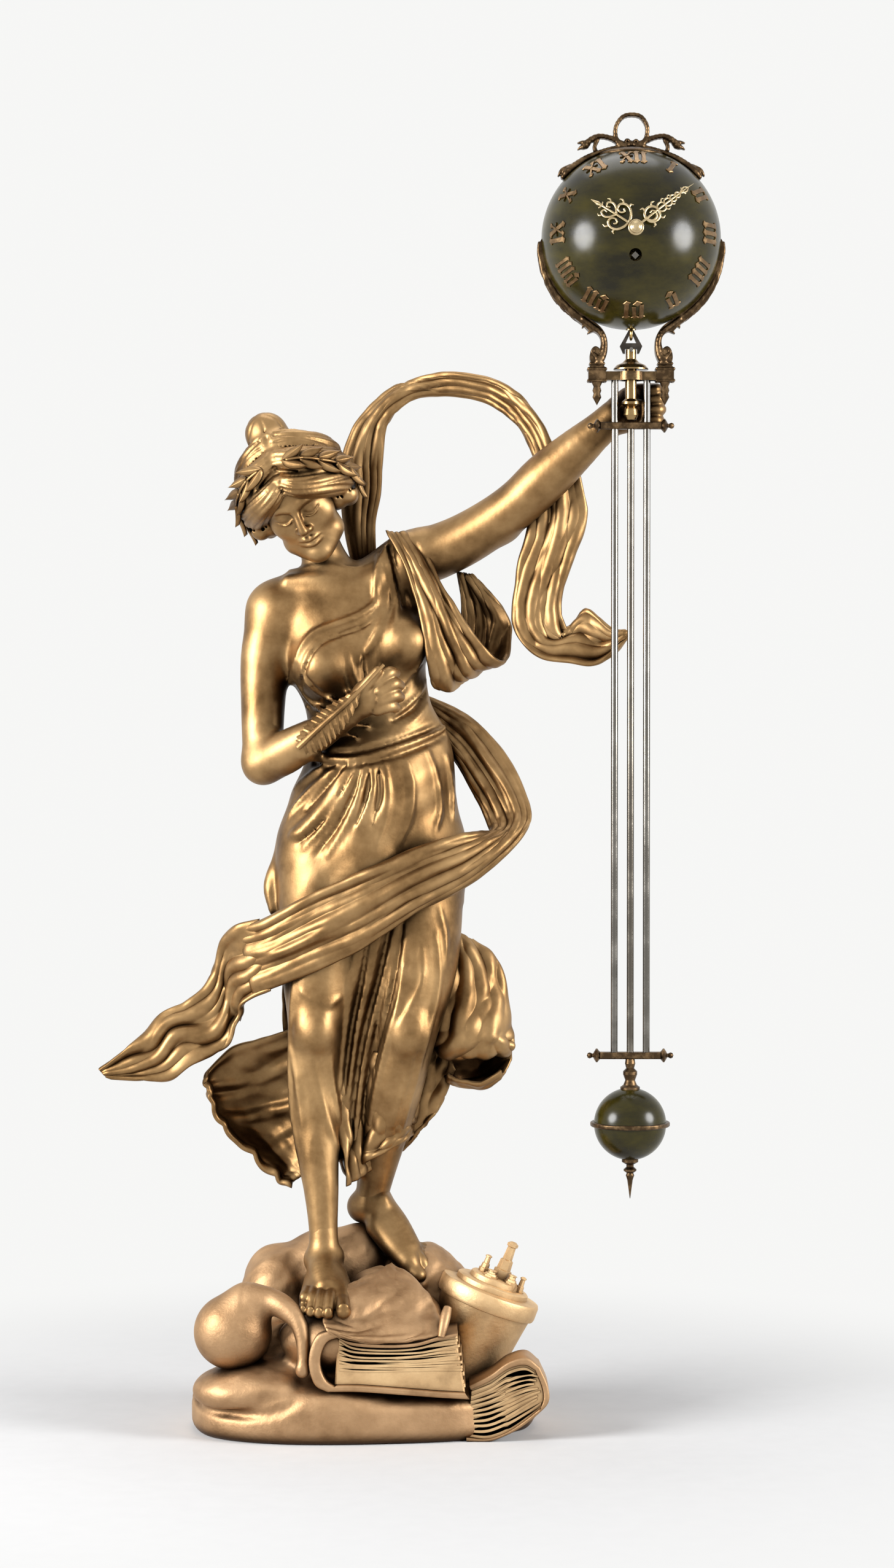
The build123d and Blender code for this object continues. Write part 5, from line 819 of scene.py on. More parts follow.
# dress: cloth over the chest from the raised shoulder to the low armpit
NECKLINE = ((14, 588), (6, 572), (4, 556), (3, 546), (-8, 538), (-24, 532), (-36, 527), (-44, 518),
            (-49, 505), (-54, 488))
clay.stroke(NECKLINE, 2.6, 3.4, 1.6, taper=False)
clay.stroke([(x + 5.5, z - 6) for x, z in NECKLINE[2:]], 1.6, 1.3, 1.4, carve=True, taper=False)
clay.strokes((((8, 593), (14, 566), (18, 545), (16, 526)), ((16, 595), (24, 570), (30, 548), (34, 530)),
              ((24, 594), (33, 572), (38, 552), (39, 534)), ((4, 584), (8, 560), (6, 540), (-4, 524)),
              ((12, 560), (10, 540), (2, 520), (-10, 506))), 2.8, 2.9, 2.2)
clay.strokes((((12, 590), (18, 564), (22, 545)), ((20, 592), (28, 568), (33, 548)),
              ((28, 590), (36, 568), (40, 550))), 1.7, 1.4, 2.5, carve=True)
clay.strokes((((-46, 508), (-38, 492), (-20, 480), (2, 474)), ((-50, 496), (-38, 480), (-16, 468), (8, 464)),
              ((-48, 484), (-30, 466), (-6, 457)), ((36, 512), (26, 496), (10, 482), (-4, 474)),
              ((38, 498), (30, 484), (16, 472)), ((40, 482), (30, 470), (20, 464)),
              ((-14, 512), (-10, 496), (-2, 482)), ((6, 518), (4, 500), (4, 484)),
              ((16, 504), (14, 490), (10, 474)), ((-18, 500), (-14, 486), (-6, 470))), 1.9, 2.0, 1.8)
clay.strokes((((-44, 500), (-32, 486), (-12, 474)), ((-50, 490), (-36, 473), (-12, 462)),
              ((34, 505), (22, 489), (6, 477)), ((38, 490), (28, 477), (14, 468)),
              ((-4, 514), (-3, 496), (1, 478))), 1.7, 1.7, 1.8, carve=True)
# belt and the folds under it
BELT = ((-44, 446), (-30, 444), (-12, 444), (4, 447), (24, 453), (44, 461), (50, 465))
clay.stroke(BELT, 2.2, 1.3, 2.5, taper=False)
clay.stroke([(x, z - 4.6) for x, z in BELT], 1.6, 1.2, 2.5, carve=True, taper=False)
clay.stroke([(x, z + 4.4) for x, z in BELT], 1.6, 1.2, 2.5, carve=True, taper=False)
clay.strokes((((-12, 442), (-22, 426), (-36, 408), (-50, 396)),
              ((-8, 440), (-16, 424), (-28, 402), (-44, 384)), ((-2, 440), (-6, 424), (-14, 402), (-28, 380)),
              ((-20, 440), (-34, 428), (-48, 414), (-55, 404)), ((2, 438), (2, 424), (-2, 410), (-8, 398)),
              ((10, 440), (12, 424), (10, 404), (4, 386)), ((-28, 440), (-40, 432), (-50, 424)),
              ((24, 444), (28, 424), (26, 404), (18, 386)), ((38, 450), (44, 430), (46, 410), (42, 394)),
              ((50, 446), (54, 424), (55, 404))), 2.4, 2.4, 2.2)
clay.strokes((((-10, 438), (-20, 420), (-34, 400), (-48, 388)),
              ((-5, 438), (-11, 420), (-22, 398), (-36, 380)), ((-16, 440), (-28, 426), (-42, 410)),
              ((0, 436), (-2, 420), (-8, 402)), ((6, 438), (7, 420), (2, 400))), 1.7, 2.0, 1.8, carve=True)
# leaf-shaped tail of the belt on the hip
clay.stroke(((-18, 426), (-30, 410), (-44, 396), (-52, 393)), 4.4, 3.4, 3)
# core of the skirt behind the hanging folds, and cloth over the far leg
clay.limb(((-4, 12, 330), (-4, 12, 280), (-2, 14, 230), (0, 17, 200)), (20, 15, 12, 9), 9)
clay.limb(((-58, 12, 384), (-66, 8, 360), (-65, 4, 342)), (4, 5.5, 3), 4)
clay.strokes((((44, 330), (46, 300), (40, 270), (34, 246)), ((34, 322), (34, 296), (20, 268)),
              ((38, 262), (30, 232), (22, 202), (18, 184)), ((28, 250), (22, 224), (15, 200)),
              ((46, 345), (50, 325), (49, 304))), 2.0, 1.9, 2.4)
clay.strokes((((20, 345), (12, 310), (2, 270), (-6, 232), (-10, 196), (-12, 168)),
              ((8, 335), (0, 300), (-9, 262), (-15, 224), (-18, 190)),
              ((-8, 325), (-13, 292), (-17, 258), (-20, 224)),
              ((24, 320), (20, 286), (10, 250), (2, 214), (-3, 180))), 2.4, 2.7, 1.8)
clay.strokes((((14, 335), (6, 300), (-4, 262), (-10, 224), (-13, 186)),
              ((0, 330), (-6, 296), (-13, 258), (-17, 220)),
              ((22, 335), (16, 298), (6, 258), (-3, 220), (-7, 186))), 2.0, 2.2, 1.8, carve=True)
# thin cloth over the near shin, its edge running down to the inside
clay.stroke(((-38, 246), (-34, 226), (-28, 204), (-21, 182), (-14, 164)), 2.0, 1.5, 3, taper=False)
clay.strokes((((-50, 300), (-52, 270), (-53, 240), (-52, 210), (-46, 178)),
              ((-44, 290), (-30, 282), (-20, 286)), ((-52, 252), (-47, 226), (-44, 200)),
              ((-26, 246), (-24, 226), (-20, 200), (-14, 176))), 2.0, 1.7, 2.6)
# back of the dress
clay.strokes((((-40, 470), (-30, 440), (-36, 400), (-44, 350)),
              ((-16, 474), (-10, 440), (-14, 400), (-18, 340)), ((4, 476), (8, 440), (6, 400), (2, 340)),
              ((26, 470), (28, 440), (30, 400), (30, 340)), ((44, 462), (48, 430), (50, 380)),
              ((-34, 540), (-20, 520), (4, 500), (30, 486)), ((20, 585), (6, 560), (-14, 530), (-40, 500)),
              ((28, 580), (18, 550), (6, 520), (-4, 490)), ((-12, 330), (-14, 280), (-10, 230), (-4, 180)),
              ((8, 330), (6, 280), (6, 230), (4, 190))), 3.4, 2.2, 5, side=1)
clay.stroke([(x, z + 2) for x, z in ((-42, 448), (-14, 448), (20, 454), (48, 466))], 2.4, 1.4, 2.5, side=1,
            taper=False)
clay.ripple((-70, -60, 330), (70, 60, 470), lambda x, y, z: 0.5 * hills(x, y, z, 14.0, 3.0))
clay.ripple((-70, -60, 150), (60, 60, 330), lambda x, y, z: 0.4 * hills(x, y, z * 0.4, 9.0, 5.0))
verts, faces, normals = clay.skin()
split_skin("figure_upper", verts, faces, normals, GILT, lambda m: m[:, 2] >= WAIST,
           replaces=["torso_casting", "bent_arm", "raised_arm"])
split_skin("figure_lower", verts, faces, normals, GILT, lambda m: m[:, 2] < WAIST,
           replaces=["right_leg", "left_leg", "skirt_drape"])

# Feet and hands on a finer grid

NEAR_SOLE = 80.5
clay = Clay((-58, -80, 72), (2, 12, 134), 0.9)
clay.limb(((-30.8, -16.5, 134), (-30.6, -17, 122), (-30.5, -16, 108), (-30.5, -10, 99)), (8.9, 9.9, 11, 11),
          5)
clay.ball((-30.5, -5, 95), (10.5, 11, 12), 5)
clay.ball((-39.5, -15, 112), (4, 5, 5), 5)
clay.ball((-21.5, -16, 114), (4, 5, 5), 5)
clay.limb(((-30.5, -20, 112), (-30, -32, 105), (-28.5, -43, 97.5)), (10.5, 10.4, 8.6), 6)
clay.limb(((-22, -28, 101), (-19, -42, 94.5), (-18, -51, 91)), (8, 8.2, 7.0), 6)
clay.limb(((-37, -26, 97), (-38.5, -38, 91.5), (-38.5, -46, 88.5)), (7, 6.8, 5.6), 6)
clay.limb(((-18, -50, 91.5), (-16.8, -62, 89.5), (-16, -70, 86.2)), (6.2, 4.9, 5.0), 2.0)
for x, reach, size in ((-25.6, 68.5, 4.3), (-31.8, 67, 4.0), (-37.4, 64, 3.7), (-42.4, 60, 3.5)):
    clay.limb(((x + 1.4, -45, 96), (x + 0.3, -55, 93.5), (x, 5 - reach, 89.5), (x - 0.3, -reach, 84.8)),
              (size - 0.2, size - 0.3, size - 0.6, size - 0.4), 0.9)
    clay.ball((x - 0.3, -reach - 2.2, 87.2), (size * 0.55, 1.2, 2.0), 0.6)
clay.ball((-16, -73.2, 89.6), (3.6, 1.5, 2.8), 0.8)
clay.trim((-58, -80, 72), (2, 12, 84), lambda x, y, z: NEAR_SOLE - z)
cast(clay, "near_foot", GILT)

clay = Clay((-24, -34, 88), (66, 46, 166), 0.95)
ahead = unit((1.0, -0.62, -0.86))
inner = unit((-0.52, -0.85, 0.0))
above = np.cross(inner, ahead)
above = above if above[2] > 0 else -above
heel = np.array((-6.0, 27.0, 142.0))


def on_foot(forward, sideways, up):
    """Point of the far foot from its heel."""
    return heel + forward * ahead + sideways * inner + up * above


clay.limb(((1, 21.5, 166), (0.5, 22, 152), (0, 22, 142)), (10.2, 10.6, 11.5), 5)
clay.ball(heel + (0, 0, -1), (10.5, 10.5, 11), 5)
clay.ball((8, 12, 147), (4, 4.5, 5), 5)
clay.limb((on_foot(10, 0, 7), on_foot(28, 1, 4), on_foot(46, 2, 1)), (11.5, 11.5, 9), 6)
clay.limb((on_foot(22, 8, 0), on_foot(40, 9, -1), on_foot(54, 9, -2)), (8, 8.4, 7.4), 6)
clay.limb((on_foot(20, -7, -1), on_foot(38, -9, -2), on_foot(50, -10, -3.5)), (7, 7, 5.8), 6)
clay.limb((on_foot(53, 9, -2), on_foot(61, 10, -3.5), on_foot(66, 10, -4)), (6.6, 5.5, 5.4), 2.5)
for sideways, reach, size in ((2.0, 66, 4.2), (-3.8, 64, 3.9), (-9.0, 60.5, 3.6), (-13.4, 56, 3.4)):
    clay.limb((on_foot(48, sideways, 0.5), on_foot(reach - 7, sideways, 1), on_foot(reach, sideways, -4.5)),
              (size, size + 0.3, size), 1.6)
cast(clay, "far_foot", GILT)

POST_ROOM = 9.3
clay = Clay((140, -58, 644), (200, -24, 700), 0.8)
clay.limb(((148, -40, 657), (156, -43.5, 664), (163, -44.5, 670)), (11.6, 10.5, 10.5), 5)
clay.ball((170, -42, 674), (10, 7.5, 13), 6)
clay.ball((166, -43, 666), (9, 8, 9), 6)
for level, reach in ((664.5, 0.0), (671.5, 1.2), (678.5, 1.0), (684.6, -1.0)):
    clay.limb(((172, -39.5, level), (182 + reach, -38.5, level + 0.6), (188.5 + reach, -42.5, level + 0.4),
               (187.5 + reach, -48, level), (183 + reach, -48.6, level - 0.3)), (4.4, 4.2, 4.0, 3.7, 3.3),
              1.5)
clay.limb(((164, -46, 664), (170, -49, 664), (175.5, -50, 668), (176.5, -49.8, 674.5)), (5, 4.6, 4.1, 3.5), 2)
clay.trim((140, -58, 644), (200, -24, 700),
          lambda x, y, z: POST_ROOM - np.sqrt((x - PIVOT[0])**2 + (y - PIVOT[1])**2))
cast(clay, "raised_hand_cast", GILT, replaces=["raised_hand"])

clay = Clay((-26, -62, 456), (26, -26, 516), 0.8)
clay.limb(((-24, -37, 466), (-14, -41.5, 472.5), (-7, -43, 478)), (9.6, 8.3, 8.4), 5)
clay.ball((0, -44.5, 485), (11.5, 8.0, 11.5), 6)
FINGERS = (((5, -49.0, 494), (13, -48.0, 500), (17, -42, 500)),
           ((7.5, -49.5, 488), (16, -48.2, 493), (20, -41, 492)),
           ((7.5, -49.0, 482), (16, -47.4, 485.5), (20, -41, 484.5)),
           ((5.5, -47.5, 476.5), (13.5, -46, 478.5), (17, -41, 477.5)))
for finger in FINGERS:
    clay.limb(finger, (4.6, 4.2, 3.6), 1.3)
clay.limb(((-6, -48, 486), (0, -52, 494), (6, -53.5, 501.5)), (4.6, 4.0, 3.2), 2)
cast(clay, "bent_hand", GILT)

# Quill: split vane on a curved shaft


def feather():
    """Vane of ridged barbs, deeper on its lower side, and a shaft from the lower left to the fingers."""
    shaft = spline(sighted(((-48, 451, -54), (-31, 467, -60), (-13, 483, -63), (9, 506, -58))), 61)
    run = unit(np.gradient(shaft, axis=0))
    across = unit(np.cross(run, (0, -1, 0)))
    across *= np.sign(across[:, 2:])
    rows = []
    for i in range(61):
        share = i / 60
        station = int(3 + share * 43)
        barb = abs((i % 5) - 2.5) / 2.5
        root = sin(pi * min(1.0, 0.10 + share * 0.90))**0.5
        low, high = (reach * root * (0.78 + 0.22 * barb) for reach in (13.0, 8.5))
        row = []
        for a in (-1, -0.75, -0.5, -0.25, 0, 0.25, 0.5, 0.75, 1):
            width = low if a < 0 else high
            relief = -0.9 * barb * min(1.0, 2 * abs(a)) + 2.4 * a * a
            lean = run[station] * 0.45 * width * abs(a)
            row.append(shaft[station] + across[station] * width * a - lean + (0, relief, 0))
        rows.append(row)
    net = np.asarray(rows).reshape(-1, 3)
    vane = np.vstack((net + (0, -0.8, 0), net + (0, 1.4, 0))), two_sided(len(rows), len(rows[0]))
    return join([vane, tube(shaft[::6] + (0, -1.2, 0), np.linspace(2.1, 1.1, len(shaft[::6])), 40, 12)])


verts, faces = feather()
add_mesh("quill_vane", verts, faces, GILT, smooth=False, replaces=["quill_feather"])

# Head in its own frame: a right, b forward, c up; then nodded, turned and tilted


HEAD_NOD, HEAD_SIDE, HEAD_TILT = radians(30), radians(-12), radians(-22)
HEAD_TURN = np.array(Matrix.Rotation(HEAD_TILT, 3, "Y") @ Matrix.Rotation(HEAD_SIDE, 3, "Z")
                     @ Matrix.Rotation(HEAD_NOD, 3, "X"))
HEAD_PLACE = np.array((-48.0, -13.0, 619.0))


def head_place(points):
    """Head-frame points in the model's frame."""
    p = np.asarray(points, dtype=float).reshape(-1, 3)
    return np.column_stack((p[:, 0], -p[:, 1], p[:, 2])) @ HEAD_TURN.T + HEAD_PLACE


def head_piece(name, points, faces, node):
    """Skin in the head's frame, which is mirrored, as a piece that stands for a CAD node."""
    verts, faces = head_place(points), faces[:, ::-1]
    add_mesh(name, verts, faces, GILT, normals=vertex_normals(verts, faces), replaces=[node])


clay = Clay((-34, -42, -50), (34, 44, 44), 0.72)
clay.ball((0, -5, 10), (25.5, 32, 28), 4)
clay.ball((0, 9, -12), (20, 21, 27), 10)
clay.ball((0, 10, 8), (21.5, 20, 20), 8)
clay.limb(((-13, 14, -26), (0, 22.5, -35), (13, 14, -26)), (8, 6.5, 8), 7)
clay.ball((-13.5, 18, -9), (8, 7, 8), 7)
clay.ball((13.5, 18, -9), (8, 7, 8), 7)
for s in (-1, 1):
    clay.ball((s * 9.4, 31.5, -0.5), (7.2, 5.2, 5.0), 4, carve=True)
    clay.ball((s * 9.4, 23.4, -0.6), (6.3, 5.2, 5.2), 2.0)
    clay.limb(((s * 3.8, 28.2, -2.6), (s * 9.4, 28.9, -4.4), (s * 15.2, 25.0, -2.2)), (0.7, 0.8, 0.6), 1.0)
    clay.limb(((s * 3.6, 29.0, -1.2), (s * 9.4, 29.6, -3.0), (s * 15.4, 25.6, -1.0)), (0.5, 0.55, 0.4), 0.8,
              carve=True)
    clay.limb(((s * 3.4, 29.6, 6.2), (s * 9.5, 28.6, 8.2), (s * 17, 22.5, 6.0)), (2.2, 2.3, 1.7), 3)
    clay.ball((s * 3.5, 30.4, -11.6), (2.5, 3.0, 2.3), 1.8)
clay.limb(((0, 28.0, 8), (0, 30.0, 2), (0, 33.4, -5), (0, 35.0, -9.6)), (2.6, 2.3, 2.6, 3.0), 2.5)
clay.ball((0, 33.6, -10.8), (3.2, 3.2, 2.8), 2)
clay.limb(((-7.6, 25.8, -20.4), (-3, 29.6, -18.9), (0, 30.0, -19.5), (3, 29.6, -18.9), (7.6, 25.8, -20.4)),
          (1.2, 1.9, 1.8, 1.9, 1.2), 1.6)
clay.limb(((-6.4, 26.2, -22.8), (0, 29.4, -24.0), (6.4, 26.2, -22.8)), (1.3, 2.4, 1.3), 1.8)
clay.limb(((-8.2, 27.6, -20.9), (-3, 31.6, -21.2), (0, 32.0, -21.6), (3, 31.6, -21.2), (8.2, 27.6, -20.9)),
          (0.4, 0.6, 0.6, 0.6, 0.4), 1.2, carve=True)
clay.limb(((0, 33.2, -15), (0, 32.0, -18)), (0.9, 1.0), 1.4, carve=True)
clay.limb(((-5, 31.2, -27.2), (0, 31.8, -28), (5, 31.2, -27.2)), (1.6, 2.0, 1.6), 3, carve=True)
clay.ball((0, 25.0, -33.5), (6.5, 5.0, 5.5), 4)
clay.limb(((0, -5, -14), (0, -4, -23), (0, -1, -31)), (15.5, 14.5, 13.5), 6)
head_piece("calm_head", *clay.skin()[:2], "head_casting")

# Hair: full waves swept from a parting over the temples, curls at the ears, smooth bun

HAIR_MIDDLE = np.array((0.0, -7.0, 9.0))
BUN = np.array((-3.0, -18.0, 38.0))
WAVES = (((2, 26, 23, 6.0), (9, 28.5, 19.5, 8.0), (18, 24, 13.5, 9.5), (26, 14, 6, 10.5), (30, 3, -2, 10.5),
          (28, -8, -9, 9.5), (21, -18, -14, 8.0)),
         ((2, 12, 33, 8.0), (12, 15, 30, 9.5), (22, 11, 22, 10.5), (29, 3, 13, 10.5), (31, -7, 4, 9.5),
          (27, -18, -4, 9.0)), ((2, -3, 38, 8.0), (12, -2, 34, 10.0), (22, -5, 26, 10.0), (28, -12, 15, 9.5),
         (25, -23, 4, 9.0)))
clay = Clay((-50, -56, -42), (50, 48, 74), 0.85)
clay.ball((0, -8, 10), (28, 33, 29), 3)
for s in (-1, 1):
    for wave in WAVES:
        clay.limb([(s * a, b, c) for a, b, c, r in wave], [r for *_, r in wave], 3.5)
    clay.ball((s * 24, 1, -9), (9.5, 13, 12), 4)
    clay.ball((s * 19, -13, -16), (12, 13, 12), 5)
    clay.ball((s * 32, 7, -11), (6.8, 6.8, 7.0), 2.5)
    clay.ball((s * 29, -4, -18), (6.6, 7.0, 6.6), 2.5)
clay.limb(((-16, -26, -12), (0, -32, -15), (16, -26, -12)), (10, 10.5, 10), 5)
clay.limb(((0, -6, 32), (-2, -14, 38), BUN), (13, 10, 10), 6)
clay.ball(BUN + (0, 0, 2), (14.2, 13.6, 14.4), 4)
for s in (-1, 1):
    for number, wave in enumerate(WAVES):
        axis = spline([(s * a, b, c, r) for a, b, c, r in wave], 22)
        run = unit(np.gradient(axis[:, :3], axis=0))
        out = unit(axis[:, :3] - HAIR_MIDDLE)
        out = unit(out - run * np.sum(out * run, axis=1)[:, None])
        across = np.cross(run, out)
        for k, turn in enumerate((-78, -58, -40, -21, -3, 16, 34, 52)):
            angle = np.radians(turn + 9 * np.sin(np.linspace(0, 5.5, 22) + 1.9 * k + number))[:, None] * s
            rows = axis[:, :3] + axis[:, 3:] * (out * np.cos(angle) + across * np.sin(angle))
            size = 1.05 * np.sin(np.linspace(0.25, pi - 0.2, 22))**0.5 * (1.0 if k % 2 else 0.72)
            clay.limb(rows, size, 0.9, carve=True, samples=22)
for k in range(6):
    turn = radians(60 * k)
    rows = []
    for t in np.linspace(0.1, 0.9, 6):
        rows.append(BUN + (0, 0, 2) + 14.4 * np.array((sin(pi * t) * cos(turn + t),
                    sin(pi * t) * sin(turn + t), cos(pi * t))))
    clay.limb(rows, (0.3, 0.6, 0.7, 0.7, 0.6, 0.3), 1.2, carve=True)
clay.limb(((0, 36, 21), (0, 30, 32), (0, 16, 41), (0, 0, 46)), (1.0, 2.0, 2.2, 1.2), 2.5, carve=True)
hair_points, faces, _ = clay.skin()
head_piece("waved_hair", hair_points, faces, "hair_casting")

# Wreath of leaves lying on the hair


def on_hair(direction):
    """Outermost point of the hair met along a direction from the middle of the head."""
    reach = hair_points - HAIR_MIDDLE
    near = unit(reach) @ unit(direction) > 0.9965
    return HAIR_MIDDLE + unit(direction) * np.linalg.norm(reach[near], axis=1).max()


def leaf(place, along, outward, length, width):
    """Pointed leaf with a raised midrib, curved away from what it lies on."""
    along, outward = unit(along), unit(outward)
    side = np.cross(along, outward)
    rows = []
    for t in np.linspace(0, 1, 11):
        half = width * (sin(pi * t**0.8))**0.85 + 0.05
        spine = np.asarray(place) + along * length * (t - 0.5) + outward * (2.2 * t * t + 0.5)
        rows.append([spine + side * half * a + outward * (0.9 * (1 - abs(a)) - 0.8 * a * a)
                     for a in (-1, -0.5, -0.12, 0, 0.12, 0.5, 1)])
    net = np.asarray(rows).reshape(-1, 3)
    return np.vstack((net + outward * 0.5, net - outward * 0.9)), two_sided(len(rows), len(rows[0]))


BAND = ((9, 20, 34), (17, 18, 30), (25, 15, 23), (31, 10, 15), (35, 4, 6), (36, -2, -4), (34, -4, -14))
crown = []
for s in (-1, 1):
    for j in range(len(BAND) - 1):
        start, end = (np.array((s * a, b, c)) - HAIR_MIDDLE for a, b, c in BAND[j:j + 2])
        run = on_hair(end) - on_hair(start)
        out = unit(0.5 * (start + end))
        side = unit(np.cross(run, out))
        for k in (-1, 1):
            base = on_hair(0.5 * (start + end) + side * 3.4 * k)
            crown.append(leaf(base + out * 0.4, run + side * 5.0 * k + out * 1.5, out, 17.5 - 1.5 * (j % 2),
                         3.1))
        crown.append(tube((on_hair(start) + out * 0.6, on_hair(0.5 * (start + end)) + out * 0.9,
                     on_hair(end) + out * 0.6), (1.0, 1.0, 1.0), 8, 8))
verts, faces = join(crown)
add_mesh("laurel_leaves", head_place(verts), [f[::-1] for f in faces], GILT, replaces=["laurel_wreath"])

# Drapery: closed sheets through stations read on the middle plane, each with its depth


def between(edges, count=4):
    """Rows with even points between two edge readings, bowed towards the viewer by the last number."""
    rows = []
    for first, last, bow in edges:
        share = np.linspace(0, 1, count)[:, None]
        row = np.asarray(first) * (1 - share) + np.asarray(last) * share
        row[:, 2] -= bow * np.sin(pi * share[:, 0])
        rows.append(row)
    return rows


def gilt_sheet(name, rows, across, along, thickness, folds, edge_roll=0.0, replaces=()):
    """Closed sheet as a gilt piece."""
    verts, faces = sheet(rows, across, along, thickness, folds, edge_roll)
    add_mesh(name, verts, faces, GILT, normals=vertex_normals(verts, faces), replaces=replaces)


def cloth(name, rows, across, along, thickness, folds, node=None, edge_roll=0.0):
    """Draped sheet through rows of readings; it stands for a CAD node if one is named."""
    gilt_sheet(name, [sighted(row) for row in rows], across, along, thickness, folds, edge_roll,
               [node] if node else ())


cloth("scarf_arch_cloth", between((((-12, 572, 30), (3, 576, 30), 2), ((-18, 600, 33), (3, 600, 31), 3),
      ((-20, 625, 35), (7, 622, 31), 3), ((-19, 645, 36), (8, 640, 30), 3),
      ((-11, 665, 36), (10, 660, 28), 3), ((0, 678, 35), (13, 668, 26), 2), ((15, 690, 33), (19, 676, 25), 1),
      ((30, 695.5, 26), (30, 683, 29), 0), ((45, 698.5, 19), (45, 684.5, 29), -1),
      ((60, 698.5, 14), (60, 684, 26), -1), ((80, 695, 9), (77, 680, 20), -1),
      ((92, 689, 3), (88, 674, 14), -1), ((103, 680, -2), (97, 666, 7), -1),
      ((113, 668, -8), (105, 655, 1), 0), ((121, 652, -12), (110, 642, -6), 0),
      ((128, 641, -11), (108, 633, -5), 0), ((138, 627, -15), (107, 621, -11), 0)), 5), 44, 170, 4.2,
      ((2.2, 1.5, 0.35, 0.8, 0.1), (4.6, 0.7, -0.6, 0.9, 0.4)), "scarf_arch", 0.9)
cloth("scarf_tail_cloth", between((((108, 640, -15), (139, 634, -18), 1),
      ((107, 624, -14), (142, 620, -18), 3), ((107, 608, -12), (144, 608, -17), 4),
      ((104, 592, -11), (142, 594, -16), 4), ((100, 576, -10), (136, 578, -15), 4),
      ((97, 560, -10), (130, 561, -14), 4), ((95, 545, -10), (127, 546, -13), 4),
      ((95, 532, -11), (129, 533, -12), 4), ((102, 519, -13), (133, 527, -10), 3),
      ((114, 510, -16), (138, 533, -8), 2), ((131, 507, -18), (144, 543, -10), 0),
      ((148, 504.5, -20), (152, 538, -16), -2), ((161, 512, -22), (161, 530, -20), -2),
      ((171, 525, -22), (171, 528, -22), 0)), 5), 48, 170, 3.6,
      ((2.6, 2.1, 0.3, 0.75, 0.2), (5.4, 0.7, -0.4, 0.9, 0.5)), "scarf_tail", 1.2)
cloth("sleeve_cloth", between((((10, 594, -5), (27, 594, 3), 2), ((22, 574, -14), (39, 575, -9), 3),
      ((30, 550, -21), (50, 553, -17), 3), ((35, 528, -23), (62, 535, -21), 3),
      ((38, 508, -22), (74, 520, -21), 2), ((41, 493, -17), (85, 510, -15), 1),
      ((47, 488, -5), (91, 513, -3), -1), ((55, 497, 6), (93.5, 524, 7), -4),
      ((60, 520, 11), (91, 537, 10), -4), ((61, 545, 11), (81, 552, 10), -3),
      ((58, 568, 8), (67, 566, 8), -1)), 5), 54, 170, 3.4,
      ((2.4, 2.2, 0.2, 0.75, 0.1), (5.2, 0.8, 0.5, 0.9, 0.3)), "sleeve_drape", 1.0)
cloth("hip_sash_cloth", between((((34, 487, 24), (46, 460, 18), 0), ((50, 481, 26), (53, 447, 18), 1),
      ((65, 473, 24), (60, 436, 14), 2), ((80, 460, 19), (67, 423, 9), 2), ((94, 441, 11), (73, 412, 2), 2),
      ((104, 420, 1), (78, 400, -6), 1), ((107, 405, -9), (79, 395, -15), 0),
      ((102, 393, -19), (72, 392.5, -23), 1), ((90, 379, -27), (60, 392, -31), 2),
      ((70, 362, -32), (45, 389, -37), 3), ((50, 350, -36), (28, 384, -40), 3),
      ((30, 340, -39), (6, 374, -41), 3), ((10, 327, -39), (-16, 364, -40), 3),
      ((-10, 314, -37), (-36, 355, -38), 3), ((-32, 304, -33), (-56, 345, -34), 3),
      ((-56, 294, -27), (-74, 336, -26), 2), ((-78, 285, -18), (-88, 332, -14), 1)), 5), 56, 250, 3.8,
      ((2.6, 2.0, 0.5, 0.75, 0.15), (5.6, 0.9, -0.5, 0.9, 0.3), (9.0, 0.35, 0.8, 1.0, 0.1)), "hip_sash", 1.0)
cloth("sash_tail_cloth", between((((-74, 337, -22), (-66, 289, -22), 1),
      ((-88, 333, -15), (-79, 284, -17), 1), ((-98, 324, -5), (-87, 277, -13), -2),
      ((-104, 308, 1), (-88, 266, -10), -3), ((-111, 291, 1), (-93, 254, -8), 2),
      ((-124, 281, -2), (-105, 246, -8), 3), ((-140, 274, -4), (-120, 239, -10), 3),
      ((-152, 260, -6), (-134, 229, -10), 2), ((-166, 247, -8), (-151, 229, -12), 1),
      ((-181, 236, -10), (-176, 231, -12), 0)), 5), 46, 130, 3.4,
      ((2.4, 2.4, 0.3, 0.75, 0.0), (5.0, 0.9, -0.5, 0.9, 0.4)), "sash_tail", 0.9)
cloth("knot_hollow_cloth", between((
    ((-72, 332, -6), (-60, 296, -8), 0), ((-86, 329, 4), (-74, 288, 2), 0), ((-97, 321, 7), (-84, 280, 4), 0),
    ((-102, 307, 5), (-87, 268, 0), 0)), 4), 24, 40, 3.0, ((2.0, 1.4, 0.2, 0.8, 0.3),))
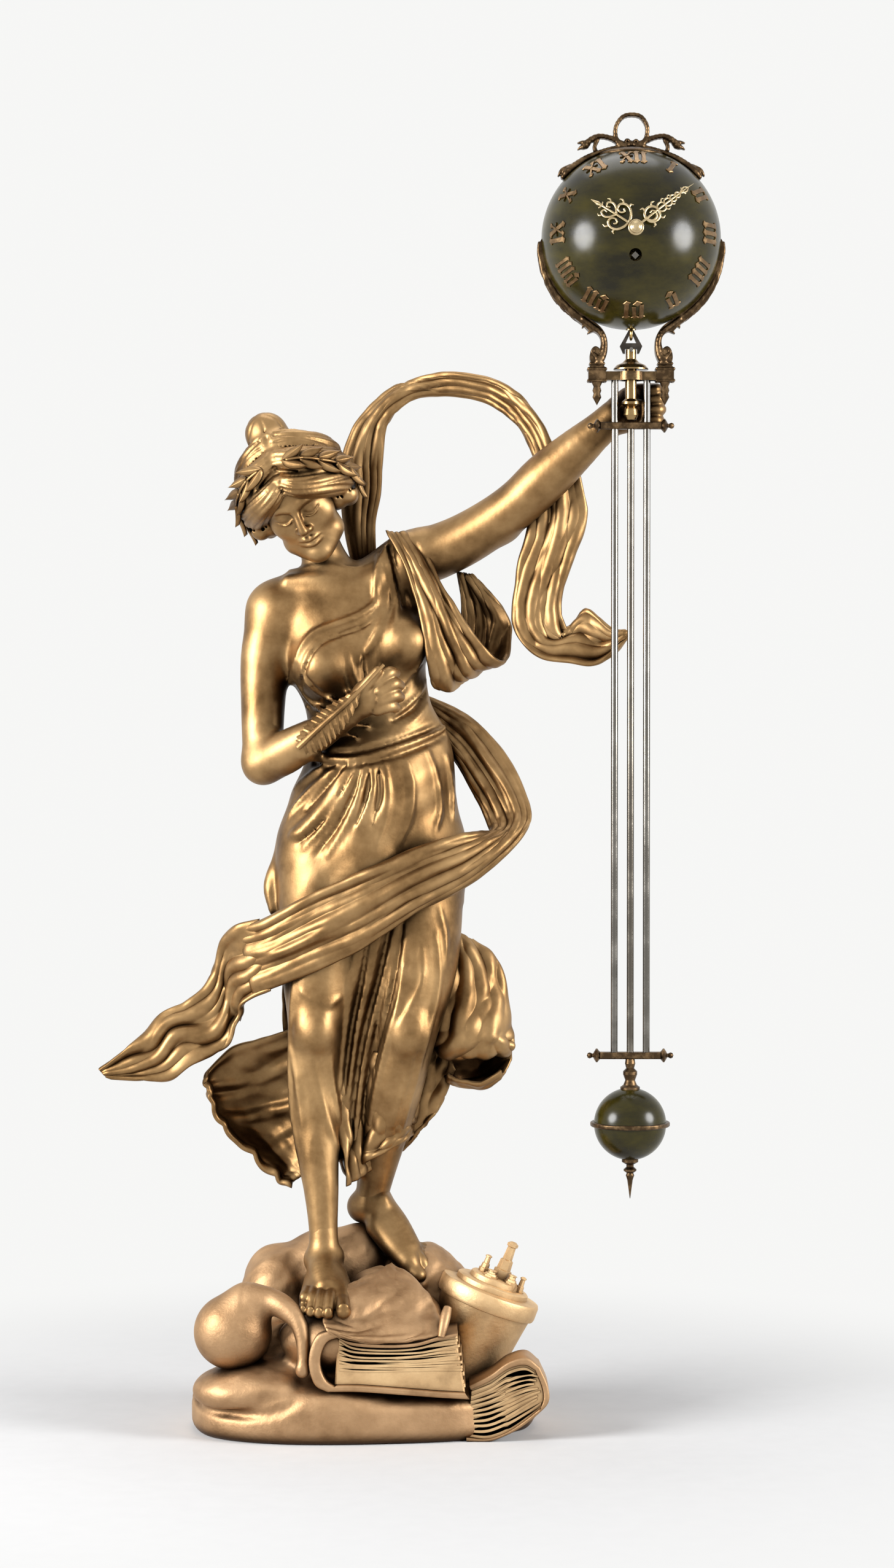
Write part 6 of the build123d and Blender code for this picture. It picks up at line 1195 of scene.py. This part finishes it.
cloth("left_cape_cloth", (
    ((-44, 266, 4), (-60, 260, 5), (-76, 256, 8), (-92, 251, 10), (-106, 238, 8), (-111, 229, 2)),
    ((-44, 250, 8), (-60, 244, 17), (-76, 238, 21), (-92, 232, 20), (-107, 226, 12), (-106, 221, 2)),
    ((-44, 232, 12), (-58, 226, 21), (-72, 219, 25), (-86, 212, 23), (-100, 208, 13), (-100, 202, 3)),
    ((-43, 212, 14), (-54, 206, 22), (-65, 199, 25), (-75, 193, 23), (-86, 190, 14), (-84, 185, 6)),
    ((-41, 190, 11), (-47, 186, 17), (-53, 181, 20), (-60, 175, 19), (-67, 171, 13), (-66, 166, 7)),
    ((-36, 170, 4), (-40, 168, 7), (-44, 166, 9), (-48, 164, 10), (-52, 161, 9), (-52, 158, 6))),
    80, 80, 3.2, ((0.4, 1.5, 3.4, 0.9, 0.1), (0.8, 0.8, 6.2, 0.9, 0.3)), "left_cape", 1.6)
cloth("billow_cloth", (((40, 334, 4), (50, 331, 8), (60, 327, 10), (68, 323, 12)),
      ((40, 316, 0), (56, 315, 2), (70, 315, 6), (82, 313, 12)),
      ((38, 300, -2), (58, 298, -4), (76, 297, 2), (89, 298, 11)),
      ((36, 284, -2), (58, 280, -8), (78, 279, -4), (93.5, 278, 9)),
      ((35, 268, -2), (58, 264, -11), (80, 263, -9), (96, 260, 6)),
      ((34, 258, -1), (56, 252, -12), (78, 254, -11), (95.5, 252, 4)),
      ((36, 252, 4), (56, 244, -5), (76, 246, -4), (93, 247, 6)),
      ((40, 252, 10), (57, 247, 4), (75, 249, 5), (90, 249, 10))), 60, 110, 3.0,
      ((2.4, 1.7, 0.6, 0.75, 0.2), (5.2, 0.8, 1.1, 0.9, 0.1)), "right_cape", 0.6)
cloth("billow_roll", (((40, 264, 16), (58, 262, 20), (80, 262, 20), (95, 256, 12)),
      ((42, 246, 20), (60, 241, 26), (78, 241, 24), (94, 244, 11)),
      ((46, 236, 16), (60, 230, 20), (76, 229, 18), (91, 236, 7)),
      ((50, 230.5, 8), (60, 225.5, 8), (73, 224, 6), (88.5, 232, 2)),
      ((51, 233, 2), (60, 229, 0), (73, 228, -1), (87, 236, -2))), 50, 60, 3.0, ((1.6, 0.8, 0.7, 0.9, 0.1),),
      None, 0.5)
cloth("billow_fall", (((28, 268, 4), (40, 262, 6), (50, 252, 10), (57, 236, 12)),
      ((23, 242, 8), (34, 238, 9), (45, 229, 12), (52, 224, 12)),
      ((17, 215, 11), (27, 212, 11), (37, 208, 13), (45, 209, 12)),
      ((9, 192, 12), (18, 191, 12), (26, 191, 14), (33, 195, 13)),
      ((0, 174, 11), (8, 176, 11), (15, 179, 13), (21, 182, 13))), 44, 80, 3.0,
      ((1.6, 1.5, 0.3, 0.8, 0.2), (3.4, 0.6, 0.5, 0.9, 0.4)), None, 0.8)
cloth("skirt_cloth", (((-22, 306, -16), (-10, 308, -11), (4, 308, -11), (22, 306, -18)),
      ((-23, 262, -12), (-10, 262, 0), (4, 262, 0), (15, 262, -13)),
      ((-23, 225, -9), (-11, 225, 0), (4, 225, 5), (15, 225, -1)),
      ((-21, 194, -11), (-10, 192, -2), (4, 190, 7), (17, 192, 6)),
      ((-17, 158, -12), (-8, 163, -3), (4, 171, 7), (20, 182, 11))), 60, 110, 2.6,
      ((3.2, 2.6, 0.25, 0.8, 0.0), (6.5, 0.7, -0.3, 0.9, 0.2)), None, 0.8)


# Hem round the far shin: rings of x, y, z, radius and sideways lift; the front is at 90 degrees
HEM_RINGS = ((19, -4, 246, 17.5, 4), (15.5, 2, 224, 17.6, 2), (11.5, 8, 204, 17.5, -3),
             (9, 12, 190, 18.5, -8), (7, 13, 180, 20.5, -11))
HEM_ANGLES = np.radians(np.linspace(-40, 215, 9))
hem_rows = [[(x - r * cos(t), y - r * sin(t), z + lift * cos(t)) for t in HEM_ANGLES]
            for x, y, z, r, lift in HEM_RINGS]
gilt_sheet("hem_cloth", hem_rows, 70, 60, 2.6, ((4.5, 1.3, 0.5, 0.9, 0.2), (8.5, 0.5, -0.4, 0.9, 0.5)), 0.6)
# Back of the skirt: rows of x, y at a height
skirt_rows = [[(x, y, z) for x, y in row] for z, row in (
    (402, ((-55, 16), (-41, 33), (-16, 44), (16, 44), (41, 33), (54, 16))),
    (376, ((-60, 16), (-45, 39), (-17, 51), (17, 51), (45, 39), (59, 16))),
    (345, ((-60, 14), (-45, 37), (-16, 44), (16, 44), (43, 37), (56, 14))),
    (312, ((-59, 12), (-44, 33), (-16, 38), (14, 38), (38, 32), (50, 14))),
    (280, ((-58, 12), (-43, 30), (-18, 34), (10, 34), (32, 28), (45, 14))),
    (250, ((-57, 16), (-42, 30), (-20, 34), (2, 33), (20, 27), (34, 16))),
    (225, ((-53, 20), (-40, 29), (-24, 32), (-8, 31), (8, 27), (22, 20))),
    (195, ((-42, 20), (-32, 26), (-20, 29), (-8, 28), (4, 26), (14, 22))),
    (172, ((-26, 18), (-20, 22), (-13, 25), (-6, 25), (2, 24), (9, 22))))]
gilt_sheet("skirt_back_cloth", skirt_rows, 90, 110, 3.0,
           ((4.4, 2.4, 0.3, 0.9, 0.1), (8.0, 0.9, -0.4, 0.9, 0.4)), 0.6)

# Pendulum: bow on the ball, leaves on the brackets, raised numerals and pierced hands


def round_ball(angle, lift):
    """Point beside the ball at an angle down from its top, in the plane of the dial's axis."""
    return (BALL_RADIUS + lift) * sin(radians(angle)), (BALL_RADIUS + lift) * cos(radians(angle))


def ribbon_limb(clay, centre, points, radii, spread, soft=0.8, ridges=0.0):
    """Cast ribbon seen on its edge: limbs side by side through the depth, with cross ridges along it."""
    rows = spline(np.column_stack((np.asarray(points, dtype=float), radii)), 9 * len(points))
    run = np.concatenate(([0], np.cumsum(np.linalg.norm(np.diff(rows[:, :2], axis=0), axis=1))))
    thick = rows[:, 2] * (1 + ridges * np.sin(2 * pi * run / 2.6))
    for shift in np.linspace(-spread, spread, max(2, int(round(2 * spread / 1.6)) + 1)):
        path = np.insert(rows[:, :2], 1, shift, axis=1) + centre
        clay.limb(path, thick, soft, samples=len(rows))


clay = Clay((116, -67, 806), (224, -53, 864), 0.55)
ribbon_limb(clay, BALL, ((-7.0, 59.5), (-10.0, 65.5), (-9.8, 73), (-5.6, 78.9), (0.4, 80.4), (6.3, 78.9),
            (10.1, 73), (9.8, 66), (7.2, 61.5), (5.0, 59.5)),
            (1.7, 1.45, 1.3, 1.3, 1.3, 1.3, 1.3, 1.4, 1.6, 1.7), 2.6, 0.8, 0.10)
for side in (-1, 1):
    def flip(points):
        """Points on one side of the bow."""
        return [(side * x, z) for x, z in points]
    ribbon_limb(clay, BALL, flip(((3.5, 60.4), (9, 63.2), (15, 65.8), (21.5, 66.4), (27, 63.6), (31, 59.6))),
                (1.8, 1.6, 1.5, 1.6, 1.8, 1.5), 2.4, 0.8, 0.10)
    ribbon_limb(clay, BALL, flip([round_ball(a, 1.6) for a in (4, 12, 20, 28, 36, 43, 47.5)]),
                (1.6, 1.5, 1.5, 2.0, 2.3, 2.5, 1.6), 2.8, 0.9, 0.08)
    ribbon_limb(clay, BALL, flip(((28, 61.6), (31, 62.6), (34.5, 62.2))), (1.6, 1.3, 0.5), 1.4)
    ribbon_limb(clay, BALL, flip(((29, 60), (32, 59.6), (34.5, 58.0))), (1.5, 1.2, 0.5), 1.4)
    ribbon_limb(clay, BALL, flip(((22, 64), (23.6, 60), (23, 56.5))), (1.5, 1.3, 1.5), 1.2)
    ribbon_limb(clay, BALL, flip([round_ball(a, b) for a, b in ((40, 3.4), (45, 5.0), (49, 4.4))]),
                (1.6, 1.5, 0.6), 1.6)
for x, z, r in ((-6.5, 60.2, 3.0), (0, 61.0, 3.4), (6.5, 60.2, 3.0), (-2.6, 63.6, 1.9), (3.0, 63.4, 1.7)):
    clay.ball(BALL + (x, -1.5, z), (r, 3.6, 0.8 * r), 0.9)
clay.trim((116, -67, 806), (224, -53, 864), lambda x, y, z: BALL_RADIUS - np.sqrt(
    (x - BALL[0])**2 + (y - BALL[1])**2 + (z - BALL[2])**2))
verts, faces, _ = clay.skin()
cap = lathe([round_ball(a, b) for a, b in ((21, -0.2), (21, 0.7), (20, 1.2), (14, 1.4), (7, 1.4), (0, 1.4))],
            BALL, (0, 0, 1), 72)
saddle = np.vstack((verts, cap[0]))
saddle_faces = np.vstack((faces, cap[1] + len(verts)))
add_mesh("bow_cast", saddle, saddle_faces, AGED, "pendulum", replaces=["bow_ornament"])


def leaf_bracket(side, name):
    """Acanthus leaf, stem ridges and scroll over one bracket."""
    clay = Clay((106, -67, 686), (162, -53, 784), 0.55)

    def at(angle, lift):
        across, up = round_ball(90 - angle, lift)
        return -across, BALL[2] - PIVOT[2] + up

    def stem(points, *shape):
        ribbon_limb(clay, PIVOT, [(-x, z) for x, z in points], *shape)

    ribbon_limb(clay, PIVOT, [at(a, 1.5) for a in (-2, -10, -20, -30, -40, -50, -59)],
                (0.8, 1.3, 1.6, 1.8, 1.9, 1.9, 1.6), 3.4)
    for number, angle in enumerate(range(-7, -60, -6)):
        lift = min(4.9, 2.3 - 0.075 * angle)
        for depth in (-3.6, 0.2, 3.8):
            wave = 1.6 * sin(1.9 * number + depth)
            path = (at(angle + 4, 1.2), at(angle + wave - 1, 0.75 * lift), at(angle + wave - 5, lift))
            clay.limb([PIVOT + (x, depth, z) for x, z in path], (1.4, 1.3, 0.5), 0.7)
    stem(((31, 19.5), (25.4, 15.2), (20.4, 11.6), (17.8, 7), (17.3, 2.4), (18.2, -3), (21, -8)),
         (1.8, 1.9, 1.8, 1.7, 1.8, 2.1, 2.6), 4.2, 0.8, 0.06)
    stem(((22, 13.6), (25.5, 12.4), (28.0, 10.4)), (1.7, 1.3, 0.5), 3.0)
    stem(((27.5, 17.5), (30, 16.0), (31.6, 14.2)), (1.7, 1.2, 0.5), 3.0)
    stem(((20.6, -7), (23, -4.4), (25.0, -1.6), (23.2, 0.9), (20.9, -0.6), (22.0, -3)),
         (2.0, 1.6, 1.3, 1.2, 1.0, 0.9), 4.2, 0.7)
    for height, half, thick in ((-9.2, 4.0, 1.1), (-12.6, 5.2, 1.2), (-20.0, 5.4, 1.0)):
        for depth in (-4.4, 4.4):
            clay.limb([PIVOT + (-22 - half, depth, height), PIVOT + (-22 + half, depth, height)],
                      (thick, thick), 0.5)
        for end in (-half, half):
            clay.limb([PIVOT + (-22 + end, -4.4, height), PIVOT + (-22 + end, 4.4, height)], (thick, thick),
                      0.5)
    verts, faces, _ = clay.skin()
    if side > 0:
        verts = (verts - PIVOT) * (-1.0, 1.0, 1.0) + PIVOT
        faces = faces[:, ::-1]
    add_mesh(name, verts, faces, AGED, "pendulum")


leaf_bracket(-1, "left_bracket_leaf")
leaf_bracket(1, "right_bracket_leaf")

# Numerals in broad-pen strokes; each stroke is a convex outline, bevelled and laid on the ball


def diamond(u, v, size):
    """Pen diamond at the end of a stroke."""
    return [(u - size, v - 0.25 * size), (u - 0.1 * size, v + 0.8 * size), (u + size, v + 0.25 * size),
            (u + 0.1 * size, v - 0.8 * size)]


def bar(u0, v0, u1, v1, width):
    """Pen stroke between two points, cut level at both ends."""
    return [(u0 - width / 2, v0), (u0 + width / 2, v0), (u1 + width / 2, v1), (u1 - width / 2, v1)]


PEN = {"I": (4.2, [bar(0, -5.4, 0, 5.4, 2.5), diamond(0, 5.7, 2.1), diamond(0, -5.7, 2.1)]),
       "V": (7.6, [bar(-2.1, -4.6, -2.1, 5.4, 2.5), diamond(-2.1, 5.7, 2.2), bar(2.0, -3.0, 1.4, 4.6, 2.3),
             diamond(1.2, 5.5, 2.0), bar(-1.4, -4.8, 1.4, -5.0, 2.4), diamond(0.2, -5.6, 2.6)]),
       "X": (7.4, [bar(2.2, -5.4, -2.2, 5.4, 2.6), bar(-2.5, -5.2, 2.5, 5.2, 1.1), diamond(-2.4, 5.7, 1.9),
             diamond(2.5, 5.6, 1.6), diamond(2.4, -5.7, 1.9), diamond(-2.5, -5.6, 1.6),
             bar(-3.4, -0.5, 3.4, 0.5, 1.0)])}


def raised(outline, place, across, upward, heights):
    """Bevelled block on the ball from a convex outline."""
    flat = np.asarray(outline, dtype=float)
    ends = np.roll(flat, -1, axis=0)
    fine = np.vstack([a + (b - a) * t for a, b in zip(flat, ends) for t in (0, 1 / 3, 2 / 3)])
    middle = fine.mean(0)
    rings = []
    for height, shrink in heights:
        reach = np.linalg.norm(fine - middle, axis=1, keepdims=True)
        inner = middle + (fine - middle) * np.maximum(1 - shrink / np.maximum(reach, 1e-6), 0.05)
        spot = place + inner[:, :1] * across + inner[:, 1:] * upward
        rings.append(BALL + unit(spot - BALL) * (BALL_RADIUS + height))
    count = len(fine)
    faces = [tuple(f) for f in grid_faces(len(rings), count, True)]
    faces.append(tuple((len(rings) - 1) * count + i for i in range(count)))
    return np.vstack(rings), faces


NUMERAL_GROWTH = 1.2
NUMERAL_POLAR = radians(57.5)
NUMERAL_ROOM = 14.5
blocks = []
for hour, name in enumerate("I II III IIII V VI VII VIII IX X XI XII".split(), start=1):
    turn = radians(30 * hour)
    outward = np.array((sin(NUMERAL_POLAR) * sin(turn), -cos(NUMERAL_POLAR), sin(NUMERAL_POLAR) * cos(turn)))
    across = np.array((cos(turn), 0.0, -sin(turn)))
    upward = np.cross(outward, across)
    upward = upward if upward @ np.array((sin(turn), 0, cos(turn))) > 0 else -upward
    width = sum(PEN[letter][0] for letter in name)
    squeeze = min(1.0, NUMERAL_ROOM / width)
    left = -width * squeeze / 2
    for letter in name:
        wide, strokes = PEN[letter]
        for number, stroke in enumerate(strokes):
            outline = [(NUMERAL_GROWTH * (left + (wide / 2 + u) * squeeze), NUMERAL_GROWTH * v)
                       for u, v in stroke]
            blocks.append(raised(outline, BALL + outward * BALL_RADIUS, across, upward,
                                 ((-0.3, 0.0), (0.42 + 0.012 * number, 0.0), (0.80 + 0.012 * number, 0.38))))
        left += wide * squeeze
verts, faces = join(blocks)
add_mesh("raised_numerals", verts, faces, COPPER, "pendulum", smooth=False, replaces=["hour_numerals"])

# Hands: scrolls of flat wire bent over the ball


def hand(name, node, body, angle, lift, curves):
    """Pierced hand from curves of (across, along) points with radii, bent to the ball."""
    turn = radians(angle)
    across, along = np.array((cos(turn), 0.0, -sin(turn))), np.array((sin(turn), 0.0, cos(turn)))
    reach = BALL_RADIUS + lift
    wires = []
    for points, radii in curves:
        count = max(10, 7 * len(points))
        flat = spline(points, count)
        depth = np.sqrt(reach**2 - (flat**2).sum(1))
        path = BALL + flat[:, :1] * across + flat[:, 1:] * along - depth[:, None] * np.array((0.0, 1.0, 0.0))
        share = np.linspace(0, 1, len(radii))
        wide = np.interp(np.linspace(0, 1, count), share, radii)
        wires.append(tube(path, wide, count, 10, 0.62))
    hub = BALL - np.array((0.0, reach, 0.0))
    wires.append(lathe(((2.2, -0.5), (4.6, -0.5), (5.0, -0.2), (5.0, 0.2), (4.6, 0.45), (2.2, 0.45)), hub,
                 (0, -1, 0), 48))
    verts, faces = join(wires)
    add_mesh(name, verts, faces, PALE_BRASS, body, replaces=[node])


def mirrored(curves):
    """Curves with their twins on the other side of the stem."""
    return [*curves, *(([(-u, v) for u, v in points], radii) for points, radii in curves)]


def ring_of(v, radius):
    """Closed ring on the stem."""
    return [(radius * sin(t), v - radius * cos(t)) for t in np.linspace(0, 2 * pi, 13)]


hour_curves = [(((0, 4), (0, 15), (0, 27)), (0.8, 0.7, 0.6)),
               (((0, 25.5), (0, 28.5), (0, 31), (0, 33.9)), (0.6, 1.5, 0.8, 0.15)),
               (((-2.4, 26.6), (0, 25.8), (2.4, 26.6)), (0.35, 0.7, 0.35))]
hour_curves += mirrored([(((0.4, 5.5), (4, 6.6), (7.6, 9.4), (8.6, 13.4), (6.6, 16.6), (3.6, 16.2),
    (2.6, 13.4), (4.4, 11.6), (5.8, 13)), (0.9, 0.85, 0.8, 0.8, 0.75, 0.7, 0.6, 0.55, 0.6)),
    (((8.2, 10.6), (10.2, 10.8), (11.0, 9.2)), (0.6, 0.6, 0.25)),
    (((8.2, 14.8), (10.0, 16.6), (9.6, 18.6)), (0.6, 0.6, 0.25)),
    (((0.4, 15.2), (3.6, 17.6), (5.0, 20.6), (3.6, 23.6), (1.4, 22.8), (1.8, 20.6)),
     (0.75, 0.7, 0.7, 0.65, 0.6, 0.45)), (((4.6, 22.0), (6.2, 23.6), (5.6, 25.2)), (0.5, 0.5, 0.2))])
hand("hour_hand_scrolls", "hour_hand", "hour_train", 304.25, 2.05, hour_curves)
minute_curves = [(((0, 4), (0, 20), (0, 36), (0, 48.9)), (0.8, 0.65, 0.55, 0.12)),
    (ring_of(13.2, 4.9), (0.85, 0.8, 0.85)), (((-0.2, 8.6), (3.0, 10.4), (3.2, 14.0), (0.6, 16.0),
    (-1.8, 14.6), (-1.6, 12.4)), (0.7, 0.7, 0.65, 0.6, 0.5, 0.5)),
    (((-2.6, 39.4), (0, 38.6), (2.6, 39.4)), (0.3, 0.75, 0.3))]
minute_curves += [(ring_of(v, r), (0.6, 0.55, 0.6)) for v, r in ((20.9, 2.9), (26.1, 2.5), (30.6, 2.1),
    (34.4, 1.7))]
minute_curves += mirrored([(((4.4, 10.8), (6.4, 10.6), (7.0, 8.8)), (0.6, 0.6, 0.25)),
    (((4.2, 16.0), (6.0, 17.4), (5.6, 19.4)), (0.6, 0.6, 0.25)),
    (((2.6, 22.4), (4.0, 24.0), (3.4, 25.4)), (0.5, 0.45, 0.2)),
    (((2.2, 27.4), (3.4, 28.8), (2.8, 30)), (0.45, 0.4, 0.2)),
    (((0.4, 37), (1.6, 41), (0.3, 43.5)), (0.4, 0.5, 0.3))])
hand("minute_hand_scrolls", "minute_hand", "minute_train", 51.0, 3.85, minute_curves)
nut = np.array([v.co for v in NODES["hand_nut"].data.vertices]) * 1000
nut_front, nut_back = nut[:, 1].min(), nut[:, 1].max()
tall = nut_back - nut_front
NUT = ((0, 0), (3.6, 0), (4.0, 0.15), (4.0, 0.35), (3.4, 0.5), (3.0, 0.55), (2.6, 0.8), (1.6, 0.96), (0, 1))
verts, faces = lathe([(r, height * tall) for r, height in NUT], (BALL[0], nut_back, BALL[2]), (0, -1, 0), 48)
add_mesh("hand_nut_turned", verts, faces, PALE_BRASS, "minute_train", replaces=["hand_nut"])

# CAD pieces that show as they are

LOOKS = {"polished_brass": BRASS, "aged_brass": AGED, "copper_gold": COPPER, "green_lacquer": GREEN,
         "bright_steel": STEEL, "blued_steel": DARK_STEEL, "lead": LEAD, "gilt_bronze": GILT,
         "brown_bronze": BROWN}
SLOTS = {entry["node"]: entry["material_slot"] for entry in frame["record"]["subparts"]}
SPECIAL = {"crosshead": CROSSHEAD, "centre_rod": DARK_ROD, "pivot_post": POST_BRASS}
for name, piece in NODES.items():
    piece.data.materials.clear()
    piece.data.materials.append(SPECIAL.get(name, LOOKS[SLOTS[name]]))

# Floor, light and camera


FLOOR_RADIUS = 7
FLOOR_FADE = (0.14, 0.62)


def stage_floor():
    """Pale round floor that fades into the background colour away from the object."""
    mesh = bpy.data.meshes.new("floor")
    turns = np.linspace(0, 2 * pi, 64, endpoint=False)
    ring = [(FLOOR_RADIUS * cos(a), FLOOR_RADIUS * sin(a), 0.0) for a in turns]
    mesh.from_pydata(ring, [], [tuple(range(len(ring)))])
    floor = bpy.data.objects.new("floor", mesh)
    bpy.context.scene.collection.objects.link(floor)
    material, tree, shader, node = new_material("pale_floor")
    shader.inputs["Roughness"].default_value = 0.9
    shader.inputs["Specular IOR Level"].default_value = 0.0
    coords = node("ShaderNodeTexCoord").outputs["Object"]
    speck = noise(node, tree, coords, 60.0, 3.0)
    tree.links.new(ramp(node, tree, speck, ((0.3, (0.71,) * 3), (0.7, (0.73,) * 3))),
                   shader.inputs["Base Color"])
    length = node("ShaderNodeVectorMath", operation="LENGTH")
    tree.links.new(coords, length.inputs[0])
    reach = node("ShaderNodeMapRange", interpolation_type="SMOOTHSTEP")
    reach.inputs["From Min"].default_value, reach.inputs["From Max"].default_value = FLOOR_FADE
    tree.links.new(length.outputs["Value"], reach.inputs["Value"])
    glow = node("ShaderNodeEmission")
    glow.inputs["Color"].default_value = (*PAPER, 1.0)
    gate = node("ShaderNodeMath", operation="MULTIPLY")
    tree.links.new(reach.outputs["Result"], gate.inputs[0])
    tree.links.new(watching(node, tree), gate.inputs[1])
    blend = node("ShaderNodeMixShader")
    tree.links.new(gate.outputs["Value"], blend.inputs["Fac"])
    tree.links.new(shader.outputs["BSDF"], blend.inputs[1])
    tree.links.new(glow.outputs["Emission"], blend.inputs[2])
    tree.links.new(blend.outputs["Shader"], tree.nodes["Material Output"].inputs["Surface"])
    mesh.materials.append(material)


def watching(node, tree):
    """One for rays from the camera, from gloss and through glass; nothing for the rest."""
    path = node("ShaderNodeLightPath")
    total = path.outputs["Is Camera Ray"]
    for name in ("Is Glossy Ray", "Is Transmission Ray"):
        add = node("ShaderNodeMath", operation="ADD", use_clamp=True)
        tree.links.new(total, add.inputs[0])
        tree.links.new(path.outputs[name], add.inputs[1])
        total = add.outputs["Value"]
    return total


PAPER = (0.925, 0.925, 0.915)
AMBIENT = (0.18, 0.18, 0.19)
stage_floor()
world = bpy.data.worlds.new("studio")
bpy.context.scene.world = world
world.use_nodes = True
tree = world.node_tree
world_node = node_maker(tree)
air = mix(world_node, tree, watching(world_node, tree), AMBIENT, PAPER)
tree.links.new(air, tree.nodes["Background"].inputs["Color"])

# Lamps: name, place and target in metres, width and height, watts
LAMPS = (("left_softbox", (-1.38, -0.78, 0.80), (0.05, 0.0, 0.55), (0.85, 0.85), 42.0),
         ("right_softbox", (1.72, -0.74, 0.80), (0.1, 0.0, 0.55), (0.85, 0.85), 38.0),
         ("top_softbox", (0.0, 0.5, 2.1), (0.0, 0.0, 0.4), (1.3, 1.0), 7.0))
for name, place, target, size, power in LAMPS:
    lamp = bpy.data.lights.new(name, "AREA")
    lamp.shape = "ELLIPSE"
    lamp.size, lamp.size_y = size
    lamp.energy = power
    holder = bpy.data.objects.new(name, lamp)
    holder.location = place
    holder.rotation_euler = (Vector(target) - Vector(place)).to_track_quat("-Z", "Y").to_euler()
    bpy.context.scene.collection.objects.link(holder)

LOOK_DOWN = 1.2625
lens = bpy.data.cameras.new("camera")
lens.sensor_fit = "VERTICAL"
lens.sensor_height = 36.0
lens.lens = 81.87
lens.clip_end = 60.0
camera = bpy.data.objects.new("camera", lens)
camera.location = EYE * MM
camera.rotation_euler = (radians(90 - LOOK_DOWN), 0.0, 0.0)
bpy.context.scene.collection.objects.link(camera)
bpy.context.scene.camera = camera
bpy.context.scene.view_settings.view_transform = "Standard"
